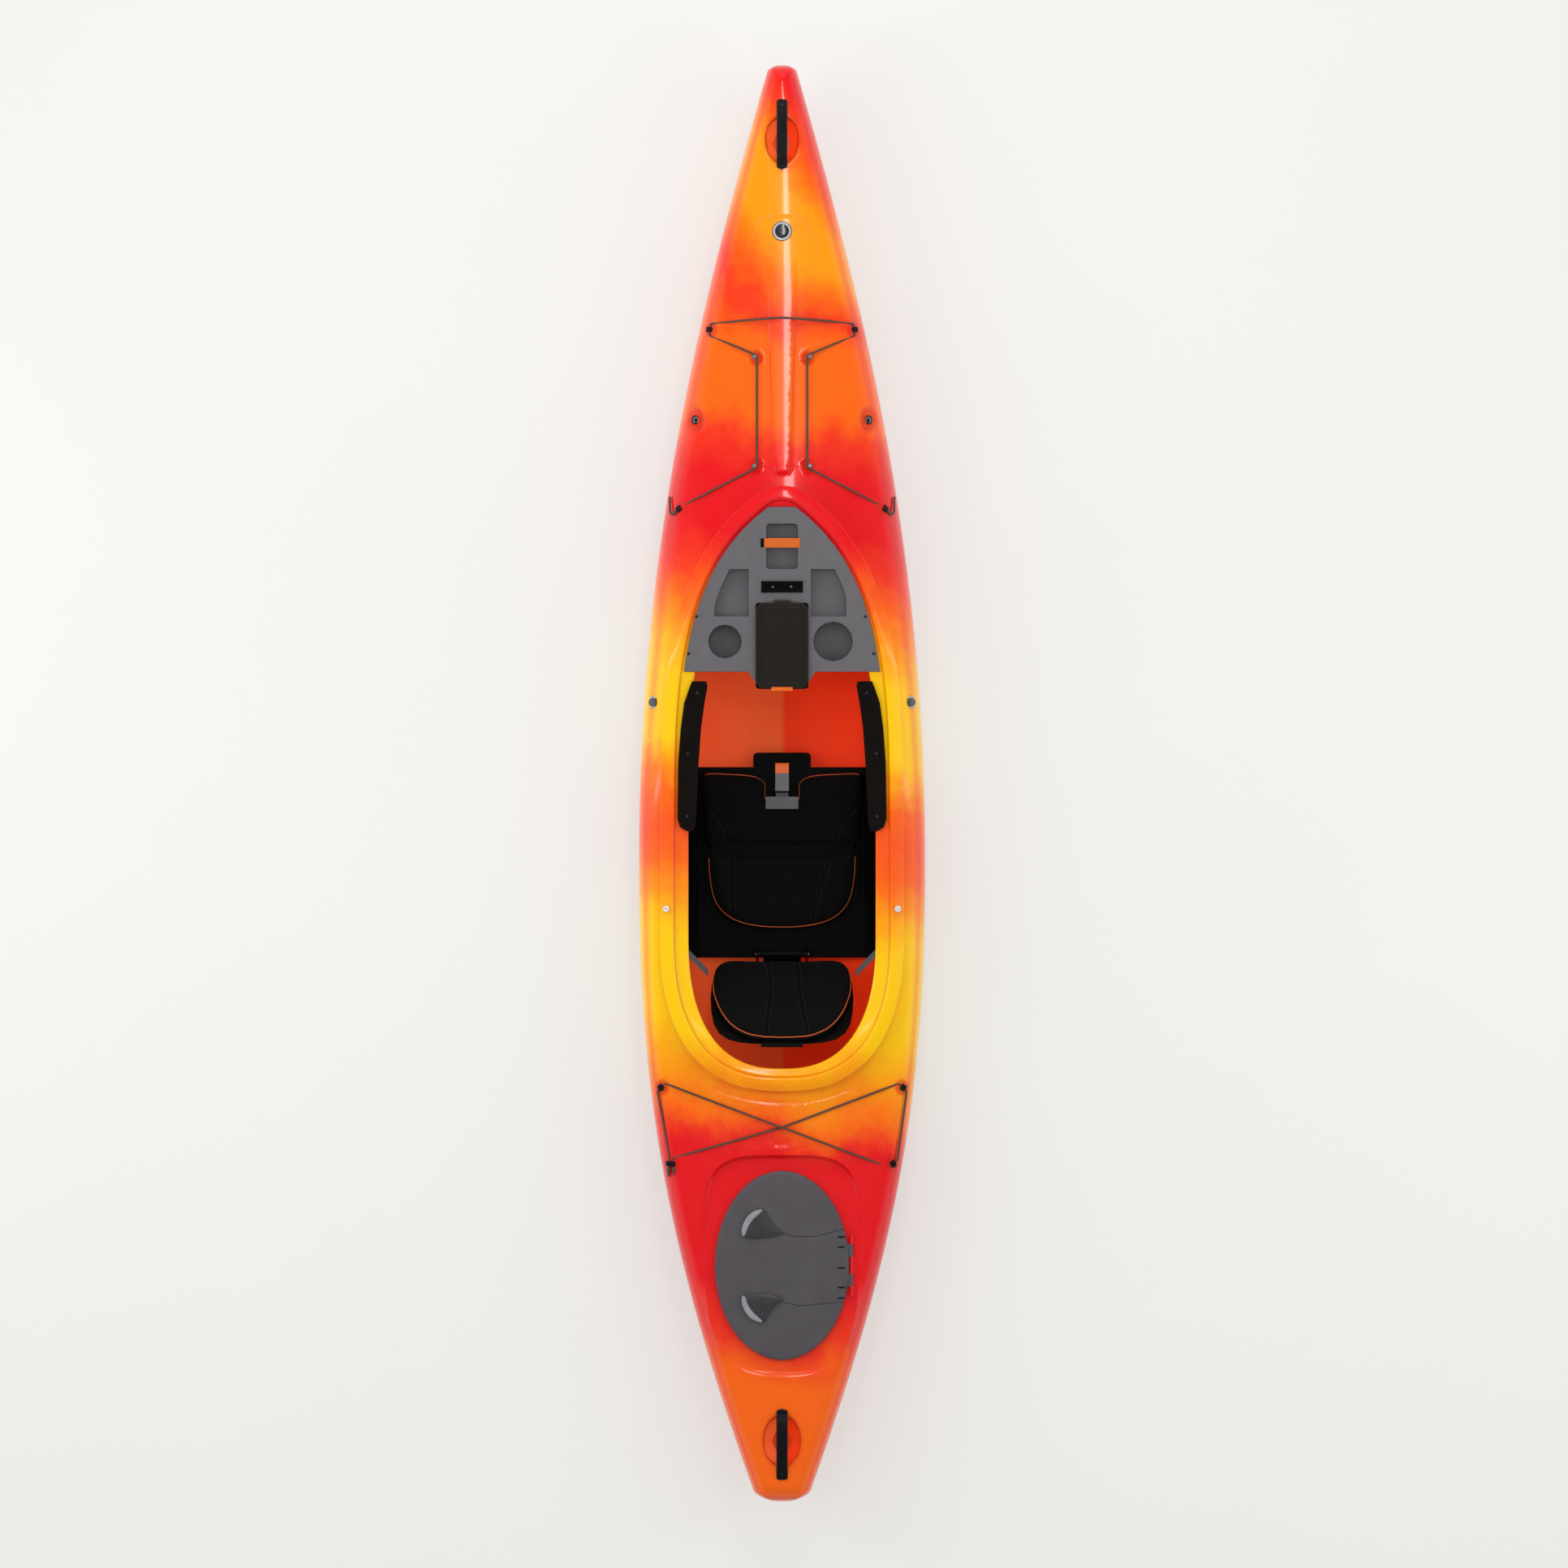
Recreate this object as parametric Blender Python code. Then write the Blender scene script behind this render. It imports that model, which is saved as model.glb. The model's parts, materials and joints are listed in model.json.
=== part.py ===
"""Recreational kayak, sit-inside, 12 ft 6 in long.

Metres. +Y points to the bow, +X to starboard, +Z up. The origin is on the keel line
at midships, on the plane that the flat keel strip rests on.
"""
import math

import bmesh
import bpy
import numpy as np
from mathutils import Matrix, Vector
from mathutils.bvhtree import BVHTree
from mathutils.geometry import delaunay_2d_cdt

MM = 0.001
INCH = 0.0254

# Hull size and plan outline
LENGTH = 150 * INCH
BEAM = 30 * INCH
END = LENGTH / 2
WIDEST_Y = -200 * MM
BOW_TIP_HALF = 35 * MM
BOW_TAPER = 2.05
BOW_TIP_SPREAD = 5.0
BOW_ROUNDING = 18 * MM
STERN_TIP_HALF = 66 * MM
STERN_TAPER = 2.42
STERN_TIP_SPREAD = 4.7
STERN_ROUNDING = 30 * MM

# Side profile
SHEER_MID = 185 * MM
SHEER_BOW_RISE = 112 * MM
SHEER_BOW_POWER = 2.2
SHEER_STERN_RISE = 60 * MM
SHEER_STERN_POWER = 3.0
FLAT_KEEL_HALF_LENGTH = 900 * MM
ROCKER = 32 * MM
BOW_STEM_LENGTH = 330 * MM
STERN_STEM_LENGTH = 260 * MM
TIP_DEPTH = 42 * MM
KEEL_STRIP_HALF = 32 * MM
MID_FULLNESS = 2.7
BOW_FULLNESS = 1.25
STERN_FULLNESS = 1.5
WALL = 5 * MM

# Deck
EDGE_RISE = 55 * MM
EDGE_WIDTH = 50 * MM
CROWN_POWER = 2.2
CROWN_STATIONS = (
    (-1.905, 0.003), (-1.55, 0.018), (-1.28, 0.026), (-0.95, 0.030), (-0.78, 0.034),
    (-0.35, 0.075), (0.10, 0.100), (0.35, 0.118), (0.80, 0.086), (1.30, 0.052),
    (1.70, 0.022), (1.905, 0.003),
)

# Cockpit rim: the crest line, the opening inside it, and the height of the crest
CREST_HALF = 292 * MM
CREST_FRONT = 757 * MM
CREST_REAR = -784 * MM
OPENING_HALF = 248 * MM
OPENING_FRONT = 722 * MM
OPENING_REAR = -754 * MM
RIM_FRONT_CENTRE = -245 * MM
RIM_REAR_CENTRE = -396 * MM
RIM_REAR_POWER = 2.5
RIM_FRONT_POWERS = (4.0, 1.4)
RIM_TIP_ROUNDING = 112 * MM
RIM_TIP_POWER = 40
CREST_SIDE_HEIGHT = 302 * MM
CREST_REAR_HEIGHT = 310 * MM
CREST_SLOPE = 0.12
SLOPE_START = -180 * MM
SLOPE_FULL = 220 * MM
RIM_WALL_OUT = 22 * MM
RIM_LIP_OUT = 31 * MM
RIM_LIP_THICK = 6 * MM
RIM_LIP_DROP = 9 * MM
LEDGE_IN = 10 * MM
LEDGE_DROP = 11 * MM
LEDGE_FALL = 2 * MM
INNER_LIP_DEPTH = 44 * MM
RIM_POINTS = 34
RIM_CURVE_POINTS = 240
RIM_ROOT_RING = 24 * MM

# Rear hatch
HATCH_Y = -1277 * MM
HATCH_HALF_WIDTH = 178.5 * MM
HATCH_HALF_LENGTH = 251 * MM
HATCH_SEAT_HEIGHT = 269 * MM
HATCH_TILT = 0.045
HATCH_RIM_IN = 14.5 * MM
HATCH_RIM_HEIGHT = 9 * MM
HATCH_RIM_THICK = 5 * MM
HATCH_MOAT = 24 * MM
HATCH_FOOT_WIDTH = 34 * MM
HATCH_FOOT_LENGTH = 42 * MM
HATCH_FOOT_POWERS = (4.2, 2.8)
HATCH_FLOOR_IN = 9 * MM
HATCH_NECK_DEPTH = 14 * MM
HATCH_POINTS = 36
HATCH_ROOT_RING = 12 * MM

# Handle wells
BOW_WELL = (END - 202 * MM, 47 * MM, 66 * MM)
STERN_WELL = (164 * MM - END, 52 * MM, 72 * MM)
WELL_DEPTH = 30 * MM
WELL_DRAFT = 12 * MM

# Spine and hood of the fore deck
SPINE_FRONT = END - 505 * MM
SPINE_REAR = 818 * MM
SPINE_FRONT_HALF = 43 * MM
SPINE_REAR_HALF = 27 * MM
SPINE_HEIGHT = 9 * MM
SPINE_BAND = 9 * MM
SPINE_FADE = 150 * MM
HOOD_FRONT = END - 399 * MM
HOOD_REAR = END - 553 * MM
HOOD_FRONT_HALF = 57 * MM
HOOD_REAR_HALF = 122 * MM
HOOD_HEIGHT = 8 * MM
HOOD_BAND = 8 * MM

# Small forms of the deck: a step behind the rim, a finger channel ahead of the hatch,
# recesses round the accessory inserts and a boss beside each cord screw
FORM_DEPTH = 3.5 * MM
FORM_SLOPE = 7 * MM
STEP_HALF = 203 * MM
STEP_ENDS_Y = -800 * MM
STEP_FORE_Y = -834 * MM
STEP_AFT_Y = -852 * MM
STEP_FLOOR_REACH = 0.86
CHANNEL_HALF = (36 * MM, 27 * MM)
CHANNEL_CENTRE = -938 * MM
INSERT_RECESS = (24 * MM, 34 * MM)
BOSS_RISE = 4.5 * MM
BOSS_RADIUS = 30 * MM
BOSS_OFFSET = 12 * MM
BOSS_SPREAD = math.radians(66)
BOSS_WIDTH = 8 * MM
BOSS_TURN = 0.55

# Mesh density of the two mouldings
STATION_POINTS = 15
STATION_REACH = 0.86
STATION_EASE = 0.6
STEM_SHARES = (0.62, 0.40, 0.22, 0.12)
HULL_SHARES = (0.0, 0.26, 0.42, 0.55, 0.66, 0.76, 0.86, 0.94, 1.0)
INNER_SHARES = (0.25, 0.42, 0.56, 0.68, 0.80, 0.91, 1.0)
INNER_END_INSET = 34 * MM
EDGE_SHARES = (0.08, 0.32)
RIM_TURN_WEIGHT = 150 * MM
WELL_POINTS = 18
DECK_GRID = 95 * MM

GAP = 0.3 * MM
MERGE = 0.001 * MM
NORMAL_STEP = 6 * MM
RAY_LIFT = 40 * MM

# Carry handles: centre, length, half width
BOW_HANDLE = (END - 186.5 * MM, 183 * MM, 14 * MM)
STERN_HANDLE = (154 * MM - END, 187 * MM, 15 * MM)
HANDLE_FOOT_CLEAR = 0.5 * MM
HANDLE_ROUND = 4 * MM
HANDLE_ARCH = 12 * MM
HANDLE_THICK = 9 * MM
HANDLE_END_SHARE = 0.55
HANDLE_ARCH_SHARES = (0.15, 0.35, 0.65, 0.85)

# Pad eyes, cord screws and bungees
EYE_HALF = 5 * MM
EYE_DOUBLE_HALF = 8.5 * MM
EYE_LANE = 4.2 * MM
EYE_LEG = 3.5 * MM
EYE_FOOT = 9 * MM
EYE_FLOOR = 3 * MM
EYE_OPENING = 8 * MM
EYE_HALF_DEPTH = 6.5 * MM
EYE_IN = 7.5 * MM
EYE_REACH = 15.5 * MM
EYE_PASS = 9 * MM
TAIL_TURN = math.radians(60)
CORD_RADIUS = 3 * MM
CORD_CLEAR = 0.45 * MM
CORD_BEND = 7 * MM
CORD_STEP = 42 * MM
CORD_SETTLE_COUNT = 60
OVER_REACH = 14 * MM
KNOT_RADIUS = 6.2 * MM
KNOT_REACH = 8 * MM
KNOT_AWAY = 17 * MM
KNOT_ASIDE = 8 * MM
REAR_TAIL = 9 * MM
FORE_EYE_AFT = (268 * MM, 729.5 * MM)
FORE_EYE_FORE = (188 * MM, 1204 * MM)
FORE_SCREW_AFT = (73 * MM, 841 * MM)
FORE_SCREW_FORE = (73 * MM, 1130 * MM)
FORE_ARCH = (95 * MM, 1227 * MM, 1233 * MM)
FORE_TAIL_Y = 762 * MM
REAR_EYE_FORE = (318 * MM, -805 * MM)
REAR_EYE_AFT = (292 * MM, -1008 * MM)
SCREW_NECK = 2.6 * MM
SCREW_HEAD = 6.5 * MM
SCREW_STAND = 8.5 * MM

# Badges, inserts and seat screws
BOW_BADGE_Y = END - 443 * MM
BOW_BADGE_RADIUS = 26 * MM
SIDE_BADGE = (342 * MM, 217 * MM, 17 * MM)
BADGE_LIFT = 0.5 * MM
BADGE_THICK = 1.8 * MM
INSERT_PLACE = (228 * MM, 965 * MM)
INSERT_HALF = (10 * MM, 12 * MM)
INSERT_THICK = 6 * MM
SEAT_SCREW = (306 * MM, -331 * MM)

# Thigh braces: station, inner edge, outer edge
BRACE_STATIONS = (
    (-125 * MM, 236 * MM, 252 * MM), (-114 * MM, 230 * MM, 270 * MM), (-92 * MM, 228 * MM, 277 * MM),
    (-20 * MM, 224 * MM, 276 * MM), (54 * MM, 221 * MM, 275 * MM), (150 * MM, 214 * MM, 268 * MM),
    (215 * MM, 205 * MM, 259 * MM), (258 * MM, 197 * MM, 244 * MM), (272 * MM, 200 * MM, 238 * MM),
)
BRACE_THICK = 9 * MM
BRACE_DEPTH = 62 * MM
BRACE_MIDDLE = 70 * MM
BRACE_PAD_HALF = 150 * MM

# Dashboard
DASH_THICK = 5 * MM
DASH_WALL = 3 * MM
DASH_INSET = 14 * MM
DASH_FRONT = 732 * MM
DASH_REAR = 297 * MM
DASH_HORN_HALF = 89 * MM
DASH_HORN_REAR = 269 * MM
NOTCH_HALF = 66 * MM
NOTCH_FRONT = 472 * MM
CUP_LEFT = (151 * MM, 377 * MM, 45 * MM)
CUP_RIGHT = (135 * MM, 377 * MM, 53 * MM)
CUP_DEPTH = 60 * MM
TRAY_LEFT = (88 * MM, 179 * MM)
TRAY_RIGHT = (76 * MM, 170 * MM)
TRAY_FRONT = 568 * MM
TRAY_REAR = 443 * MM
TRAY_DEPTH = 30 * MM
TRAY_MARGIN = 12 * MM
POCKET_HALF = (42 * MM, 60 * MM)
POCKET_Y = 628 * MM
POCKET_DEPTH = 40 * MM
STRAP_HALF = (47 * MM, 13 * MM)
STRAP_Y = 637 * MM
STRAP_THICK = 1.6 * MM
RAIL_HALF = 55 * MM
RAIL_Y = 521 * MM
RAIL_PROFILE = (
    (-15, 0), (15, 0), (15, 8), (6, 8), (6, 6), (10, 6), (10, 2.5), (-10, 2.5), (-10, 6), (-6, 6),
    (-6, 8), (-15, 8),
)

# Dry box
BOX_Y = 366 * MM
BOX_FLANGE = (70 * MM, 114.5 * MM)
BOX_FLANGE_THICK = 3 * MM
BOX_HALF = (64 * MM, 107 * MM)
BOX_SHIFT = -4 * MM
BOX_WALL = 3 * MM
BOX_DEPTH = 75 * MM
BOX_LID_THICK = 9 * MM
BOX_PIN_OUT = 4.6 * MM
BOX_PIN_UP = 2 * MM
BOX_LATCH_HALF = 28 * MM
BOX_LATCH_PROFILE = (
    (-0.3, -5), (-1.5, -18.5), (-4.5, -20.5), (-6, -18.5), (-5, -3.5), (-3, -1.4), (6, 1), (6, -1),
    (-0.3, -1.1),
)
BOX_BARREL_HALF = 22 * MM
LATCH_PIVOT = 6 * MM
LATCH_PLATE = 2 * MM
PIN = 2 * MM
BARREL = 4 * MM

# Seat
PAN_LINE = ((0, 50), (205, 50), (222, 56), (236, 72), (246, 100), (251, 140), (253, 200), (253, 256))
SEAT_WALL = 5 * MM
SEAT_STATIONS = (-465 * MM, -350 * MM, -200 * MM, -80 * MM, 0.0, 45 * MM)
SEAT_FRONT_DROP = 40 * MM
SEAT_TONGUE = (77 * MM, 45 * MM)
SEAT_RIB = 120 * MM
SEAT_RIB_HALF = 3 * MM
BACK_AXIS = (-455 * MM, 100 * MM)
BACK_PIN = 4 * MM
LUG_X = 66 * MM
LUG_HALF = 4 * MM
LUG_PROFILE = ((-24, -52), (18, -52), (9, 0), (6, 7), (0, 9.5), (-6, 7), (-9, 0))
BORE_REACH = 100 * MM
HANGER_Y = -331 * MM
HANGER_HALF = 22 * MM
HANGER_LOW = 205 * MM
HANGER_THICK = 3 * MM
HANGER_FLANGE = 36 * MM
HANGER_START = 270 * MM
CUSHION_TOP = 88 * MM
CUSHION_DISH = 12 * MM
CUSHION_HALF = 220 * MM
CUSHION_FRONT = 30 * MM
CUSHION_FRONT_RISE = 10 * MM
CUSHION_REAR = -391 * MM
CUSHION_NOTCH = 44 * MM
CUSHION_BULGE = 9 * MM
NOTCH_REAR = -41 * MM
SEAM_Y = -176 * MM
SEAM_HALF = 5.5 * MM
CHANNEL_X = 150 * MM
CHANNEL_REAR = -380 * MM
CHANNEL_WIDE = 7 * MM
CHANNEL_DEPTH = 4 * MM
LIFTER_THICK = 5 * MM
LIFTER_HALF = 180 * MM
LIFTER_FRONT = 38 * MM
LIFTER_STRAP_REAR = -67 * MM
LIFTER_STRAP_HALF = 17 * MM
LIFTER_PLATE_HALF = 44 * MM
LIFTER_STRAP_THICK = 1.8 * MM
BUCKLE_REAR = -22 * MM
BUCKLE_FRONT = 14 * MM
BUCKLE_HALF = 22 * MM
BUCKLE_BODY_DROP = 8 * MM
CHEEK_THICK = 3.5 * MM
CHEEK_LONG = 17 * MM
CHEEK_RISE = 5 * MM
LEVER_HALF = 18 * MM
LEVER_PROFILE = (
    (-5, -3), (-2, -5.5), (4, -5.5), (30, -3.5), (66, -1.5), (70, 1), (66, 3.5), (30, 4), (-2, 5), (-5, 3),
)

# Backrest: outline points are half width and distance from the hinge
BACK_TILT = math.radians(45.7)
PAD_OUTLINE = (
    (0, 314), (70, 313), (112, 308), (146, 296), (172, 272), (187, 236), (194, 190), (196, 140), (193, 85),
    (182, 48), (166, 26), (140, 16), (70, 14), (0, 14),
)
PAD_HALF = 194 * MM
PAD_FACE = 8 * MM
PAD_BACK = -22 * MM
PAD_WING = 10 * MM
PAD_BULGE = 9 * MM
PAD_CHANNEL = 44 * MM
FRAME_THICK = 5 * MM
BACK_BARREL = 8 * MM
BARREL_HALF = 61.6 * MM
ARM_HALF = 50 * MM
ARM_REACH = 44 * MM
ARM_THICK = 7 * MM
PIN_HALF = 71 * MM
STRAP_TOP = (251.85 * MM, -446 * MM, 238 * MM)
STRAP_LOW = (198.5 * MM, -503 * MM, 150 * MM)
WEBBING_HALF = 12.5 * MM
WEBBING_THICK = 1.8 * MM

# Foam and foot rests
BULKHEAD_FORE = -860 * MM
BULKHEAD_AFT = -900 * MM
BULKHEAD_SIDE = 7 * MM
PILLAR_AFT = 950 * MM
PILLAR_FORE = END - 505 * MM
PILLAR_HALF = 30 * MM
FOAM_GAP = 0.9 * MM
FOAM_REACH = 5 * MM
FOAM_START = 150 * MM
RAIL_AFT = 370 * MM
RAIL_FORE = 790 * MM
RAIL_Z = 150 * MM
RAIL_THICK = 11 * MM
RAIL_TALL = 12 * MM
PEDAL_GAP = 0.4 * MM
PEDAL_SHIFT = 40 * MM
PEDAL_TALL = 58 * MM
PEDAL_LOW = 30 * MM
PEDAL_WIDE = 88 * MM
PEDAL_THICK = 8 * MM
JAW_THICK = 6 * MM
JAW_HALF = 26 * MM
JAW_LIP = 2 * MM

# Hatch lid
SEAL_GAP = 0.3 * MM
SEAL_LIP = 2 * MM
SEAL_THICK = 2.2 * MM
LID_TOP = 16 * MM
LID_CROWN = 5 * MM
LID_ROUND = 8 * MM
LID_SKIRT = 2 * MM
LID_WALL = 4 * MM
HINGE_X = 184 * MM
HINGE_Z = 8 * MM
HINGE_BASE = 0.4 * MM
HINGE_LEAF = 9 * MM
LEAF_THICK = 3 * MM
LID_ARM = 14 * MM
LID_ARM_HIGH = 3 * MM
KNUCKLES = (
    (-82 * MM, -56 * MM), (-55.6 * MM, -22 * MM), (-21.6 * MM, 21.6 * MM), (22 * MM, 55.6 * MM),
    (56 * MM, 82 * MM),
)
LATCHES = (("front", 68 * MM, 152 * MM), ("rear", -152 * MM, -76 * MM))
LATCH_TIP_X = 4 * MM
LATCH_LEFT_X = -110 * MM
LATCH_THICK = 5 * MM
LATCH_STATIONS = (
    (-114 * MM, 1.0, 5 * MM), (-106 * MM, 1.0, 5 * MM), (-104 * MM, 0.98, 0.5 * MM), (-60 * MM, 0.74, 0.0),
    (-6 * MM, 0.34, 0.0), (0.0, 0.26, -1.2 * MM),
)


def clear_scene():
    """Empty the scene."""
    for item in list(bpy.data.objects):
        bpy.data.objects.remove(item, do_unlink=True)


def smooth_through(stations, place):
    """Value of the smooth curve through (place, value) stations."""
    places = [s[0] for s in stations]
    values = [s[1] for s in stations]
    if place <= places[0]:
        return values[0]
    if place >= places[-1]:
        return values[-1]
    k = max(i for i in range(len(places) - 1) if places[i] <= place)
    slopes = []
    for i in (k, k + 1):
        low = max(i - 1, 0)
        high = min(i + 1, len(places) - 1)
        slopes.append((values[high] - values[low]) / (places[high] - places[low]))
    span = places[k + 1] - places[k]
    t = (place - places[k]) / span
    return (
        values[k] * (1 + 2 * t) * (1 - t) ** 2
        + slopes[0] * span * t * (1 - t) ** 2
        + values[k + 1] * t * t * (3 - 2 * t)
        + slopes[1] * span * t * t * (t - 1)
    )


def end_share(y):
    """0 at the widest station, 1 at the bow or stern tip."""
    end = LENGTH / 2 if y > WIDEST_Y else -LENGTH / 2
    return min((y - WIDEST_Y) / (end - WIDEST_Y), 1.0)


def half_beam(y, inset=0.0):
    """Half the width at y of the sheer line, or of a line inset from it."""
    t = end_share(y)
    if y > WIDEST_Y:
        tip, taper, spread, rounding = BOW_TIP_HALF, BOW_TAPER, BOW_TIP_SPREAD, BOW_ROUNDING
    else:
        tip, taper, spread, rounding = STERN_TIP_HALF, STERN_TAPER, STERN_TIP_SPREAD, STERN_ROUNDING
    half = (BEAM / 2) * (1 - t ** taper) + tip * t ** spread - inset
    past = max(0.0, 1 - (LENGTH / 2 - inset - abs(y)) / rounding)
    return half * math.sqrt(max(0.0, 1 - past * past))


def sheer_height(y):
    """Height of the sheer line, where hull and deck meet."""
    if y > 0:
        return SHEER_MID + SHEER_BOW_RISE * (2 * y / LENGTH) ** SHEER_BOW_POWER
    return SHEER_MID + SHEER_STERN_RISE * (-2 * y / LENGTH) ** SHEER_STERN_POWER


def keel_height(y):
    """Height of the keel line: flat, then rocker, then the stem."""
    along = max(0.0, abs(y) - FLAT_KEEL_HALF_LENGTH) / (LENGTH / 2 - FLAT_KEEL_HALF_LENGTH)
    rocker = ROCKER * along ** 2
    stem = BOW_STEM_LENGTH if y > 0 else STERN_STEM_LENGTH
    s = min(max(0.0, 1 - (LENGTH / 2 - abs(y)) / stem), 1.0)
    rise = sheer_height(y) - TIP_DEPTH - rocker
    return rocker + rise * (1 - math.sqrt(1 - s ** 2.4))


def fullness(y):
    """Exponent of the hull section: boxy amidships, V-shaped at the ends."""
    t = end_share(y)
    end = BOW_FULLNESS if y > WIDEST_Y else STERN_FULLNESS
    return MID_FULLNESS + (end - MID_FULLNESS) * t * t


def hull_section(y, shares, wall=0.0):
    """Half section from keel to sheer, as (x, z); a wall moves it inside."""
    half = half_beam(y, wall)
    top = sheer_height(y)
    keel = keel_height(y + math.copysign(wall, y)) + wall
    strip = 0.0 if wall else KEEL_STRIP_HALF * min(1.0, half / (BEAM / 4))
    power = 2 / fullness(y)
    points = [(0.0, keel)]
    for share in shares:
        turn = share * math.pi / 2
        across = strip + (half - strip) * math.sin(turn) ** power
        up = keel + (top - keel) * (1 - math.cos(turn) ** power)
        points.append((across, up))
    return points


def deck_base(x, y):
    """Height of the plain deck surface."""
    half = half_beam(y)
    u = min(abs(x) / max(half, 1e-9), 1.0)
    s = min(max(min(half - abs(x), LENGTH / 2 - abs(y)) / EDGE_WIDTH, 0.0), 1.0)
    edge = EDGE_RISE * math.sqrt(1 - (1 - s) ** 2)
    return sheer_height(y) + edge + smooth_through(CROWN_STATIONS, y) * (1 - u ** CROWN_POWER)


def crest_height(y):
    """Height of the crest of the cockpit rim."""
    if y > SLOPE_FULL:
        ramp = CREST_SLOPE * ((SLOPE_FULL - SLOPE_START) / 2 + y - SLOPE_FULL)
        return CREST_SIDE_HEIGHT + ramp
    if y > SLOPE_START:
        return CREST_SIDE_HEIGHT + CREST_SLOPE * (y - SLOPE_START) ** 2 / (2 * (SLOPE_FULL - SLOPE_START))
    back = min((SLOPE_START - y) / (SLOPE_START - CREST_REAR), 1.0)
    return CREST_SIDE_HEIGHT + (CREST_REAR_HEIGHT - CREST_SIDE_HEIGHT) * back ** 2


def hatch_seat(y):
    """Height of the flat floor that the hatch lid stands over."""
    return HATCH_SEAT_HEIGHT + HATCH_TILT * (HATCH_Y - y)


def spine_half(y):
    """Half width of the spine's foot at y."""
    t = (y - SPINE_REAR) / (SPINE_FRONT - SPINE_REAR)
    half = SPINE_REAR_HALF + (SPINE_FRONT_HALF - SPINE_REAR_HALF) * t
    into = min(max((y - SPINE_REAR) / SPINE_REAR_HALF, 0.0), 1.0)
    return half * math.sqrt(1 - (1 - into) ** 2)


def spine_height(x, y):
    """Rise of the spine above the plain deck."""
    if not SPINE_REAR < y < SPINE_FRONT:
        return 0.0
    inside = min(spine_half(y) - abs(x), (y - SPINE_REAR))
    band = min(max(inside / SPINE_BAND, 0.0), 1.0)
    fade = min((SPINE_FRONT - y) / SPINE_FADE, 1.0)
    return SPINE_HEIGHT * band * fade


def hood_half(y):
    """Half width of the hood's foot at y."""
    t = (HOOD_FRONT - y) / (HOOD_FRONT - HOOD_REAR)
    return HOOD_FRONT_HALF + (HOOD_REAR_HALF - HOOD_FRONT_HALF) * t


def hood_height(x, y):
    """Rise of the hood, which fades out towards the cockpit."""
    if not HOOD_REAR < y < HOOD_FRONT:
        return 0.0
    inside = min(hood_half(y) - abs(x), HOOD_FRONT - y)
    band = min(max(inside / HOOD_BAND, 0.0), 1.0)
    return HOOD_HEIGHT * band * (y - HOOD_REAR) / (HOOD_FRONT - HOOD_REAR)


def well_depth(x, y):
    """Depth of the handle wells below the plain deck."""
    depth = 0.0
    for centre, half_width, half_length in (BOW_WELL, STERN_WELL):
        reach = math.hypot(x / half_width, (y - centre) / half_length)
        draft = WELL_DRAFT / half_width
        depth += WELL_DEPTH * min(max((1 - reach) / draft, 0.0), 1.0)
    return depth


def deck_height(x, y):
    """Height of the deck's outer surface."""
    return deck_base(x, y) + spine_height(x, y) + hood_height(x, y) - well_depth(x, y)


def deck_inside(x, y):
    """Height of the deck's inner surface, plain but for the wells."""
    return deck_base(x, y) - well_depth(x, y) - WALL


class Skin:
    """Faces gathered by their points, which share vertices where they meet."""

    def __init__(self):
        self.index = {}
        self.points = []
        self.faces = []

    def vertex(self, point):
        """Index of the vertex at a point."""
        key = tuple(round(c * 1e6) for c in point)
        if key not in self.index:
            self.index[key] = len(self.points)
            self.points.append(tuple(point))
        return self.index[key]

    def face(self, points):
        """Add one face, unless it has collapsed."""
        ids = []
        for point in points:
            one = self.vertex(point)
            if one not in ids:
                ids.append(one)
        if len(ids) > 2:
            self.faces.append(ids)

    def band(self, first, second, closed=True):
        """Quads between two lines with as many points."""
        count = len(first)
        for i in range(count if closed else count - 1):
            j = (i + 1) % count
            self.face([first[i], first[j], second[j], second[i]])

    def bands(self, lines, closed=True):
        """Quads between each line and the next."""
        for first, second in zip(lines, lines[1:]):
            self.band(first, second, closed)

    def fill(self, outer, holes=(), rings=(), creases=(), inner=(), height=None):
        """Triangles between an outer loop and its holes, through rings, creases and points."""
        given, edges = [], []

        def add(line, closed):
            start = len(given)
            given.extend(line)
            count = len(line)
            links = count if closed else count - 1
            edges.extend((start + i, start + (i + 1) % count) for i in range(links))

        add(outer, True)
        for hole in (*holes, *rings):
            add(hole, True)
        for crease in creases:
            add(crease, False)
        given.extend((x, y, height(x, y)) for x, y in inner)
        flat = [Vector((point[0], point[1])) for point in given]
        verts, _, tris, origins, _, _ = delaunay_2d_cdt(flat, edges, [], 0, 1e-7)
        places = []
        for vert, origin in zip(verts, origins):
            places.append(given[origin[0]] if origin else (vert.x, vert.y, height(vert.x, vert.y)))
        for tri in tris:
            corners = [places[i] for i in tri]
            middle = [sum(c[axis] for c in corners) / 3 for axis in (0, 1)]
            if within(middle, outer) and not any(within(middle, hole) for hole in holes):
                self.face(corners)

    def mesh(self, name):
        """The gathered faces as a mesh with its faces pointing out."""
        made = bmesh.new()
        verts = [made.verts.new(p) for p in self.points]
        for ids in self.faces:
            made.faces.new([verts[i] for i in ids])
        bmesh.ops.recalc_face_normals(made, faces=made.faces)
        data = bpy.data.meshes.new(name)
        made.to_mesh(data)
        made.free()
        return data


def within(point, loop):
    """Whether a point is inside a closed loop, seen from above."""
    inside = False
    x, y = point[0], point[1]
    previous = loop[-1]
    for current in loop:
        if (current[1] > y) != (previous[1] > y):
            cross = (previous[0] - current[0]) * (y - current[1]) / (previous[1] - current[1])
            if x < current[0] + cross:
                inside = not inside
        previous = current
    return inside


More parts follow.
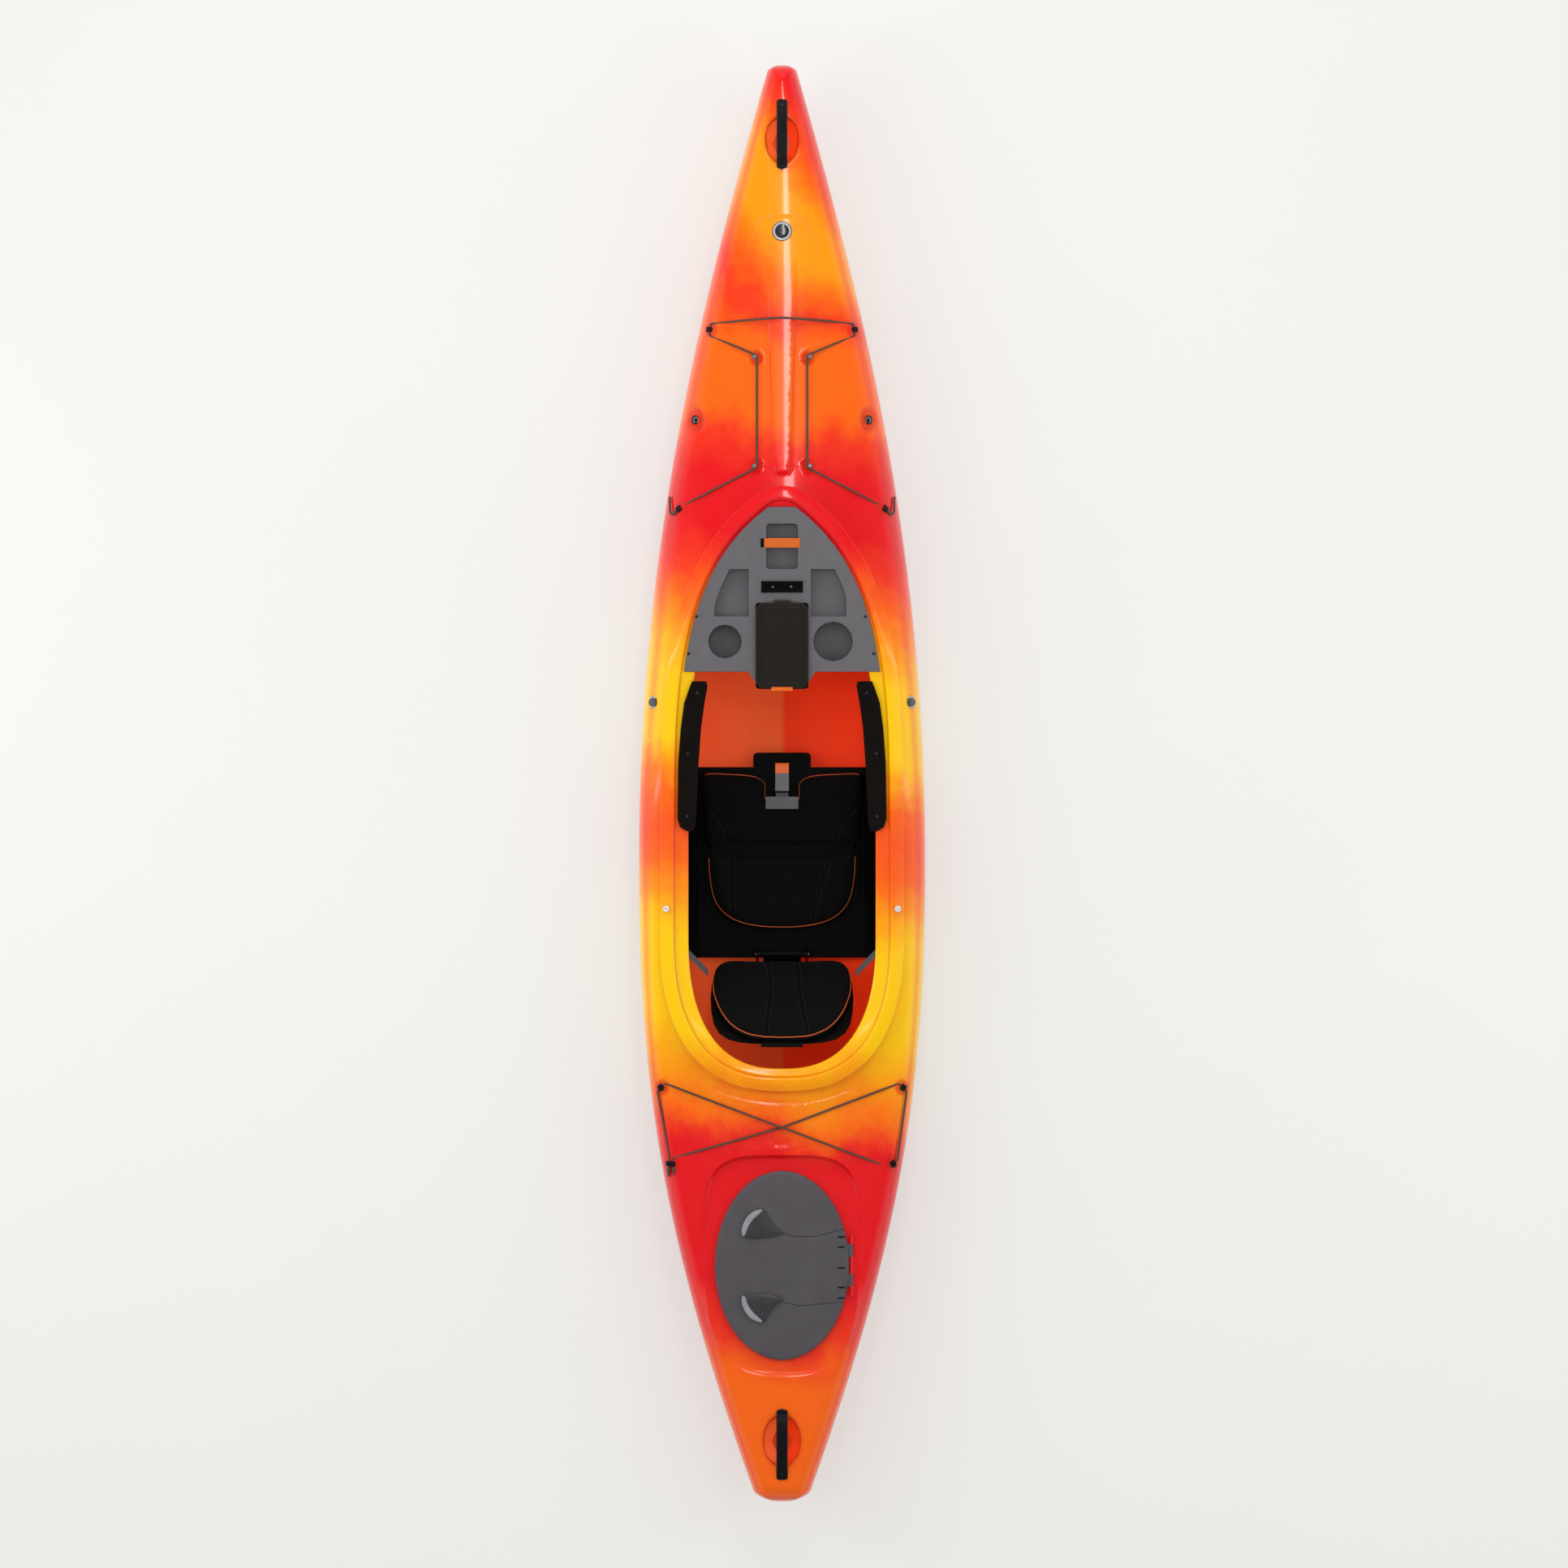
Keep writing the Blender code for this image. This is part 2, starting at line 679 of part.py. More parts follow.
def material(name, colour, roughness=0.5, metallic=0.0, alpha=1.0):
    """One Principled material."""
    made = bpy.data.materials.new(name)
    made.use_nodes = True
    made.diffuse_color = (*colour, 1)
    shader = made.node_tree.nodes["Principled BSDF"]
    shader.inputs["Base Color"].default_value = (*colour, 1)
    shader.inputs["Roughness"].default_value = roughness
    shader.inputs["Metallic"].default_value = metallic
    shader.inputs["Alpha"].default_value = alpha
    return made


def add_object(name, data, finish, frame=None, crease_angle=35):
    """Put a mesh, given in its own frame, into the scene."""
    thing = bpy.data.objects.new(name, data)
    bpy.context.scene.collection.objects.link(thing)
    if frame is not None:
        thing.matrix_world = frame
    data.materials.append(finish)
    data.shade_smooth()
    data.set_sharp_from_angle(angle=math.radians(crease_angle))
    return thing


def mirrored(line):
    """A half line that starts and ends on the centre plane, closed by its mirror image."""
    other = [(-p[0], *p[1:]) for p in reversed(line) if abs(p[0]) > 1e-7]
    return list(line) + other


def lifted(loop, height):
    """A plan loop with its heights."""
    return [(x, y, height(x, y)) for x, y in loop]


def offset_loop(loop, distance):
    """A closed plan loop moved along its outward normals."""
    moved = []
    count = len(loop)
    turning = 0.0
    for i in range(count):
        (x0, y0), (x1, y1) = loop[i], loop[(i + 1) % count]
        turning += x0 * y1 - x1 * y0
    side = math.copysign(1.0, turning)
    for i in range(count):
        before = Vector(loop[i]) - Vector(loop[i - 1])
        after = Vector(loop[(i + 1) % count]) - Vector(loop[i])
        along = (before.normalized() + after.normalized()).normalized()
        moved.append((loop[i][0] + along.y * side * distance, loop[i][1] - along.x * side * distance))
    return moved


def ellipse_loop(half_width, half_length, y, count):
    """A closed plan ellipse about a point on the centre line."""
    turns = [2 * math.pi * k / count for k in range(count)]
    return [(half_width * math.sin(t), y + half_length * math.cos(t)) for t in turns]


def superellipse_loop(half_width, half_length, y, powers, count):
    """A closed plan loop, squarer than an ellipse by a power ahead and one behind its centre."""
    loop = []
    for k in range(count):
        turn = 2 * math.pi * k / count
        across, along = math.sin(turn), math.cos(turn)
        power = 2 / (powers[0] if along > 0 else powers[1])
        x = half_width * math.copysign(abs(across) ** power, across)
        loop.append((x, y + half_length * math.copysign(abs(along) ** power, along)))
    return loop


def rim_loop(half, front, rear):
    """Egg-shaped plan loop of the cockpit, with more points where it turns more."""
    steps = [k / RIM_CURVE_POINTS * math.pi / 2 for k in range(RIM_CURVE_POINTS + 1)]
    dense = []
    for turn in steps:
        along, across = math.cos(turn), math.sin(turn)
        tip = RIM_TIP_ROUNDING * across * along ** RIM_TIP_POWER
        y = RIM_FRONT_CENTRE + (front - RIM_FRONT_CENTRE) * along ** (2 / RIM_FRONT_POWERS[0])
        dense.append((half * across ** (2 / RIM_FRONT_POWERS[1]) + tip, y))
    for turn in steps[1:]:
        y = RIM_REAR_CENTRE + (rear - RIM_REAR_CENTRE) * math.sin(turn) ** (2 / RIM_REAR_POWER)
        dense.append((half * max(math.cos(turn), 0.0) ** (2 / RIM_REAR_POWER), y))
    dense[-1] = (0.0, rear)
    line = np.array(dense)
    legs = np.diff(line, axis=0)
    lengths = np.hypot(legs[:, 0], legs[:, 1])
    headings = np.unwrap(np.arctan2(legs[:, 1], legs[:, 0]))
    turning = np.abs(np.diff(headings, append=headings[-1]))
    weight = np.concatenate(([0.0], np.cumsum(lengths + RIM_TURN_WEIGHT * turning)))
    wanted = np.linspace(0.0, weight[-1], RIM_POINTS + 1)
    xs = np.interp(wanted, weight, line[:, 0])
    ys = np.interp(wanted, weight, line[:, 1])
    return mirrored([(float(x), float(y)) for x, y in zip(xs, ys)])


def hull_stations(inset=0.0, rounded=True):
    """Stations from stern to bow, closer together at the rounded tips."""
    end = LENGTH / 2 - inset
    places = set()
    for k in range(-STATION_POINTS, STATION_POINTS + 1):
        share = k / STATION_POINTS
        eased = STATION_EASE * math.sin(math.pi / 2 * share) + (1 - STATION_EASE) * share
        places.add(round(STATION_REACH * eased * end, 6))
    stems = ((1, BOW_ROUNDING, BOW_STEM_LENGTH), (-1, STERN_ROUNDING, STERN_STEM_LENGTH))
    for sign, rounding, stem in stems:
        for share in STEM_SHARES:
            places.add(round(sign * (end - stem * share), 6))
        for share in (0.9, 0.5, 0.2, 0.03) if rounded else (0.0,):
            places.add(round(sign * (end - rounding * share), 6))
    return sorted(places)


def sheer_loop(inset, height):
    """Closed loop along the sheer line, or inset from it."""
    places = hull_stations(inset)
    right = [(half_beam(y, inset), y) for y in places]
    left = [(-x, y) for x, y in reversed(right)]
    return lifted(right + left, height)


def inner_loop(inset, end_inset, height):
    """Closed loop inside the sheer line, further in at the two ends."""
    places = hull_stations(end_inset, rounded=False)
    right = [(half_beam(y, inset), y) for y in places]
    return lifted(right + [(-x, y) for x, y in reversed(right)], height)


def build_hull(finish):
    """Lower moulding: an open trough with a flat rim along the sheer line."""
    skin = Skin()

    def ring(y, shares, wall):
        half = hull_section(y, shares, wall)
        right = [(x, y, z) for x, z in reversed(half)]
        left = [(-x, y, z) for x, z in half[1:]]
        return right + left

    outer = [ring(y, HULL_SHARES, 0.0) for y in hull_stations()]
    inner = [ring(y, INNER_SHARES, WALL) for y in hull_stations(INNER_END_INSET, rounded=False)]
    skin.bands(outer, closed=False)
    skin.bands(inner, closed=False)
    for end in (outer[0], outer[-1], inner[0], inner[-1]):
        skin.face(end)
    edge = [r[0] for r in outer] + [r[-1] for r in reversed(outer)]
    inside = [r[0] for r in inner] + [r[-1] for r in reversed(inner)]
    skin.fill(edge, [inside])
    return add_object("hull", skin.mesh("hull"), finish)


def spine_lines():
    """Foot and top lines of the spine, open at the front."""
    stations = [SPINE_REAR + (SPINE_FRONT - SPINE_REAR) * t for t in (1.0, 0.8, 0.6, 0.4, 0.2, 0.07)]
    stations += [SPINE_REAR + SPINE_REAR_HALF * t for t in (0.5, 0.15)]
    foot = [(spine_half(y), y) for y in stations]
    top = [(max(x - SPINE_BAND, 0.0), max(y, SPINE_REAR + SPINE_BAND)) for x, y in foot[:-1]]
    lines = []
    for half in (foot, top):
        lines.append(half + [(-x, y) for x, y in reversed(half)])
    return lines


def hood_lines():
    """Foot and top lines of the hood, and the line where it fades out."""
    lines = []
    for inset in (0.0, HOOD_BAND):
        front = HOOD_FRONT - inset
        half = [(hood_half(HOOD_REAR) - inset, HOOD_REAR), (hood_half(front) - inset, front)]
        lines.append(half + [(-x, y) for x, y in reversed(half)])
    lines.append([lines[0][0], (0.0, HOOD_REAR), lines[0][-1]])
    return lines


def well_loops():
    """Edge and floor loops of the two handle wells."""
    loops = []
    for centre, half_width, half_length in (BOW_WELL, STERN_WELL):
        inner = 1 - WELL_DRAFT / half_width
        for reach in (1.0, inner):
            loops.append(ellipse_loop(half_width * reach, half_length * reach, centre, WELL_POINTS))
    return loops


def step_line(middle, reach):
    """Line of the step behind the rim, drawn through its middle and towards its two ends."""
    shares = [reach * k / 6 for k in range(-6, 7)]
    return [(STEP_HALF * u, middle + (STEP_ENDS_Y - middle) * u * u) for u in shares]


def deck_forms():
    """Small forms of the deck, each as its foot loop, its inner line or loop, and its rise."""
    fore, aft = step_line(STEP_FORE_Y, 1.0), step_line(STEP_AFT_Y, 1.0)
    floor = step_line((STEP_FORE_Y + 3 * STEP_AFT_Y) / 4, STEP_FLOOR_REACH)
    forms = [(fore + aft[-2:0:-1], floor, False, -FORM_DEPTH)]
    channel = rectangle(*CHANNEL_HALF, CHANNEL_HALF[1] * 0.8, 3, (0.0, CHANNEL_CENTRE))
    forms.append((channel, offset_loop(channel, -FORM_SLOPE), True, -FORM_DEPTH))
    for side in (-1, 1):
        centre = (side * INSERT_PLACE[0], INSERT_PLACE[1])
        recess = rectangle(*INSERT_RECESS, INSERT_RECESS[0] * 0.7, 2, centre)
        forms.append((recess, offset_loop(recess, -FORM_SLOPE), True, -FORM_DEPTH))
        for (x, y), away in ((FORE_SCREW_AFT, -1), (FORE_SCREW_FORE, 1)):
            forms.append(screw_boss(side, x, y, away))
    return forms


def screw_boss(side, x, y, away):
    """Crescent boss beside a cord screw, on the side that the cord is drawn round."""
    facing = math.atan2(away * BOSS_TURN, -side)
    centre = (side * x - BOSS_OFFSET * math.cos(facing), y - BOSS_OFFSET * math.sin(facing))
    lines = []
    for grow, reach in ((BOSS_WIDTH / 2, 1.0), (-BOSS_WIDTH / 2, 1.0), (0.0, 0.8)):
        line = []
        for k in range(-4, 5):
            u = k / 4 * reach
            turn = facing + BOSS_SPREAD * u
            radius = BOSS_RADIUS + grow * (1 - u * u)
            line.append((centre[0] + radius * math.cos(turn), centre[1] + radius * math.sin(turn)))
        lines.append(line)
    return lines[0] + lines[1][-2:0:-1], lines[2], False, BOSS_RISE


def scatter(outer, holes, lines, step, margin):
    """Points on a grid inside a loop, clear of holes and lines."""
    segments = []
    for line in (outer, *holes, *lines):
        segments += [(line[i][:2], line[i + 1][:2]) for i in range(len(line) - 1)]
        segments.append((line[-1][:2], line[0][:2]))
    starts = np.array([s[0] for s in segments])
    legs = np.array([s[1] for s in segments]) - starts
    lengths = np.maximum((legs ** 2).sum(axis=1), 1e-12)
    points = []
    rows = int(LENGTH / step)
    for row in range(1, rows):
        y = -LENGTH / 2 + row * LENGTH / rows
        half = half_beam(y)
        across = max(1, round(half / step))
        for k in range(-across, across + 1):
            point = np.array((half * k / across, y))
            share = np.clip(((point - starts) * legs).sum(axis=1) / lengths, 0, 1)
            near = np.hypot(*(starts + legs * share[:, None] - point).T).min()
            inside = within(point, outer) and not any(within(point, hole) for hole in holes)
            if near > margin and inside:
                points.append((float(point[0]), float(point[1])))
    return points


def rim_profile(crest, opening):
    """Loops of the cockpit rim, from the outer foot over the crest to the inner foot."""

    def below(drop):
        return lambda x, y: crest_height(y) - drop

    lip_bottom = RIM_LIP_DROP + RIM_LIP_THICK
    ledge = LEDGE_DROP + LEDGE_FALL
    wall_in = RIM_WALL_OUT - WALL
    return [
        lifted(offset_loop(crest, RIM_WALL_OUT), deck_height),
        lifted(offset_loop(crest, RIM_WALL_OUT), below(lip_bottom)),
        lifted(offset_loop(crest, RIM_LIP_OUT), below(lip_bottom)),
        lifted(offset_loop(crest, RIM_LIP_OUT), below(RIM_LIP_DROP)),
        lifted(offset_loop(crest, LEDGE_IN), below(LEDGE_FALL)),
        lifted(crest, below(0.0)),
        lifted(offset_loop(crest, -LEDGE_IN / 2), below(LEDGE_FALL)),
        lifted(offset_loop(crest, -LEDGE_IN), below(LEDGE_DROP)),
        lifted(offset_loop(opening, WALL), below(ledge)),
        lifted(opening, below(ledge + WALL / 2)),
        lifted(opening, below(INNER_LIP_DEPTH)),
        lifted(offset_loop(opening, WALL), below(INNER_LIP_DEPTH)),
        lifted(offset_loop(opening, WALL), below(ledge + WALL)),
        lifted(offset_loop(crest, -LEDGE_IN - WALL), below(LEDGE_DROP + WALL)),
        lifted(crest, below(WALL + LEDGE_FALL)),
        lifted(offset_loop(crest, wall_in), below(lip_bottom)),
        lifted(offset_loop(crest, wall_in), deck_inside),
    ]


def hatch_foot(grow):
    """Outline of the hatch recess in the deck, square ahead and rounder behind."""
    width = HATCH_HALF_WIDTH + HATCH_FOOT_WIDTH + grow
    length = HATCH_HALF_LENGTH + HATCH_FOOT_LENGTH + grow
    return superellipse_loop(width, length, HATCH_Y, HATCH_FOOT_POWERS, HATCH_POINTS)


def hatch_profile():
    """Loops of the hatch recess, from the deck down its moat and over its rim to the inside."""

    def loop(grow_width, grow_length, height):
        width = HATCH_HALF_WIDTH + grow_width
        length = HATCH_HALF_LENGTH + grow_length
        return lifted(ellipse_loop(width, length, HATCH_Y, HATCH_POINTS), height)

    def seat(rise):
        return lambda x, y: hatch_seat(y) + rise

    rim_in = -HATCH_RIM_IN - HATCH_RIM_THICK
    moat_in = HATCH_MOAT + WALL / 2
    under_in = HATCH_FLOOR_IN - WALL / 2
    return [
        lifted(hatch_foot(0.0), deck_height),
        lifted(hatch_foot(-HATCH_FLOOR_IN), seat(0.0)),
        loop(HATCH_MOAT, HATCH_MOAT, seat(0.0)),
        loop(-HATCH_RIM_IN, -HATCH_RIM_IN, seat(0.0)),
        loop(-HATCH_RIM_IN, -HATCH_RIM_IN, seat(HATCH_RIM_HEIGHT)),
        loop(rim_in, rim_in, seat(HATCH_RIM_HEIGHT)),
        loop(rim_in, rim_in, seat(-HATCH_NECK_DEPTH)),
        loop(-HATCH_RIM_IN, -HATCH_RIM_IN, seat(-HATCH_NECK_DEPTH)),
        loop(-HATCH_RIM_IN, -HATCH_RIM_IN, seat(-WALL)),
        loop(moat_in, moat_in, seat(-WALL)),
        lifted(hatch_foot(-under_in), seat(-WALL)),
        lifted(hatch_foot(0.0), deck_inside),
    ]


def build_deck(finish, crest, opening):
    """Upper moulding: crowned deck with the cockpit rim, hatch recess, spine, hood and wells."""
    skin = Skin()
    rim = rim_profile(crest, opening)
    hatch = hatch_profile()
    skin.bands(rim)
    skin.bands(hatch)

    def seam(x, y):
        return sheer_height(y) + GAP

    outer = sheer_loop(0.0, seam)
    inner = inner_loop(WALL, INNER_END_INSET, seam)
    skin.fill(outer, [inner])

    rings = [sheer_loop(EDGE_WIDTH * share, deck_height) for share in EDGE_SHARES]
    rings += [lifted(loop, deck_height) for loop in well_loops()]
    rings.append(lifted(offset_loop(crest, RIM_WALL_OUT + RIM_ROOT_RING), deck_height))
    rings.append(lifted(hatch_foot(HATCH_ROOT_RING), deck_height))
    creases = [lifted(line, deck_height) for line in spine_lines() + hood_lines()]
    feet = []
    for foot, middle, closed, rise in deck_forms():
        feet.append(lifted(foot, deck_height))
        line = [(x, y, deck_height(x, y) + rise) for x, y in middle]
        (rings if closed else creases).append(line)
    rings += feet
    holes = [rim[0], hatch[0]]
    inside = scatter(outer, [*holes, *feet], rings + creases, DECK_GRID, DECK_GRID / 5)
    skin.fill(outer, holes, rings, creases, inside, deck_height)

    ring_inset = EDGE_WIDTH * EDGE_SHARES[1]
    rings = [inner_loop(WALL + ring_inset, INNER_END_INSET + ring_inset, deck_inside)]
    rings += [lifted(loop, deck_inside) for loop in well_loops()]
    holes = [rim[-1], hatch[-1]]
    inside = scatter(inner, holes, rings, DECK_GRID * 1.5, DECK_GRID / 3)
    skin.fill(inner, holes, rings, (), inside, deck_inside)
    return add_object("deck", skin.mesh("deck"), finish)


class Surface:
    """Ray casts on a finished piece."""

    def __init__(self, *things):
        points, faces = [], []
        for thing in things:
            start = len(points)
            points.extend(vert.co.copy() for vert in thing.data.vertices)
            faces.extend([start + i for i in face.vertices] for face in thing.data.polygons)
        self.tree = BVHTree.FromPolygons(points, faces)

    def hit(self, start, direction):
        """First point hit along a direction."""
        return self.tree.ray_cast(Vector(start), Vector(direction))[0]

    def above(self, x, y, start=1.0):
        """Height of the first surface below a starting height."""
        return self.hit((x, y, start), (0, 0, -1)).z

    def below(self, x, y, start):
        """Height of the first surface above a starting height."""
        return self.hit((x, y, start), (0, 0, 1)).z


class Seat:
    """Local frame that stands on a surface, and the surface's height in it."""

    def __init__(self, surface, x, y, heading=0.0):
        self.surface = surface
        step = NORMAL_STEP
        slope_x = (surface.above(x + step, y) - surface.above(x - step, y)) / (2 * step)
        slope_y = (surface.above(x, y + step) - surface.above(x, y - step)) / (2 * step)
        normal = Vector((-slope_x, -slope_y, 1)).normalized()
        forward = Vector((-math.sin(heading), math.cos(heading), 0))
        side = forward.cross(normal).normalized()
        forward = normal.cross(side)
        turn = Matrix((side, forward, normal)).transposed().to_4x4()
        self.frame = Matrix.Translation((x, y, surface.above(x, y))) @ turn
        self.inverse = self.frame.inverted()
        self.normal = normal

    def height(self, u, v):
        """Height of the surface above the frame's plane."""
        start = self.frame @ Vector((u, v, RAY_LIFT))
        return (self.inverse @ self.surface.hit(start, -self.normal)).z

    def crest(self, u, v):
        """Highest of the surface close round a point of the frame's plane."""
        reach = NORMAL_STEP / 2
        spots = ((0, 0), (reach, 0), (-reach, 0), (0, reach), (0, -reach))
        return max(self.height(u + a, v + b) for a, b in spots)

    def standing(self, half_width, half_length):
        """Frame whose plane clears the surface by the gap under a rectangle."""
        shares = [k / 3 for k in range(-3, 4)]
        top = max(self.height(half_width * a, half_length * b) for a in shares for b in shares)
        return self.frame @ Matrix.Translation((0, 0, top + GAP))


def rectangle(half_width, half_length, corner=0.0, steps=3, centre=(0.0, 0.0)):
    """Closed plan rectangle with rounded corners."""
    if not corner:
        corners = ((1, -1), (1, 1), (-1, 1), (-1, -1))
        return [(centre[0] + a * half_width, centre[1] + b * half_length) for a, b in corners]
    loop = []
    for quarter, (a, b) in enumerate(((1, 1), (-1, 1), (-1, -1), (1, -1))):
        for k in range(steps + 1):
            turn = (quarter + k / steps) * math.pi / 2
            x = a * (half_width - corner) + corner * math.cos(turn)
            y = b * (half_length - corner) + corner * math.sin(turn)
            loop.append((centre[0] + x, centre[1] + y))
    return loop


def disc(radius, count, centre=(0.0, 0.0)):
    """Closed plan circle."""
    return [(x + centre[0], y) for x, y in ellipse_loop(radius, radius, centre[1], count)]


def level(value):
    """Height function that is the same everywhere."""
    return lambda x, y: value


def plate_mesh(name, outline, bottom, top, holes=(), pockets=(), inner=(), bevel=0.0):
    """Plate between two heights, with through holes and sunk pockets."""
    skin = Skin()
    crown = offset_loop(outline, -bevel) if bevel else outline
    loops = [lifted(crown, top)]
    if bevel:
        loops.append(lifted(outline, lambda x, y: top(x, y) - bevel))
    loops.append(lifted(outline, bottom))
    skin.bands(loops)
    upper, lower = [], []
    for hole in holes:
        upper.append(lifted(hole, top))
        lower.append(lifted(hole, bottom))
        skin.band(upper[-1], lower[-1])
    for loop, depth, wall, draft in pockets:
        floor = offset_loop(loop, -draft)
        outside = offset_loop(loop, wall)
        under = offset_loop(floor, wall)

        def floor_height(x, y, down=depth):
            return top(x, y) - down

        def under_height(x, y, down=depth + wall):
            return top(x, y) - down

        upper.append(lifted(loop, top))
        lower.append(lifted(outside, bottom))
        skin.band(upper[-1], lifted(floor, floor_height))
        skin.fill(lifted(floor, floor_height))
        skin.band(lower[-1], lifted(under, under_height))
        skin.fill(lifted(under, under_height))
    skin.fill(loops[0], upper, inner=inner, height=top)
    skin.fill(loops[-1], lower, inner=inner, height=bottom)
    return skin.mesh(name)


def plate(name, finish, outline, bottom, top, frame=None, **more):
    """Plate as an object."""
    return add_object(name, plate_mesh(name, outline, bottom, top, **more), finish, frame)


def swept(name, finish, sections, frame=None, crease_angle=35):
    """Solid through sections with as many points each."""
    skin = Skin()
    skin.bands(sections)
    skin.face(sections[0])
    skin.face(sections[-1])
    return add_object(name, skin.mesh(name), finish, frame, crease_angle)


def ring_of(radius, height, segments):
    """Points of a level circle."""
    turns = [2 * math.pi * k / segments for k in range(segments)]
    return [(radius * math.cos(t), radius * math.sin(t), height) for t in turns]


def turned(name, finish, profile, segments, frame=None, crease_angle=35):
    """Solid of revolution about the local Z axis."""
    rings = [ring_of(radius, height, segments) for radius, height in profile]
    return swept(name, finish, rings, frame, crease_angle)


def block(name, finish, low, high, frame=None):
    """Box between two corners."""
    outline = [(low[0], low[1]), (high[0], low[1]), (high[0], high[1]), (low[0], high[1])]
    return plate(name, finish, outline, level(low[2]), level(high[2]), frame)


def rod(name, finish, radius, start, end, segments=12, frame=None):
    """Cylinder between two points."""
    run = Vector(end) - Vector(start)
    turn = run.to_track_quat("Z", "Y").to_matrix().to_4x4()
    place = Matrix.Translation(start) @ turn
    whole = place if frame is None else frame @ place
    return turned(name, finish, [(radius, 0.0), (radius, run.length)], segments, whole)


def fused(name, finish, solids, cuts=(), frame=None, crease_angle=35):
    """One body from overlapping solids, less the cuts, in a frame of its own."""
    base = solids[0]
    steps = [(one, "UNION") for one in solids[1:]] + [(one, "DIFFERENCE") for one in cuts]
    for other, operation in steps:
        cut = base.modifiers.new("join", "BOOLEAN")
        cut.object = other
        cut.operation = operation
        cut.solver = "EXACT"
    bpy.context.view_layer.update()
    data = bpy.data.meshes.new_from_object(base.evaluated_get(bpy.context.evaluated_depsgraph_get()))
    place = frame if frame is not None else Matrix.Identity(4)
    data.transform(place.inverted() @ base.matrix_world)
    for one in (*solids, *cuts):
        bpy.data.objects.remove(one, do_unlink=True)
    tidy = bmesh.new()
    tidy.from_mesh(data)
    bmesh.ops.remove_doubles(tidy, verts=tidy.verts, dist=MERGE)
    bmesh.ops.dissolve_degenerate(tidy, edges=tidy.edges, dist=MERGE)
    bmesh.ops.recalc_face_normals(tidy, faces=tidy.faces)
    tidy.to_mesh(data)
    tidy.free()
    data.materials.clear()
    return add_object(name, data, finish, place, crease_angle)


def half_at(loop, y):
    """Half width at y of a closed plan loop that is symmetrical about the centre line."""
    best = 0.0
    for (x0, y0), (x1, y1) in zip(loop, loop[1:] + loop[:1]):
        if min(y0, y1) <= y <= max(y0, y1) and y0 != y1:
            best = max(best, abs(x0 + (x1 - x0) * (y - y0) / (y1 - y0)))
    return best


def both_sides(half):
    """Closed plan loop from its right half, given from front to rear."""
    return list(half) + [(-x, y) for x, y in reversed(half) if x > MERGE]


# Fittings on the deck


def build_handle(name, finish, surface, centre, length, half_width, well):
    """Carry handle: a bar arched over its well, with a foot at each end."""
    ends = (centre - length / 2, centre + length / 2)
    feet = (well[0] - well[2] - HANDLE_FOOT_CLEAR, well[0] + well[2] + HANDLE_FOOT_CLEAR)
    lines = []
    for end, foot in zip(ends, feet):
        marks = [end + (foot - end) * k / 4 for k in range(5)]
        tops = [max(surface.above(half_width * a, y) for a in (-1, -0.5, 0, 0.5, 1)) for y in marks]
        slope = (tops[-1] - tops[0]) / (foot - end)
        lift = max(top - tops[0] - slope * (y - end) for y, top in zip(marks, tops))
        lines.append((end, tops[0] + lift + GAP, slope))

    def resting(k, y):
        end, height, slope = lines[k]
        return height + slope * (y - end)

    stations = [(y, resting(0, y)) for y in (ends[0], ends[0] + HANDLE_ROUND, feet[0])]
    for share in HANDLE_ARCH_SHARES:
        y = feet[0] + (feet[1] - feet[0]) * share
        flat = resting(0, feet[0]) * (1 - share) + resting(1, feet[1]) * share
        stations.append((y, flat + HANDLE_ARCH * math.sin(math.pi * share) ** 0.7))
    stations += [(y, resting(1, y)) for y in (feet[1], ends[1] - HANDLE_ROUND, ends[1])]
    sections = []
    for y, bottom in stations:
        edge = HANDLE_END_SHARE if y in ends else 1.0
        wide, tall = half_width * edge, HANDLE_THICK * edge
        corner = tall * 0.35
        outline = [
            (-wide + corner, 0), (wide - corner, 0), (wide, corner), (wide, tall - corner),
            (wide - corner, tall), (-wide + corner, tall), (-wide, tall - corner), (-wide, corner),
        ]
        sections.append([(x, y, bottom + z) for x, z in outline])
    return swept(name, finish, sections)


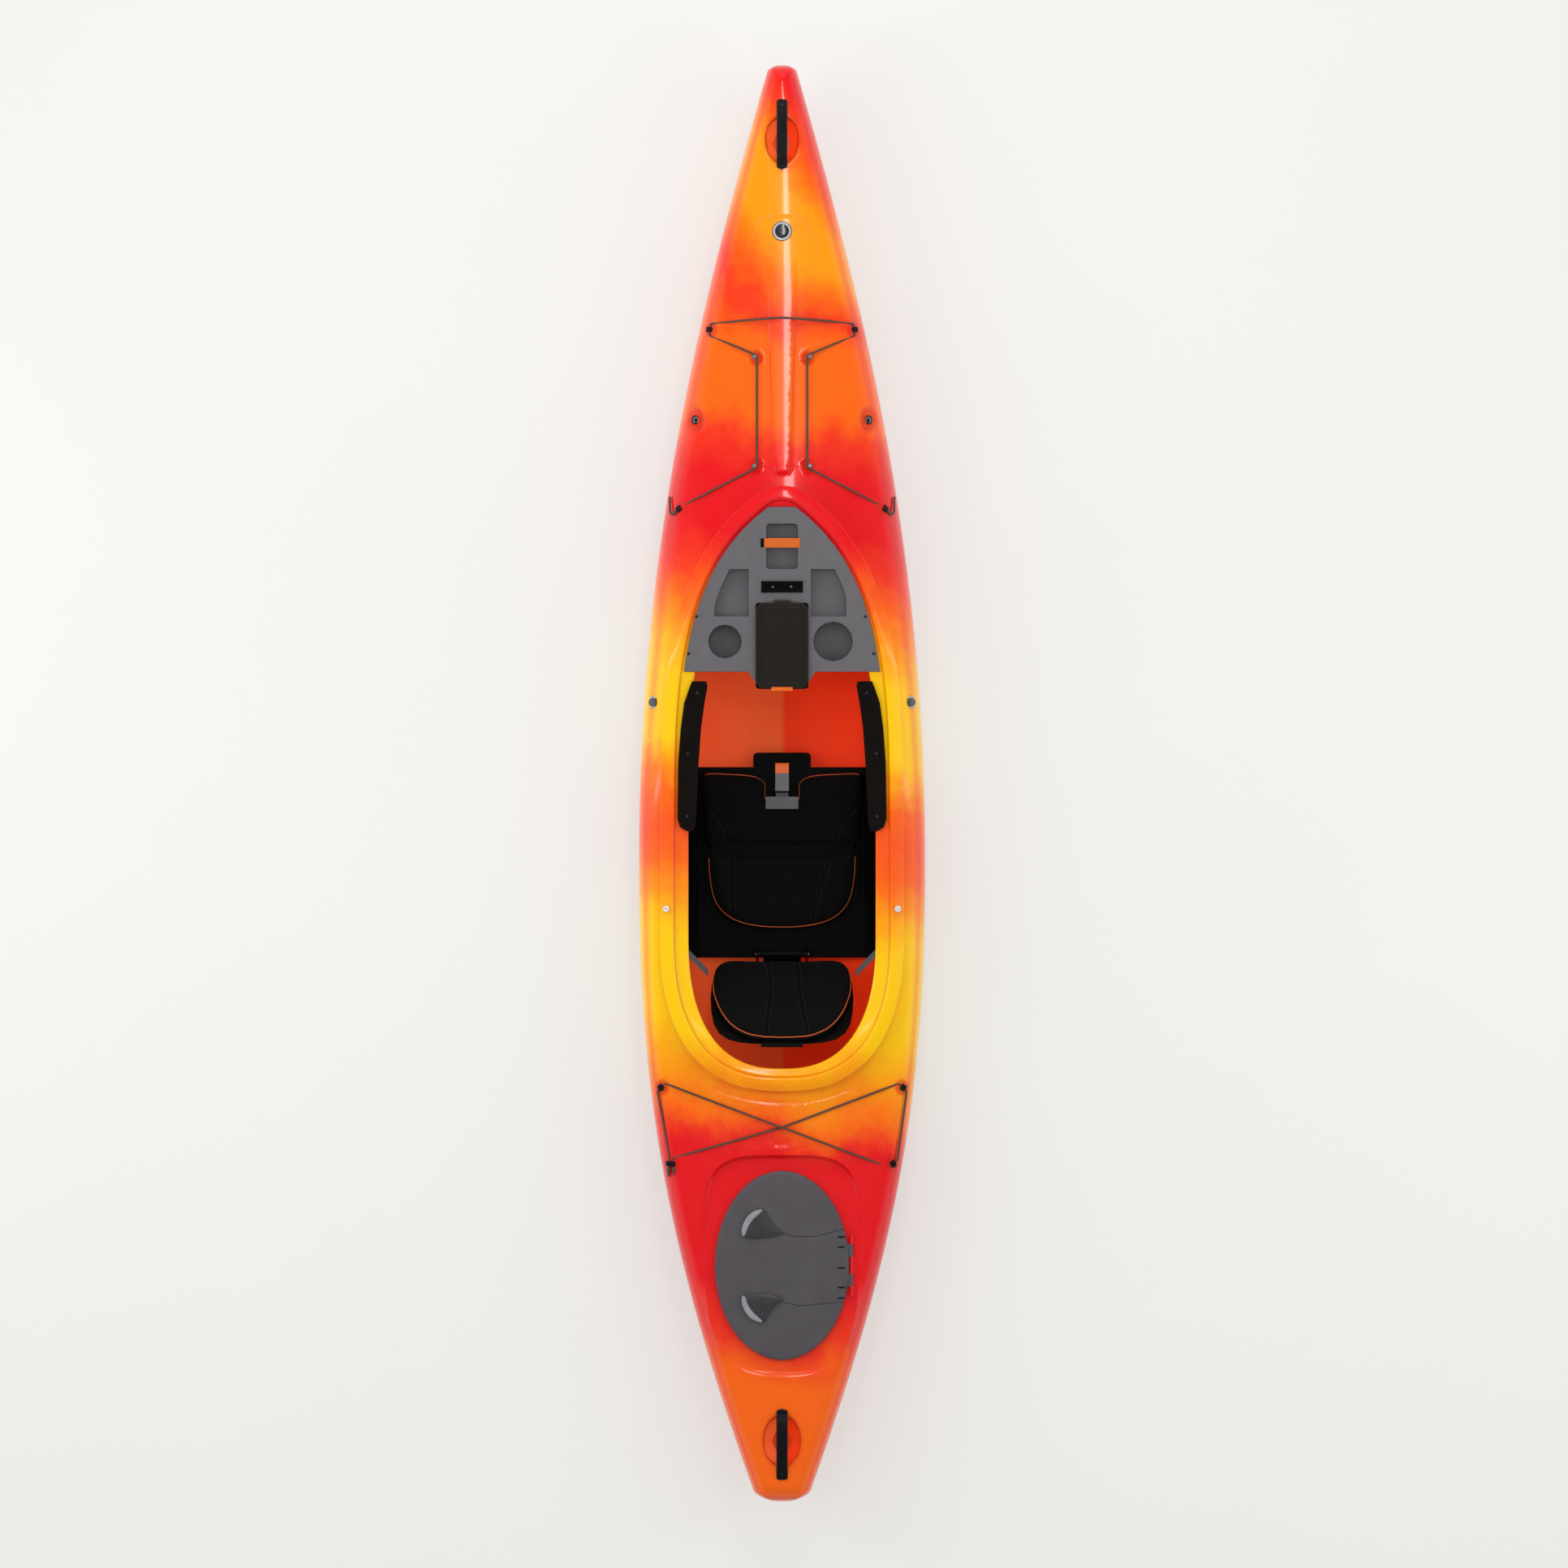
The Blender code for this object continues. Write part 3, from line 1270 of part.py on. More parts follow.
class Eye:
    """Pad eye that stands on a surface, with its opening along a heading."""

    def __init__(self, name, finish, surface, place, heading, opening_half=EYE_HALF):
        seat = Seat(surface, *place, heading)
        frame = seat.standing(opening_half + EYE_FOOT, EYE_HALF_DEPTH)
        self.centre = frame @ Vector((0, 0, EYE_FLOOR + CORD_RADIUS + CORD_CLEAR))
        self.side = frame.col[0].to_3d()
        self.forward = frame.col[1].to_3d()
        leg = opening_half + EYE_LEG
        foot = opening_half + EYE_FOOT
        top = EYE_FLOOR + EYE_OPENING + EYE_LEG
        half = [
            (foot, 0), (foot, EYE_FLOOR * 0.7), (leg + MM, EYE_FLOOR * 1.2), (leg, EYE_FLOOR * 1.7),
            (leg, top - EYE_LEG), (leg - EYE_LEG * 0.6, top),
        ]
        outline = half + [(-x, z) for x, z in reversed(half)]
        shoulder = EYE_FLOOR + EYE_OPENING * 0.65
        crown = EYE_FLOOR + EYE_OPENING
        inside = [(opening_half, EYE_FLOOR), (opening_half, shoulder), (opening_half * 0.7, crown)]
        hole = inside + [(-x, z) for x, z in reversed(inside)]
        turned_up = frame @ Matrix.Rotation(math.pi / 2, 4, "X")
        plate(name, finish, outline, level(-EYE_HALF_DEPTH), level(EYE_HALF_DEPTH), turned_up, holes=[hole])

    def route(self, distances, aside=0.0):
        """Points of a cord at distances along the opening."""
        places = [self.centre + self.forward * d + self.side * aside for d in distances]
        return [(p.x, p.y) for p in places]

    def height(self, x, y):
        """Height of a cord in the opening, or None outside it."""
        away = Vector((x - self.centre.x, y - self.centre.y))
        along, aside = self.forward.to_2d(), self.side.to_2d()
        d = away.dot(along) / along.length_squared
        a = away.dot(aside) / aside.length_squared
        if abs(d) > EYE_PASS or abs(a) > EYE_OPENING:
            return None
        return self.centre.z + d * self.forward.z + a * self.side.z


def rounded_route(points, radius):
    """Plan polyline with its corners rounded."""
    route = [points[0]]
    for before, corner, after in zip(points, points[1:], points[2:]):
        into = (Vector(corner) - Vector(before))
        out = (Vector(after) - Vector(corner))
        turn = into.angle(out) if into.length and out.length else 0.0
        reach = min(radius * math.tan(turn / 2), into.length * 0.45, out.length * 0.45)
        if turn < 0.1:
            route.append(corner)
            continue
        start = Vector(corner) - into.normalized() * reach
        end = Vector(corner) + out.normalized() * reach
        for k in range(4):
            t = k / 3
            place = start * (1 - t) ** 2 + Vector(corner) * 2 * t * (1 - t) + end * t * t
            route.append((place.x, place.y))
    route.append(points[-1])
    return route


def spaced(route, step):
    """A polyline with long legs split."""
    line = [route[0]]
    for start, end in zip(route, route[1:]):
        count = max(1, math.ceil((Vector(end) - Vector(start)).length / step))
        for k in range(1, count + 1):
            place = Vector(start).lerp(Vector(end), k / count)
            line.append((place.x, place.y))
    return line


def bend_about(centre, before, after, radius):
    """Corner of a route that is drawn round a post."""
    into = (Vector(centre) - Vector(before)).normalized()
    out = (Vector(after) - Vector(centre)).normalized()
    side = math.copysign(1.0, into.cross(out))
    first = Vector((into.y, -into.x)) * side
    second = Vector((out.y, -out.x)) * side
    corner = Vector(centre) + (first + second) * radius / (1 + first.dot(second))
    return corner.x, corner.y


def build_bungee(name, finish, surface, route, eyes, knots, over=None):
    """Elastic cord drawn tight over the deck, with swollen knots at its ends."""
    line = spaced(rounded_route(route, CORD_BEND), CORD_STEP)
    radii = [CORD_RADIUS] * len(line)
    for knot in knots:
        for i, place in enumerate(line):
            away = (Vector(place) - Vector(knot)).length / KNOT_REACH
            if away < 1:
                swell = (KNOT_RADIUS - CORD_RADIUS) * math.sqrt(1 - away * away)
                radii[i] = max(radii[i], CORD_RADIUS + swell)

    def resting(x, y, radius):
        spots = [surface.above(x + a * radius, y + b * radius) for a in (-1, 0, 1) for b in (-1, 0, 1)]
        return max(spots) + radius + CORD_CLEAR

    heights, pinned = [], []
    for (x, y), radius in zip(line, radii):
        inside = [eye.height(x, y) for eye in eyes if eye.height(x, y) is not None]
        heights.append(inside[0] if inside else resting(x, y, radius))
        pinned.append(bool(inside))
    if over:
        near = [i for i, place in enumerate(line) if (Vector(place) - Vector(over)).length < OVER_REACH]
        lower = [i for i in near if i < len(line) / 2]
        for i in near:
            if i not in lower:
                over = max(heights[k] for k in lower) + 2 * (CORD_RADIUS + CORD_CLEAR)
                heights[i] = max(heights[i], over)
    for _ in range(CORD_SETTLE_COUNT):
        for i in range(1, len(line) - 1):
            legs = [(Vector(line[i]) - Vector(line[i + k])).length for k in (-1, 1)]
            straight = (heights[i - 1] * legs[1] + heights[i + 1] * legs[0]) / max(sum(legs), MERGE)
            if not pinned[i]:
                heights[i] = max(heights[i], straight)
        for i in range(len(line) - 1):
            short = 0.0
            for k in range(1, 6):
                x, y = Vector(line[i]).lerp(Vector(line[i + 1]), k / 6)
                chord = heights[i] + (heights[i + 1] - heights[i]) * k / 6
                short = max(short, resting(x, y, CORD_RADIUS) - chord)
            for k in (i, i + 1):
                if not pinned[k]:
                    heights[k] += short
    data = bpy.data.curves.new(name, "CURVE")
    data.dimensions = "3D"
    data.bevel_depth = CORD_RADIUS
    data.bevel_resolution = 2
    data.use_fill_caps = True
    spline = data.splines.new("POLY")
    spline.points.add(len(line) - 1)
    for point, (x, y), z, radius in zip(spline.points, line, heights, radii):
        point.co = (x, y, z, 1)
        point.radius = radius / CORD_RADIUS
    thing = bpy.data.objects.new(name, data)
    bpy.context.scene.collection.objects.link(thing)
    data.materials.append(finish)
    return thing


def heading_between(before, place, after):
    """Heading of the smooth way through a corner, 0 along +Y."""
    into = (Vector(place) - Vector(before)).normalized()
    out = (Vector(after) - Vector(place)).normalized()
    along = into + out
    return math.atan2(-along.x, along.y)


def ahead(place, heading, distance, aside=0.0):
    """Point at a distance along a heading, and to its right."""
    return (
        place[0] - math.sin(heading) * distance + math.cos(heading) * aside,
        place[1] + math.cos(heading) * distance + math.sin(heading) * aside,
    )


def build_fore_bungee(finishes, surface):
    """Fore bungee with its four eyes and four cord screws."""
    post = SCREW_NECK + CORD_RADIUS + 2 * CORD_CLEAR
    profile = [
        (SCREW_NECK, 0), (SCREW_NECK, SCREW_STAND), (SCREW_HEAD, SCREW_STAND + 0.6 * MM),
        (SCREW_HEAD * 0.9, SCREW_STAND + 2.4 * MM), (SCREW_HEAD * 0.5, SCREW_STAND + 3.2 * MM),
    ]
    arch = [(-FORE_ARCH[0], FORE_ARCH[1]), (0.0, FORE_ARCH[2]), FORE_ARCH[:2]]
    eyes, halves, knots = [], {}, []
    for side, label in ((-1, "left"), (1, "right")):
        aft_eye = (side * FORE_EYE_AFT[0], FORE_EYE_AFT[1])
        fore_eye = (side * FORE_EYE_FORE[0], FORE_EYE_FORE[1])
        aft_screw = (side * FORE_SCREW_AFT[0], FORE_SCREW_AFT[1])
        fore_screw = (side * FORE_SCREW_FORE[0], FORE_SCREW_FORE[1])
        for row, place in (("aft", aft_screw), ("fore", fore_screw)):
            frame = Seat(surface, *place).standing(SCREW_NECK, SCREW_NECK)
            turned(f"cord_screw_{row}_{label}", finishes["steel"], profile, 10, frame)
        aft_bend = bend_about(aft_screw, aft_eye, fore_screw, post)
        fore_bend = bend_about(fore_screw, aft_screw, fore_eye, post)
        away = heading_between(aft_bend, aft_eye, aft_eye)
        turn = heading_between(fore_bend, fore_eye, arch[0 if side < 0 else 2])
        one = Eye(f"pad_eye_fore_deck_aft_{label}", finishes["fitting"], surface, aft_eye, away)
        two = Eye(f"pad_eye_fore_deck_fore_{label}", finishes["fitting"], surface, fore_eye, turn)
        eyes += [one, two]
        past, knot = one.route((KNOT_AWAY + KNOT_REACH + 2 * MM, KNOT_AWAY))
        mid = ahead(past, away + side * TAIL_TURN, KNOT_REACH)
        tail = (mid[0] + side * MM, FORE_TAIL_Y)
        half = [tail, mid, past, knot] + one.route((EYE_IN, -EYE_IN, -EYE_REACH))
        halves[side] = half + [aft_bend, fore_bend] + two.route((-EYE_REACH, -EYE_IN, EYE_IN, EYE_REACH))
        knots.append(knot)
    route = halves[-1] + arch + halves[1][::-1]
    return build_bungee("fore_bungee", finishes["cord"], surface, route, eyes, knots)


def build_rear_bungee(finishes, surface):
    """Rear bungee, laced as a bow tie through four eyes, both ends knotted at one."""
    fore = {side: (side * REAR_EYE_FORE[0], REAR_EYE_FORE[1]) for side in (-1, 1)}
    aft = {side: (side * REAR_EYE_AFT[0], REAR_EYE_AFT[1]) for side in (-1, 1)}
    corners = [
        ("rear_deck_fore_right", aft[-1], fore[1], aft[1]),
        ("rear_deck_aft_right", fore[1], aft[1], fore[-1]),
        ("rear_deck_fore_left", aft[1], fore[-1], aft[-1]),
    ]
    share = REAR_EYE_AFT[0] / (REAR_EYE_AFT[0] + REAR_EYE_FORE[0])
    crossing = (0.0, REAR_EYE_AFT[1] + (REAR_EYE_FORE[1] - REAR_EYE_AFT[1]) * share)
    eyes, legs = [], []
    for label, before, place, after in corners:
        turn = heading_between(before, place, after)
        eye = Eye(f"pad_eye_{label}", finishes["fitting"], surface, place, turn)
        eyes.append(eye)
        legs.append(eye.route((-EYE_REACH, -EYE_IN, EYE_IN, EYE_REACH)))
    along = (Vector(fore[-1]) - Vector(aft[1])).normalized() * OVER_REACH * 0.9
    middle = [crossing, (crossing[0] - along.x, crossing[1] - along.y), crossing,
              (crossing[0] + along.x, crossing[1] + along.y)]
    route = middle[:1] + legs[0] + legs[1] + middle[1:] + legs[2]
    away = math.pi
    double = Eye("pad_eye_rear_deck_aft_left", finishes["fitting"], surface, aft[-1], away, EYE_DOUBLE_HALF)
    eyes.append(double)
    ends, knots = [], []
    for aside in (-1, 1):
        past, knot = double.route((KNOT_AWAY + KNOT_REACH, KNOT_AWAY), aside * KNOT_ASIDE)
        end = (past[0], past[1] - REAR_TAIL)
        ends.append([end, past, knot] + double.route((EYE_IN, -EYE_IN, -EYE_REACH), aside * EYE_LANE))
        knots.append(knot)
    distances = [(Vector(end[-1]) - Vector(fore[1])).length for end in ends]
    first, last = (0, 1) if distances[0] < distances[1] else (1, 0)
    route = ends[first] + route + ends[last][::-1]
    return build_bungee("rear_bungee", finishes["cord"], surface, route, eyes, knots, crossing)


def build_trim(finishes, surface):
    """Badges, accessory inserts and the two seat screws."""
    for name, x, y, radius in (
        ("bow_badge", 0.0, BOW_BADGE_Y, BOW_BADGE_RADIUS),
        ("side_badge_left", -SIDE_BADGE[0], SIDE_BADGE[1], SIDE_BADGE[2]),
        ("side_badge_right", SIDE_BADGE[0], SIDE_BADGE[1], SIDE_BADGE[2]),
    ):
        seat = Seat(surface, x, y)
        plate(
            name, finishes["badge"], disc(radius, 20), lambda u, v: seat.crest(u, v) + BADGE_LIFT,
            lambda u, v: seat.crest(u, v) + BADGE_LIFT + BADGE_THICK, seat.frame, bevel=0.5 * MM,
            inner=[(0.0, 0.0)] + disc(radius * 0.4, 6) + disc(radius * 0.75, 10),
        )
    for side, label in ((-1, "left"), (1, "right")):
        seat = Seat(surface, side * INSERT_PLACE[0], INSERT_PLACE[1])
        outline = rectangle(INSERT_HALF[0], INSERT_HALF[1], INSERT_HALF[0] * 0.95, 4)
        frame = seat.standing(*INSERT_HALF)
        name = f"accessory_insert_{label}"
        plate(name, finishes["fitting"], outline, level(0.0), level(INSERT_THICK), frame, bevel=MM)
        seat = Seat(surface, side * SEAT_SCREW[0], SEAT_SCREW[1])
        profile = [
            (SCREW_HEAD * 0.9, 0), (SCREW_HEAD, MM), (SCREW_HEAD * 0.8, 2.6 * MM), (2 * MM, 3.2 * MM),
        ]
        turned(f"seat_screw_{label}", finishes["steel"], profile, 12, seat.standing(5 * MM, 5 * MM))


# Cockpit fittings


def build_brace(name, finish, side, surface, opening):
    """Thigh brace: a plate on the rim's ledge with a pad down inside the opening."""
    sections = []
    for y, inner, outer in BRACE_STATIONS:
        wall = half_at(opening, y)
        top = crest_height(y) - LEDGE_DROP + BRACE_THICK
        inner = min(inner, wall - 8 * MM)
        ledge = surface.above(outer, y) + GAP
        lip = surface.above(wall + WALL, y) + GAP
        foot = crest_height(y) - BRACE_DEPTH
        depth = foot if abs(y - BRACE_MIDDLE) < BRACE_PAD_HALF else crest_height(y) - INNER_LIP_DEPTH * 0.7
        face = wall - 2 * GAP
        loop = [
            (outer, max(ledge, lip)), (outer, top - 2 * MM), (outer - 2 * MM, top), (inner + 6 * MM, top),
            (inner, top - 6 * MM), (inner + 3 * MM, depth + 4 * MM), (inner + 8 * MM, depth),
            (face, depth), (face, lip),
        ]
        sections.append([(side * x, y, z) for x, z in loop])
    return swept(name, finish, sections)


def dash_top(x, y):
    """Height of the dashboard's top face."""
    return crest_height(max(y, SLOPE_FULL)) - LEDGE_DROP + GAP + DASH_THICK


def dash_bottom(x, y):
    """Height of the dashboard's underside."""
    return dash_top(x, y) - DASH_THICK


def tray_loop(low, high, front, rear, opening, side):
    """Tray outline that keeps inside the cockpit opening."""
    outer = []
    for k in range(6):
        y = rear + (front - rear) * k / 5
        outer.append((min(high, half_at(opening, y) - TRAY_MARGIN), y))
    loop = [(low, rear)] + outer + [(low, front)]
    return [(side * x, y) for x, y in loop]


def dash_outline(crest):
    """Dashboard outline: along the rim in front, notched for the box behind."""
    line = offset_loop(crest, -DASH_INSET)
    front = [(x, min(y, DASH_FRONT)) for x, y in line if x >= 0 and y > DASH_REAR + 12 * MM]
    front.sort(key=lambda p: -p[1])
    half = front + [
        (half_at(line, DASH_REAR), DASH_REAR), (DASH_HORN_HALF, DASH_REAR),
        (NOTCH_HALF + 4 * MM, DASH_HORN_REAR), (NOTCH_HALF, DASH_HORN_REAR), (NOTCH_HALF, NOTCH_FRONT),
    ]
    if half[0][0] > MERGE:
        half.insert(0, (0.0, DASH_FRONT))
    return both_sides(half)


def build_dashboard(finishes, crest, opening):
    """Dashboard with pocket, trays, cup holders, strap and accessory rail."""
    pockets = [
        (disc(CUP_LEFT[2], 16, (-CUP_LEFT[0], CUP_LEFT[1])), CUP_DEPTH, DASH_WALL, 5 * MM),
        (disc(CUP_RIGHT[2], 16, CUP_RIGHT[:2]), CUP_DEPTH, DASH_WALL, 5 * MM),
        (tray_loop(*TRAY_LEFT, TRAY_FRONT, TRAY_REAR, opening, -1), TRAY_DEPTH, DASH_WALL, 3 * MM),
        (tray_loop(*TRAY_RIGHT, TRAY_FRONT, TRAY_REAR, opening, 1), TRAY_DEPTH, DASH_WALL, 3 * MM),
        (rectangle(*POCKET_HALF, 8 * MM, 2, (0.0, POCKET_Y)), POCKET_DEPTH, DASH_WALL, 3 * MM),
    ]
    outline = dash_outline(crest)
    plate("dashboard", finishes["grey"], outline, dash_bottom, dash_top, pockets=pockets, bevel=1.5 * MM)

    def over(rise):
        return lambda x, y: dash_top(x, y) + rise

    strap = rectangle(STRAP_HALF[0], STRAP_HALF[1], centre=(0.0, STRAP_Y))
    plate("pocket_strap", finishes["orange"], strap, over(GAP), over(GAP + STRAP_THICK))
    sections = []
    for x in (-RAIL_HALF, RAIL_HALF):
        base = RAIL_Y
        track = [(base + v * MM, w * MM) for v, w in RAIL_PROFILE]
        sections.append([(x, y, dash_top(0, y) + GAP + rise) for y, rise in track])
    swept("accessory_rail", finishes["black"], sections)


def build_dry_box(finishes):
    """Dry box: tub in the dashboard's notch, lid on a pin, and a latch."""
    tilt = Matrix.Rotation(math.atan(CREST_SLOPE), 4, "X")
    frame = Matrix.Translation((0, BOX_Y, dash_top(0, BOX_Y))) @ tilt
    flange = rectangle(BOX_FLANGE[0], BOX_FLANGE[1], 8 * MM, 2)
    tub = rectangle(BOX_HALF[0], BOX_HALF[1], 12 * MM, 2, (0.0, BOX_SHIFT))
    skin = Skin()
    inside = offset_loop(tub, -BOX_WALL)
    top = GAP + BOX_FLANGE_THICK
    loops = [
        lifted(offset_loop(inside, -3 * MM), level(BOX_WALL - BOX_DEPTH)), lifted(inside, level(top)),
        lifted(tub, level(GAP)), lifted(offset_loop(tub, -3 * MM), level(-BOX_DEPTH)),
    ]
    skin.fill(loops[0])
    skin.band(loops[0], loops[1])
    skin.fill(lifted(flange, level(top)), [loops[1]])
    skin.band(lifted(flange, level(top)), lifted(flange, level(GAP)))
    skin.fill(lifted(flange, level(GAP)), [loops[2]])
    skin.band(loops[2], loops[3])
    skin.fill(loops[3])
    add_object("dry_box", skin.mesh("dry_box"), finishes["black"], frame)

    low, high = top + GAP, top + GAP + BOX_LID_THICK
    axis_y, axis_z = BOX_FLANGE[1] + BOX_PIN_OUT, top + BOX_PIN_UP
    hinge = frame @ Matrix.Translation((0, axis_y, axis_z))
    lid_loop = rectangle(BOX_FLANGE[0], BOX_FLANGE[1], 14 * MM, 1)

    def across(half):
        return (-half, axis_y, axis_z), (half, axis_y, axis_z)

    black, reach = finishes["black"], BOX_BARREL_HALF
    lid = plate("lid_plate", black, lid_loop, level(low), level(high), frame, bevel=2.5 * MM)
    barrel = rod("lid_barrel", black, BARREL, *across(reach), 12, frame)
    corners = (-reach, BOX_FLANGE[1] - 6 * MM, low), (reach, axis_y, axis_z + BARREL * 0.9)
    web = block("lid_web", black, *corners, frame)
    bore = rod("bore", black, PIN + GAP, *across(2 * reach), 12, frame)
    fused("dry_box_lid", finishes["lid"], [lid, barrel, web], [bore], hinge)
    rod("dry_box_hinge_pin", finishes["steel"], PIN, *across(reach - MM), 10, frame)

    edge = -BOX_FLANGE[1] - GAP
    hinge = frame @ Matrix.Translation((0, edge + LATCH_PIVOT, high + LATCH_PLATE * 0.5 + GAP))
    sections = []
    for x in (-BOX_LATCH_HALF, BOX_LATCH_HALF):
        sections.append([(x, v * MM - LATCH_PIVOT, w * MM) for v, w in BOX_LATCH_PROFILE])
    swept("dry_box_latch", finishes["orange"], sections, hinge)


def pan_line():
    """Half section of the seat pan's top face, from the middle out."""
    return [(x * MM, z * MM) for x, z in PAN_LINE]


def build_seat(finishes, floor, deck):
    """Seat pan with its wings, ribs and hinge lugs, and the two hangers."""
    line = pan_line()
    under = [(x, z) for x, z in line]
    outside = []
    for i, (x, z) in enumerate(under):
        before = Vector(under[max(i - 1, 0)])
        after = Vector(under[min(i + 1, len(under) - 1)])
        along = (after - before).normalized()
        outside.append((x + along.y * SEAT_WALL, z - along.x * SEAT_WALL))
    outside[0] = (0.0, line[0][1] - SEAT_WALL)
    outside[-1] = (line[-1][0] + SEAT_WALL, line[-1][1])
    sections = []
    for y in SEAT_STATIONS:
        rib_in, rib_out = SEAT_RIB - SEAT_RIB_HALF, SEAT_RIB + SEAT_RIB_HALF
        spots = [(x, y + a) for x in (rib_in, rib_out) for a in (-SEAT_WALL, 0, SEAT_WALL)]
        ground = max(floor.above(*spot, 0.1) for spot in spots)
        rib = [(rib_out, line[0][1] - SEAT_WALL), (rib_out, ground + GAP), (rib_in, ground + GAP),
               (rib_in, line[0][1] - SEAT_WALL)]
        half = line + outside[:0:-1] + rib + [(0.0, line[0][1] - SEAT_WALL)]
        left = [(-x, z) for x, z in reversed(half[1:-1])]
        drop = SEAT_FRONT_DROP if y == SEAT_STATIONS[-1] else 0.0
        sections.append([(x, y, z - (drop if z > 0.2 else 0.0)) for x, z in half + left])
    pan = swept("pan", finishes["black"], sections)
    tongue_y = SEAT_STATIONS[-1] + SEAT_TONGUE[1] / 2 - 6 * MM
    outline = rectangle(SEAT_TONGUE[0], SEAT_TONGUE[1] / 2, 10 * MM, 2, (0.0, tongue_y))
    level_top = line[0][1]
    tongue = plate("tongue", finishes["black"], outline, level(level_top - SEAT_WALL), level(level_top))
    solids = [pan, tongue]
    cuts = []
    for side in (-1, 1):
        loop = [(v * MM, w * MM) for v, w in LUG_PROFILE]
        turn = Matrix(((0, 0, 1, 0), (1, 0, 0, 0), (0, 1, 0, 0), (0, 0, 0, 1)))
        place = Matrix.Translation((side * LUG_X, *BACK_AXIS)) @ turn
        lug = plate("lug", finishes["black"], loop, level(-LUG_HALF), level(LUG_HALF), place)
        solids.append(lug)
    ends = (-BORE_REACH, *BACK_AXIS), (BORE_REACH, *BACK_AXIS)
    cuts.append(rod("bore", finishes["black"], BACK_PIN + GAP, *ends, 14))
    fused("seat_base", finishes["black"], solids, cuts)
    for side, label in ((-1, "left"), (1, "right")):
        inner = line[-1][0] + SEAT_WALL + GAP
        stations = (HANGER_Y - HANGER_HALF, HANGER_Y + HANGER_HALF)
        spots = [(side * (inner + HANGER_FLANGE * k / 4), y) for k in range(5) for y in stations]
        ceiling = min(deck.below(*spot, HANGER_START) for spot in spots)
        high = ceiling - GAP
        thick, far = HANGER_THICK, inner + HANGER_FLANGE
        loop = [
            (inner, HANGER_LOW), (inner + thick, HANGER_LOW), (inner + thick, high - 2 * thick),
            (inner + 2 * thick, high - thick), (far, high - thick), (far, high), (inner, high),
        ]
        sections = [[(side * x, y, z) for x, z in loop] for y in stations]
        swept(f"seat_hanger_{label}", finishes["black"], sections)


def cushion(name, finish, outline, bottom, top, bulge, inner=(), frame=None):
    """Soft pad with a flat underside, rounded edges and a shaped top."""

    def between(share):
        return lambda x, y: bottom(x, y) + (top(x, y) - bottom(x, y)) * share

    loops = [
        lifted(offset_loop(outline, -bulge * 1.7), top),
        lifted(offset_loop(outline, -bulge * 0.6), between(0.86)),
        lifted(outline, between(0.52)),
        lifted(offset_loop(outline, -bulge * 0.35), between(0.14)),
        lifted(offset_loop(outline, -bulge * 0.9), bottom),
    ]
    skin = Skin()
    skin.bands(loops)
    skin.fill(loops[0], inner=inner, height=top)
    skin.fill(loops[-1])
    return add_object(name, skin.mesh(name), finish, frame, 60)


def pad_points(outline, step, margin):
    """Grid points well inside an outline."""
    inside = offset_loop(outline, -margin)
    xs = [p[0] for p in outline]
    ys = [p[1] for p in outline]
    points = []
    across = round((max(xs) - min(xs)) / step)
    along = round((max(ys) - min(ys)) / step)
    for i in range(1, across):
        for j in range(1, along):
            x = min(xs) + (max(xs) - min(xs)) * i / across
            y = min(ys) + (max(ys) - min(ys)) * j / along
            if within((x, y), inside):
                points.append((x, y))
    return points


def seat_top(x, y):
    """Height of the seat cushion's top: dished, higher at the front."""
    dish = CUSHION_DISH * (abs(x) / CUSHION_HALF) ** 2
    rise = CUSHION_FRONT_RISE * max(0.0, (y - SEAM_Y) / (CUSHION_FRONT - SEAM_Y))
    seam = CHANNEL_DEPTH * math.exp(-((abs(x) - CHANNEL_X) / CHANNEL_WIDE) ** 2)
    return CUSHION_TOP + dish + rise - (seam if y > CHANNEL_REAR else 0.0)


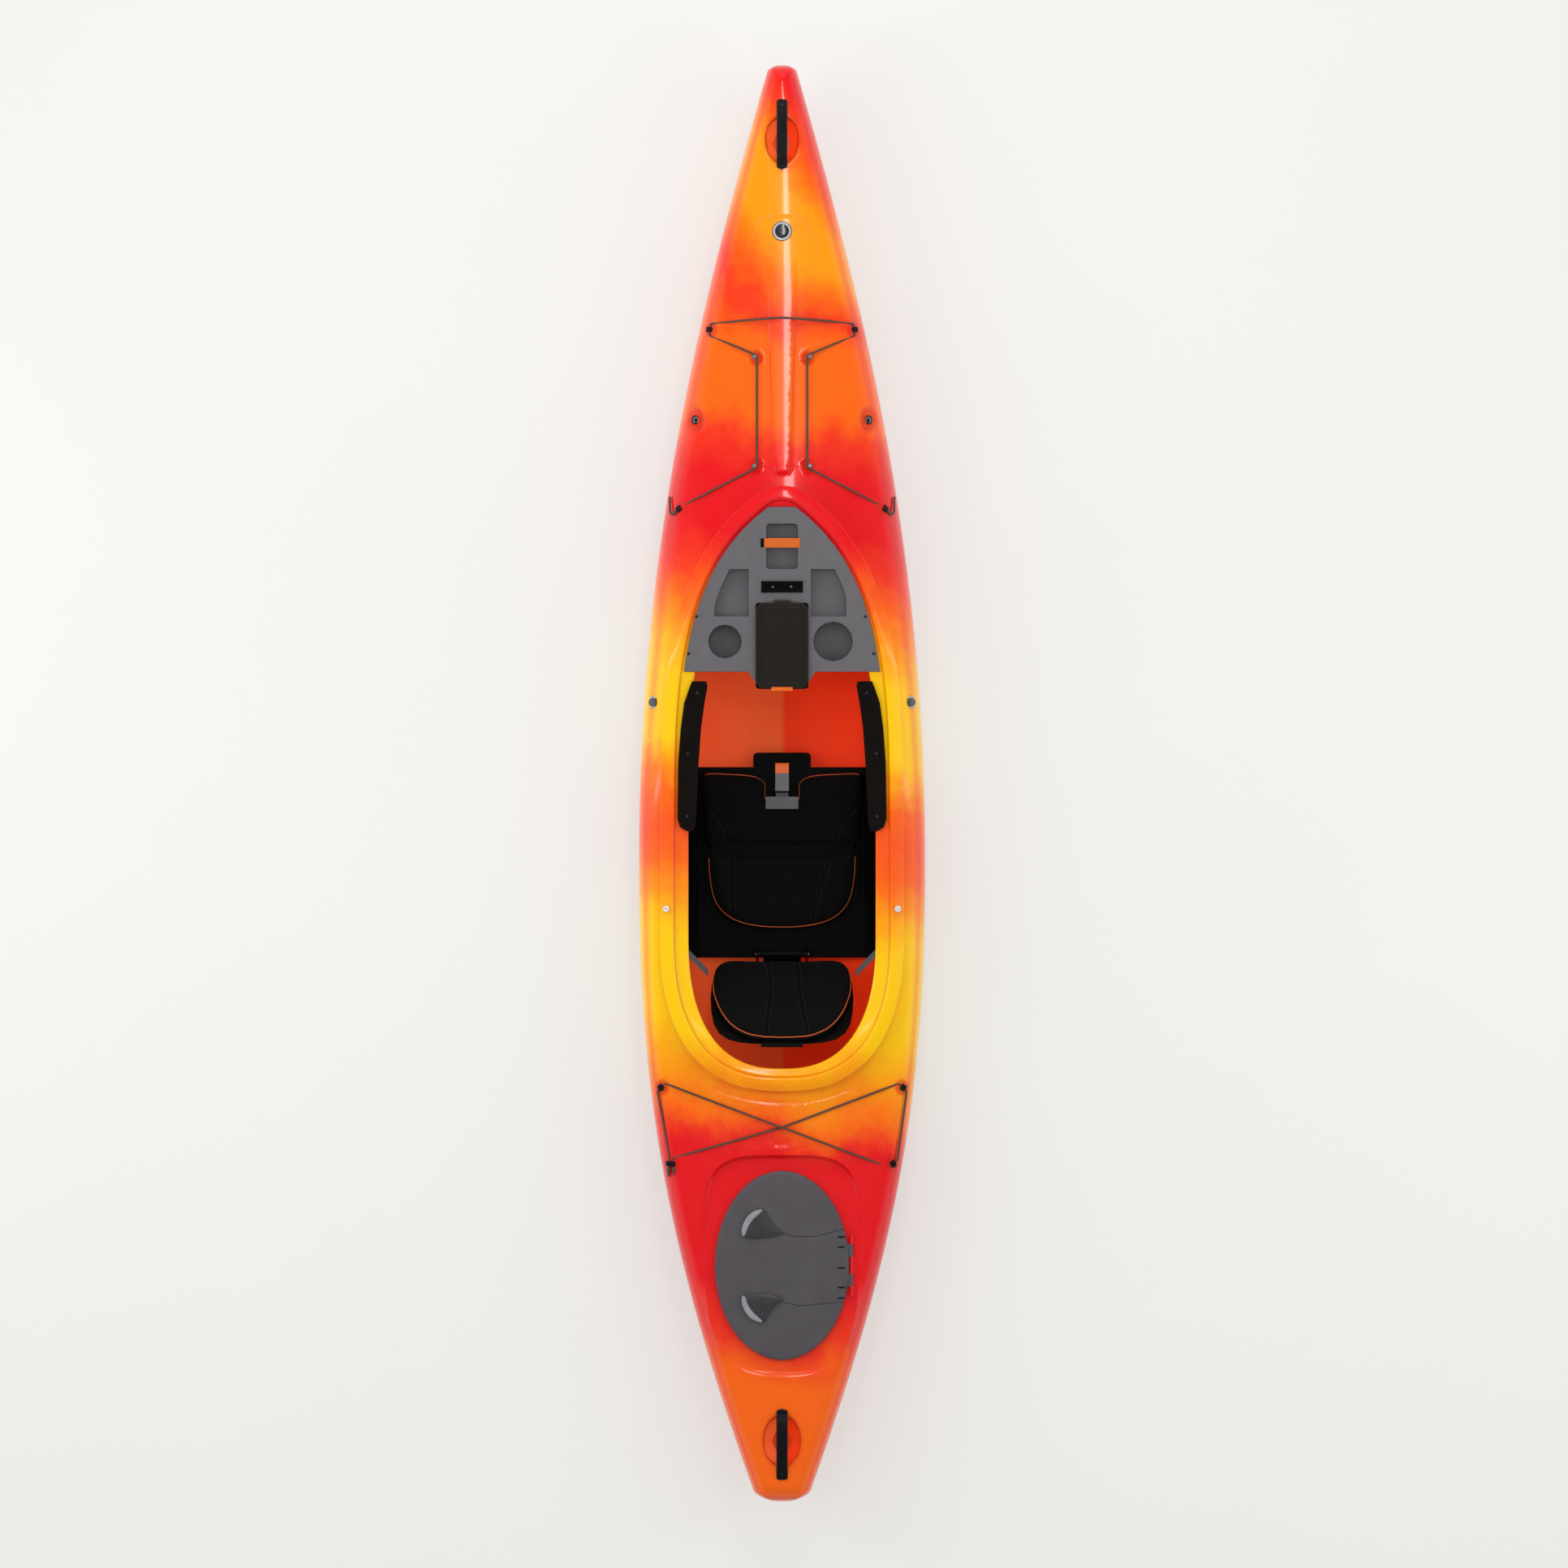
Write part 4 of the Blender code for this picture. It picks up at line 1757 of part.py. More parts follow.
def build_cushions(finishes):
    """Seat cushion in two solids, with the leg lifter under the front one."""
    lifter_low = PAN_LINE[0][1] * MM + GAP
    lifter_high = lifter_low + LIFTER_THICK
    axis = (0.0, SEAM_Y, lifter_low + LIFTER_THICK / 2)
    hinge = Matrix.Translation(axis)

    def moved(loop):
        return [(x, y - SEAM_Y) for x, y in loop]

    plan = rectangle(LIFTER_HALF, (LIFTER_FRONT - SEAM_Y - 3 * MM) / 2, 10 * MM, 2,
                     (0.0, (LIFTER_FRONT + SEAM_Y + 3 * MM) / 2))
    half_thick = LIFTER_THICK / 2
    plate("leg_lifter", finishes["black"], moved(plan), level(-half_thick), level(half_thick), hinge)
    half = [
        (0.0, NOTCH_REAR), (CUSHION_NOTCH - 4 * MM, NOTCH_REAR), (CUSHION_NOTCH, NOTCH_REAR + 4 * MM),
        (CUSHION_NOTCH, CUSHION_FRONT), (CUSHION_HALF - 44 * MM, CUSHION_FRONT),
        (CUSHION_HALF - 14 * MM, CUSHION_FRONT - 10 * MM), (CUSHION_HALF, CUSHION_FRONT - 44 * MM),
        (CUSHION_HALF - 4 * MM, -80 * MM), (CUSHION_HALF - 16 * MM, SEAM_Y + SEAM_HALF),
        (90 * MM, SEAM_Y + SEAM_HALF),
        (0.0, SEAM_Y + SEAM_HALF),
    ]
    front = both_sides(half)
    cushion(
        "seat_cushion_front", finishes["fabric"], moved(front), level(lifter_high + GAP - axis[2]),
        lambda x, y: seat_top(x, y + SEAM_Y) - axis[2], CUSHION_BULGE,
        pad_points(moved(front), 34 * MM, 26 * MM), hinge,
    )
    half = [
        (0.0, SEAM_Y - SEAM_HALF), (90 * MM, SEAM_Y - SEAM_HALF),
        (CUSHION_HALF - 16 * MM, SEAM_Y - SEAM_HALF),
        (CUSHION_HALF - 17 * MM, SEAM_Y - 60 * MM),
        (197 * MM, -280 * MM), (187 * MM, -318 * MM), (168 * MM, -346 * MM), (140 * MM, -368 * MM),
        (100 * MM, -383 * MM), (50 * MM, CUSHION_REAR), (0.0, CUSHION_REAR - MM),
    ]
    rear = both_sides(half)
    cushion(
        "seat_cushion_rear", finishes["fabric"], rear, level(lifter_low), seat_top, CUSHION_BULGE,
        pad_points(rear, 36 * MM, 26 * MM),
    )
    build_lifter_parts(finishes, hinge, axis, lifter_high)


def build_lifter_parts(finishes, hinge, axis, floor):
    """Strap, buckle and lever in the notch of the front cushion."""
    def local(points):
        return [tuple(Vector(p) - Vector(axis)) for p in points]

    top = seat_top(0, BUCKLE_REAR) + 2 * MM
    line = [
        (LIFTER_STRAP_REAR, top + 0.5 * MM), (LIFTER_STRAP_REAR + 22 * MM, top + 0.5 * MM),
        (NOTCH_REAR + 2 * MM, top - 2 * MM), (NOTCH_REAR + 6 * MM, top - 8 * MM),
        (BUCKLE_REAR - GAP - LIFTER_STRAP_THICK / 2, top - 16 * MM),
    ]
    sections = []
    for i, (y, z) in enumerate(line):
        before = Vector(line[max(i - 1, 0)])
        after = Vector(line[min(i + 1, len(line) - 1)])
        along = (after - before).normalized()
        normal = Vector((-along.y, along.x)) * LIFTER_STRAP_THICK / 2
        half = LIFTER_PLATE_HALF if i < 2 else LIFTER_STRAP_HALF
        sections.append(local([
            (-half, y + normal.x, z + normal.y), (half, y + normal.x, z + normal.y),
            (half, y - normal.x, z - normal.y), (-half, y - normal.x, z - normal.y),
        ]))
    swept("lifter_strap", finishes["grey"], sections, hinge)
    low = floor + GAP
    pivot_y, pivot_z = BUCKLE_REAR + 8 * MM, top - 6 * MM
    black = finishes["black"]
    body_high = pivot_z - BUCKLE_BODY_DROP
    corners = (-BUCKLE_HALF, BUCKLE_REAR, low), (BUCKLE_HALF, BUCKLE_FRONT, body_high)
    solids = [block("body", black, *corners)]
    for side in (-1, 1):
        x0, x1 = sorted((side * BUCKLE_HALF, side * (BUCKLE_HALF - CHEEK_THICK)))
        corner = (x1, BUCKLE_REAR + CHEEK_LONG, pivot_z + CHEEK_RISE)
        solids.append(block("cheek", black, (x0, BUCKLE_REAR, low), corner))
    fused("lifter_buckle", black, solids, (), hinge)
    lever = Matrix.Translation((0, pivot_y, pivot_z))
    sections = [[(x, v * MM, w * MM) for v, w in LEVER_PROFILE] for x in (-LEVER_HALF, LEVER_HALF)]
    swept("lifter_lever", finishes["orange"], sections, lever)


def back_top(x, y):
    """Height of the backrest pad's front face in its own frame."""
    side = abs(x) / PAD_HALF
    channel = sum(math.exp(-((x - c) / CHANNEL_WIDE) ** 2) for c in (-PAD_CHANNEL, PAD_CHANNEL))
    return PAD_FACE + PAD_WING * side * side - CHANNEL_DEPTH * channel


def build_backrest(finishes):
    """Backrest pad, its frame with the hinge barrel, the pin and the two straps."""
    frame = Matrix.Translation((0, *BACK_AXIS)) @ Matrix.Rotation(-BACK_TILT, 4, "X")
    half = [(x * MM, -y * MM) for x, y in PAD_OUTLINE]
    outline = both_sides(half)
    cushion("backrest_pad", finishes["fabric"], outline, level(PAD_BACK), back_top, PAD_BULGE,
            pad_points(outline, 36 * MM, 28 * MM), frame)
    shell_loop = offset_loop(outline, -6 * MM)
    black = finishes["black"]
    high = PAD_BACK - GAP
    low = high - FRAME_THICK
    shell = plate("shell", black, shell_loop, level(low), level(high), frame)
    barrel = rod("barrel", black, BACK_BARREL, (-BARREL_HALF, 0, 0), (BARREL_HALF, 0, 0), 16, frame)
    corners = (-ARM_HALF, -ARM_REACH, low + MM), (ARM_HALF, ARM_THICK, low + 4 * MM)
    foot = block("foot", black, *corners, frame)
    corners = (-ARM_HALF, -ARM_THICK, low + 2 * MM), (ARM_HALF, ARM_THICK - MM, -2 * MM)
    arm = block("arm", black, *corners, frame)
    bore = rod("bore", black, BACK_PIN + GAP, (-BORE_REACH, 0, 0), (BORE_REACH, 0, 0), 14, frame)
    fused("backrest_frame", black, [shell, barrel, foot, arm], [bore], frame)
    ends = (-PIN_HALF, *BACK_AXIS), (PIN_HALF, *BACK_AXIS)
    rod("backrest_pin", finishes["steel"], BACK_PIN, *ends, 12)
    for side, label in ((-1, "left"), (1, "right")):
        start = Vector((side * STRAP_TOP[0], STRAP_TOP[1], STRAP_TOP[2]))
        end = Vector((side * STRAP_LOW[0], STRAP_LOW[1], STRAP_LOW[2]))
        run = (end - start).normalized()
        wide = run.cross(Vector((1, 0, 0))).normalized() * WEBBING_HALF
        thick = run.cross(wide).normalized() * WEBBING_THICK / 2
        sections = []
        for k in range(5):
            place = start.lerp(end, k / 4)
            corners = ((1, 1), (-1, 1), (-1, -1), (1, -1))
            sections.append([tuple(place + wide * a + thick * b) for a, b in corners])
        swept(f"backrest_strap_{label}", finishes["webbing"], sections)


# Inside and hatch


def filler(name, finish, xs, ys, floor, deck):
    """Foam body that fills the space between the hull's floor and the deck."""
    skin = Skin()
    low, high = {}, {}
    for x in xs:
        for y in ys:
            reach = FOAM_REACH
            spots = [(x + a * reach, y + b * reach) for a in (-1, 0, 1) for b in (-1, 0, 1)]
            ground = max(floor.above(*spot, FOAM_START) for spot in spots)
            ceiling = min(deck.below(*spot, FOAM_START) for spot in spots)
            low[x, y] = (x, y, ground + FOAM_GAP)
            high[x, y] = (x, y, ceiling - FOAM_GAP)
    for face in (low, high):
        for x0, x1 in zip(xs, xs[1:]):
            for y0, y1 in zip(ys, ys[1:]):
                skin.face([face[x0, y0], face[x1, y0], face[x1, y1], face[x0, y1]])
    border = [(x, ys[0]) for x in xs] + [(xs[-1], y) for y in ys[1:]]
    border += [(x, ys[-1]) for x in reversed(xs[:-1])] + [(xs[0], y) for y in reversed(ys[1:-1])]
    skin.band([low[p] for p in border], [high[p] for p in border])
    return add_object(name, skin.mesh(name), finish)


def build_foam(finishes, floor, deck):
    """Rear bulkhead and bow pillar."""
    reach = half_beam(BULKHEAD_AFT, WALL) - BULKHEAD_SIDE
    xs = [reach * math.sin(math.pi / 2 * k / 7) for k in range(-7, 8)]
    filler("rear_bulkhead", finishes["foam"], xs, [BULKHEAD_AFT, BULKHEAD_FORE], floor, deck)
    ys = [PILLAR_AFT + (PILLAR_FORE - PILLAR_AFT) * k / 8 for k in range(9)]
    filler("bow_pillar", finishes["foam"], [PILLAR_HALF * k / 2 for k in range(-2, 3)], ys, floor, deck)


def build_footrests(finishes, floor):
    """Foot rails on the hull's sides, with a pedal that slides on each."""
    for side, label in ((-1, "left"), (1, "right")):
        ends = []
        for y in (RAIL_AFT, RAIL_FORE):
            wall = min(
                abs(floor.hit((side * 0.1, y + a * 2 * MM, RAIL_Z + b * RAIL_TALL), (side, 0, 0)).x)
                for a in (-1, 0, 1) for b in (-1, 0, 1)
            )
            ends.append(Vector((side * (wall - GAP - RAIL_THICK / 2), y, RAIL_Z)))
        middle = (ends[0] + ends[1]) / 2
        run = ends[1] - ends[0]
        turn = math.atan2(-run.x, run.y)
        frame = Matrix.Translation(middle) @ Matrix.Rotation(turn, 4, "Z")
        reach = run.length / 2
        thick, tall = RAIL_THICK / 2, RAIL_TALL
        outline = [(-thick, -reach), (thick, -reach), (thick, reach), (-thick, reach)]
        name = f"foot_rail_{label}"
        plate(name, finishes["black"], outline, level(-tall), level(tall), frame, bevel=1.5 * MM)
        clear, outer = thick + PEDAL_GAP, tall + JAW_THICK
        web, root = clear + JAW_THICK, clear + JAW_THICK / 2
        boxes = {
            "web": (clear, web, JAW_HALF, -outer, outer),
            "upper": (-JAW_LIP, root, JAW_HALF, tall + PEDAL_GAP, outer),
            "lower": (-JAW_LIP, root, JAW_HALF, -outer, -tall - PEDAL_GAP),
            "pad": (root, clear + PEDAL_WIDE, PEDAL_THICK / 2, -PEDAL_LOW, PEDAL_TALL),
        }
        jaw = []
        for part, (near, far, half, z0, z1) in boxes.items():
            jaw.append(block(part, finishes["black"], *box_across(-side, near, far, -half, half, z0, z1)))
        place = frame @ Matrix.Translation((0, PEDAL_SHIFT, 0))
        for piece in jaw:
            piece.matrix_world = place
        bpy.context.view_layer.update()
        fused(f"foot_pedal_{label}", finishes["black"], jaw, (), place)


def box_across(sign, x0, x1, y0, y1, z0, z1):
    """Corners of a box given by its distances along a signed X axis."""
    low, high = sorted((sign * x0, sign * x1))
    return (low, y0, z0), (high, y1, z1)


def build_hatch(finishes):
    """Hatch lid on its seal, with hinge, pin and two latches."""
    tilt = Matrix.Rotation(-math.atan(HATCH_TILT), 4, "X")
    frame = Matrix.Translation((0, HATCH_Y, HATCH_SEAT_HEIGHT)) @ tilt

    def oval(grow):
        return ellipse_loop(HATCH_HALF_WIDTH + grow, HATCH_HALF_LENGTH + grow, 0.0, HATCH_POINTS)

    skin = Skin()
    rim_out, rim_in = -HATCH_RIM_IN + SEAL_LIP, -HATCH_RIM_IN - HATCH_RIM_THICK - SEAL_LIP
    low, high = HATCH_RIM_HEIGHT + SEAL_GAP, HATCH_RIM_HEIGHT + SEAL_GAP + SEAL_THICK
    corners = ((rim_out, low), (rim_out, high), (rim_in, high), (rim_in, low))
    rings = [lifted(oval(grow), level(height)) for grow, height in corners]
    skin.bands(rings + rings[:1])
    add_object("hatch_seal", skin.mesh("hatch_seal"), finishes["rubber"], frame)

    axis = Matrix.Translation((HINGE_X, 0, HINGE_Z))
    hinge = frame @ axis

    def crown(x, y):
        share = min(math.hypot(x / HATCH_HALF_WIDTH, y / HATCH_HALF_LENGTH), 1.0)
        return LID_TOP + LID_CROWN * (1 - share * share)

    skin = Skin()
    under = high + GAP
    loops = [
        lifted(oval(-LID_ROUND), crown), lifted(oval(-LID_ROUND * 0.3), level(LID_TOP - 1.2 * MM)),
        lifted(oval(0), level(LID_TOP - LID_ROUND * 0.7)), lifted(oval(0), level(LID_SKIRT)),
        lifted(oval(-LID_WALL), level(LID_SKIRT)), lifted(oval(-LID_WALL), level(under)),
    ]
    skin.bands(loops)
    inner = ellipse_loop(HATCH_HALF_WIDTH * 0.66, HATCH_HALF_LENGTH * 0.66, 0.0, 16)
    inner += ellipse_loop(HATCH_HALF_WIDTH * 0.33, HATCH_HALF_LENGTH * 0.33, 0.0, 8) + [(0.0, 0.0)]
    skin.fill(loops[0], inner=inner, height=crown)
    skin.fill(loops[-1])
    lid = add_object("lid_shell", skin.mesh("lid_shell"), finishes["grey"], frame)
    solids, leaf = [lid], []
    black = finishes["black"]

    def along(start, end):
        return (HINGE_X, start, HINGE_Z), (HINGE_X, end, HINGE_Z)

    for k, (start, end) in enumerate(KNUCKLES):
        barrel = rod("barrel", black, BARREL, *along(start, end), 12, frame)
        if k % 2:
            corners = (HINGE_X - LID_ARM, start, HINGE_Z - MM), (HINGE_X, end, HINGE_Z + LID_ARM_HIGH)
            solids += [barrel, block("arm", black, *corners, frame)]
        else:
            corners = (HINGE_X, start, HINGE_BASE), (HINGE_X + HINGE_LEAF, end, HINGE_Z)
            leaf += [barrel, block("foot", black, *corners, frame)]
    first, last = KNUCKLES[0][0], KNUCKLES[-1][1]
    near, far = HINGE_X + BARREL + GAP, HINGE_X + HINGE_LEAF
    base = block("base", black, (near, first, HINGE_BASE), (far, last, HINGE_BASE + LEAF_THICK), frame)
    bores = [rod("bore", black, PIN + GAP, *along(first - MM, last + MM), 12, frame) for _ in range(2)]
    fused("hatch_lid", finishes["grey"], solids, bores[:1], hinge)
    fused("hatch_hinge", black, [base, *leaf], bores[1:], hinge)
    rod("hatch_hinge_pin", finishes["steel"], PIN, *along(first + MM, last - MM), 10, frame)

    for label, y_low, y_high in LATCHES:
        middle, half = (y_low + y_high) / 2, (y_high - y_low) / 2
        places = (LATCH_TIP_X, (LATCH_TIP_X + LATCH_LEFT_X) / 2, LATCH_LEFT_X)
        rest = max(crown(x, middle + a * half) for x in places for a in (-1, 0, 1)) + GAP
        turn = frame @ Matrix.Translation((LATCH_TIP_X, middle, rest + LATCH_THICK / 2))
        sections = []
        for x, share, rise in LATCH_STATIONS:
            wide = half * share
            base_z, top_z = -LATCH_THICK / 2, LATCH_THICK / 2 + rise
            sections.append([
                (x, -wide, base_z), (x, wide, base_z), (x, wide, top_z - MM), (x, wide - MM, top_z),
                (x, -wide + MM, top_z), (x, -wide, top_z - MM),
            ])
        swept(f"hatch_latch_{label}", finishes["black"], sections, turn)


def main():
    """Build every piece."""
    clear_scene()
    finishes = {
        "shell": material("shell_plastic", (0.85, 0.12, 0.01), 0.35),
        "grey": material("grey_plastic", (0.15, 0.15, 0.15), 0.55),
        "lid": material("lid_plastic", (0.06, 0.045, 0.035), 0.5),
        "black": material("black_plastic", (0.02, 0.02, 0.02), 0.5),
        "orange": material("orange_plastic", (0.9, 0.2, 0.0), 0.4),
        "fitting": material("fitting_plastic", (0.03, 0.03, 0.03), 0.4),
        "steel": material("stainless_steel", (0.6, 0.6, 0.62), 0.3, 1.0),
        "badge": material("badge_plastic", (0.3, 0.3, 0.32), 0.35),
        "cord": material("elastic_cord", (0.25, 0.14, 0.1), 0.8),
        "fabric": material("black_fabric", (0.03, 0.03, 0.03), 0.9),
        "webbing": material("grey_webbing", (0.2, 0.2, 0.21), 0.85),
        "foam": material("foam", (0.2, 0.2, 0.2), 0.9),
        "rubber": material("rubber", (0.03, 0.03, 0.03), 0.8),
    }
    crest = rim_loop(CREST_HALF, CREST_FRONT, CREST_REAR)
    opening = rim_loop(OPENING_HALF, OPENING_FRONT, OPENING_REAR)
    hull = build_hull(finishes["shell"])
    deck = build_deck(finishes["shell"], crest, opening)
    floor, skin = Surface(hull), Surface(deck)
    build_handle("bow_handle", finishes["black"], skin, *BOW_HANDLE, BOW_WELL)
    build_handle("stern_handle", finishes["black"], skin, *STERN_HANDLE, STERN_WELL)
    build_fore_bungee(finishes, skin)
    build_rear_bungee(finishes, skin)
    build_trim(finishes, skin)
    build_brace("thigh_brace_left", finishes["black"], -1, skin, opening)
    build_brace("thigh_brace_right", finishes["black"], 1, skin, opening)
    build_dashboard(finishes, crest, opening)
    build_dry_box(finishes)
    build_seat(finishes, floor, skin)
    build_cushions(finishes)
    build_backrest(finishes)
    build_foam(finishes, floor, skin)
    build_footrests(finishes, floor)
    build_hatch(finishes)


main()
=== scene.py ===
"""Recreational kayak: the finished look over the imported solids.

Metres, in the solids' own frame: +Y points to the bow, +X to starboard, +Z up.
"""
import json
import logging
import math
from collections.abc import Callable, Iterable, Sequence
from dataclasses import dataclass, field
from enum import Enum
from functools import reduce

import bmesh
import bpy
import numpy as np
from mathutils import Matrix, Vector
from mathutils.bvhtree import BVHTree
from mathutils.geometry import delaunay_2d_cdt
from mathutils.kdtree import KDTree

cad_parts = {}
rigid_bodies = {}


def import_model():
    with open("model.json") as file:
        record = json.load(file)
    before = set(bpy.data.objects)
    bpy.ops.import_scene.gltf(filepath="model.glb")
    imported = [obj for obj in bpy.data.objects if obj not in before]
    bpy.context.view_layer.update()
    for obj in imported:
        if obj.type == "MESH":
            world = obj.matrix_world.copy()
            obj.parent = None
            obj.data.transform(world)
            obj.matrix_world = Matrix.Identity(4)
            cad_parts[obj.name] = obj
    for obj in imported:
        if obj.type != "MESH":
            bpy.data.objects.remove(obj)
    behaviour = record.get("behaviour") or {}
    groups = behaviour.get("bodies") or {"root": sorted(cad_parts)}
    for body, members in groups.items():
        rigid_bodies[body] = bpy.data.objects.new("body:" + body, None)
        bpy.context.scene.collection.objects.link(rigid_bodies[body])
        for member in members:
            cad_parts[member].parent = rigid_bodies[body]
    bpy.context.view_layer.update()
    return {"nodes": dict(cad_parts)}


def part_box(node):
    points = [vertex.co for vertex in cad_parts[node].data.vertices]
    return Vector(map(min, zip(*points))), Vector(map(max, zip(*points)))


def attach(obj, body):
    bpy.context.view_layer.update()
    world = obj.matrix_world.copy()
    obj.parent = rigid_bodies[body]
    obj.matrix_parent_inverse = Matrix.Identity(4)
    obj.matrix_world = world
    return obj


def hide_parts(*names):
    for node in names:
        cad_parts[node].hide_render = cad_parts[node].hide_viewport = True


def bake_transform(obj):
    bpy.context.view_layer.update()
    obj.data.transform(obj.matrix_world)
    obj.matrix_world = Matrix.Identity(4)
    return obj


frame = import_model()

LOG = logging.getLogger("kayak")
MM = 0.001
GAP = 0.3 * MM
SIDES = ((-1, "left"), (1, "right"))
# Radians that a wave texture turns through in a metre at scale 1
WAVE_RADIANS = 20

Array = np.ndarray
Material = bpy.types.Material
Mesh = bpy.types.Mesh
Node = bpy.types.Node
Socket = bpy.types.NodeSocket
Thing = bpy.types.Object
Tree = bpy.types.NodeTree
Pair = tuple[float, float]
Triple = tuple[float, float, float]
Four = tuple[float, float, float, float]
Height = Callable[[Array, Array], Array]


class Body(str, Enum):
    """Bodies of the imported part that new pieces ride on."""

    BOAT = "boat"
    DASHBOARD = "dashboard"
    BOX_LID = "dry_box_lid"
    LIFTER = "leg_lifter"
    BACKREST = "backrest"
    LATCH_FRONT = "hatch_latch_front"
    LATCH_REAR = "hatch_latch_rear"


class Tone(str, Enum):
    """Powder colours that are blended along the moulded shell."""

    RED = "#e4131b"
    SCARLET = "#ee3418"
    EMBER = "#f65410"
    ORANGE = "#f8650c"
    AMBER = "#fb9606"
    YELLOW = "#fcc603"


# Node and colour helpers


def linear(code: str) -> Four:
    """Turn an sRGB hex value into a linear colour.

    Args:
        code: Hex value such as "#f8650c".

    Returns:
        Red, green, blue and alpha, for a node socket.
    """
    parts = [int(code[i:i + 2], 16) / 255 for i in (1, 3, 5)]
    turned = [p / 12.92 if p <= 0.04045 else ((p + 0.055) / 1.055) ** 2.4 for p in parts]
    return (turned[0], turned[1], turned[2], 1.0)


def connect(tree: Tree, socket: Socket, value: object) -> None:
    """Link an input to another node's output, or give it a constant, where a hex value is a colour.

    Args:
        tree: Tree that holds the input.
        socket: Input to set.
        value: Link or constant.
    """
    if isinstance(value, Socket):
        tree.links.new(value, socket)
    elif value is not None:
        socket.default_value = linear(value) if str(value).startswith("#") else value


def add(tree: Tree, kind: str, inputs: dict | Sequence = (), **settings: object) -> Node:
    """Add a node of any kind with its settings, values and links.

    Args:
        tree: Tree that gets the node.
        kind: Node type, such as "ShaderNodeTexNoise".
        inputs: Values and links by an input's name or number, or in the order of the inputs in use.
        settings: Properties of the node itself.

    Returns:
        The new node.
    """
    node = tree.nodes.new(kind)
    for name, value in settings.items():
        setattr(node, name, value)
    if not isinstance(inputs, dict):
        inputs = dict(zip([i for i, socket in enumerate(node.inputs) if socket.enabled], inputs))
    for key, value in inputs.items():
        connect(tree, node.inputs[key], value)
    return node


class Canvas:
    """A new material's tree with its shader and object coordinates at hand."""

    def __init__(self, name: str) -> None:
        """Start a Principled material of a given name.

        Args:
            name: Name of the material.
        """
        self.material = bpy.data.materials.new(name)
        self.material.use_nodes = True
        self.tree = self.material.node_tree
        self.shader = self.tree.nodes["Principled BSDF"]
        places = add(self.tree, "ShaderNodeTexCoord").outputs
        self.place, self.facing = places["Object"], places["Normal"]

    def add(self, kind: str, *values: object, output: str = "", **settings: object) -> Socket:
        """Add a node to this material and take one of its outputs.

        Args:
            kind: Node type after "ShaderNode", such as "Math".
            values: Constants, hex colours and links, in the order of the inputs in use.
            output: Name of the output, or nothing for the first one in use.
            settings: Properties of the node itself.

        Returns:
            The output.
        """
        outputs = add(self.tree, "ShaderNode" + kind, values, **settings).outputs
        return outputs[output] if output else next(socket for socket in outputs if socket.enabled)

    def set(self, **values: object) -> None:
        """Give shader inputs, named with underscores for spaces, a constant or a link."""
        for name, value in values.items():
            connect(self.tree, self.shader.inputs[name.replace("_", " ")], value)

    def patches(self, millimetres: float, detail: float, low: float, high: float, start: float = 0.0,
                end: float = 1.0, vector: Socket | None = None) -> Socket:
        """Soft patches: noise held between two values and mapped to two others.

        Args:
            millimetres: Their size.
            detail: Fineness of their edges.
            low: Noise that gives the start.
            high: Noise that gives the end.
            start: First result.
            end: Last result.
            vector: Coordinates that they follow, or None for the object's own.

        Returns:
            The mapped value.
        """
        noise = self.add("TexNoise", vector or self.place, 1000 / millimetres, detail)
        return self.add("MapRange", noise, low, high, start, end)

    def wave_scale(self, millimetres: float) -> float:
        """Scale of a wave texture whose bands lie so many millimetres apart."""
        return 2 * math.pi / (millimetres * MM * WAVE_RADIANS)

    def least(self, values: Iterable[Socket]) -> Socket:
        """Smallest of several values."""
        return reduce(lambda first, second: self.add("Math", first, second, operation="MINIMUM"), values)

    def relief(self, *pairs: object) -> None:
        """Raise the surface by pairs of a depth in millimetres and a height from 0 to 1.

        Args:
            pairs: Depths and heights in turn.
        """
        for depth, height in zip(pairs[::2], pairs[1::2]):
            below = [link.from_socket for link in self.shader.inputs["Normal"].links]
            inputs = {"Height": height, "Distance": depth * MM, "Strength": 1.0, "Normal": below[0] if below else None}
            self.set(Normal=add(self.tree, "ShaderNodeBump", inputs).outputs[0])

    def segment(self, start: Pair, end: Pair) -> Socket:
        """Distance in plan from the line between two points, in metres.

        Args:
            start: First point.
            end: Second point.

        Returns:
            The distance.
        """
        run = Vector(end) - Vector(start)
        flat = self.add("VectorMath", self.place, (1.0, 1.0, 0.0), operation="MULTIPLY")
        away = self.add("VectorMath", flat, (*start, 0.0), operation="SUBTRACT")
        along = self.add("VectorMath", away, (*(run / run.length_squared), 0.0), operation="DOT_PRODUCT")
        held = self.add("MapRange", along, 0.0, 1.0)
        near = self.add("VectorMath", (*run, 0.0), held, operation="SCALE")
        return self.add("VectorMath", away, near, operation="DISTANCE")


# Finishes


@dataclass(frozen=True)
class Finish:
    """A surface finish whose material is made once and shared."""

    name: str

    def material(self) -> Material:
        """The finish's material, made when it is first asked for.

        Returns:
            The material.
        """
        found = bpy.data.materials.get(self.name)
        if found is None:
            canvas = Canvas(self.name)
            self.paint(canvas)
            found = canvas.material
        return found

    def paint(self, canvas: Canvas) -> None:
        """Lay out the material; each kind of finish has its own way."""
        raise NotImplementedError


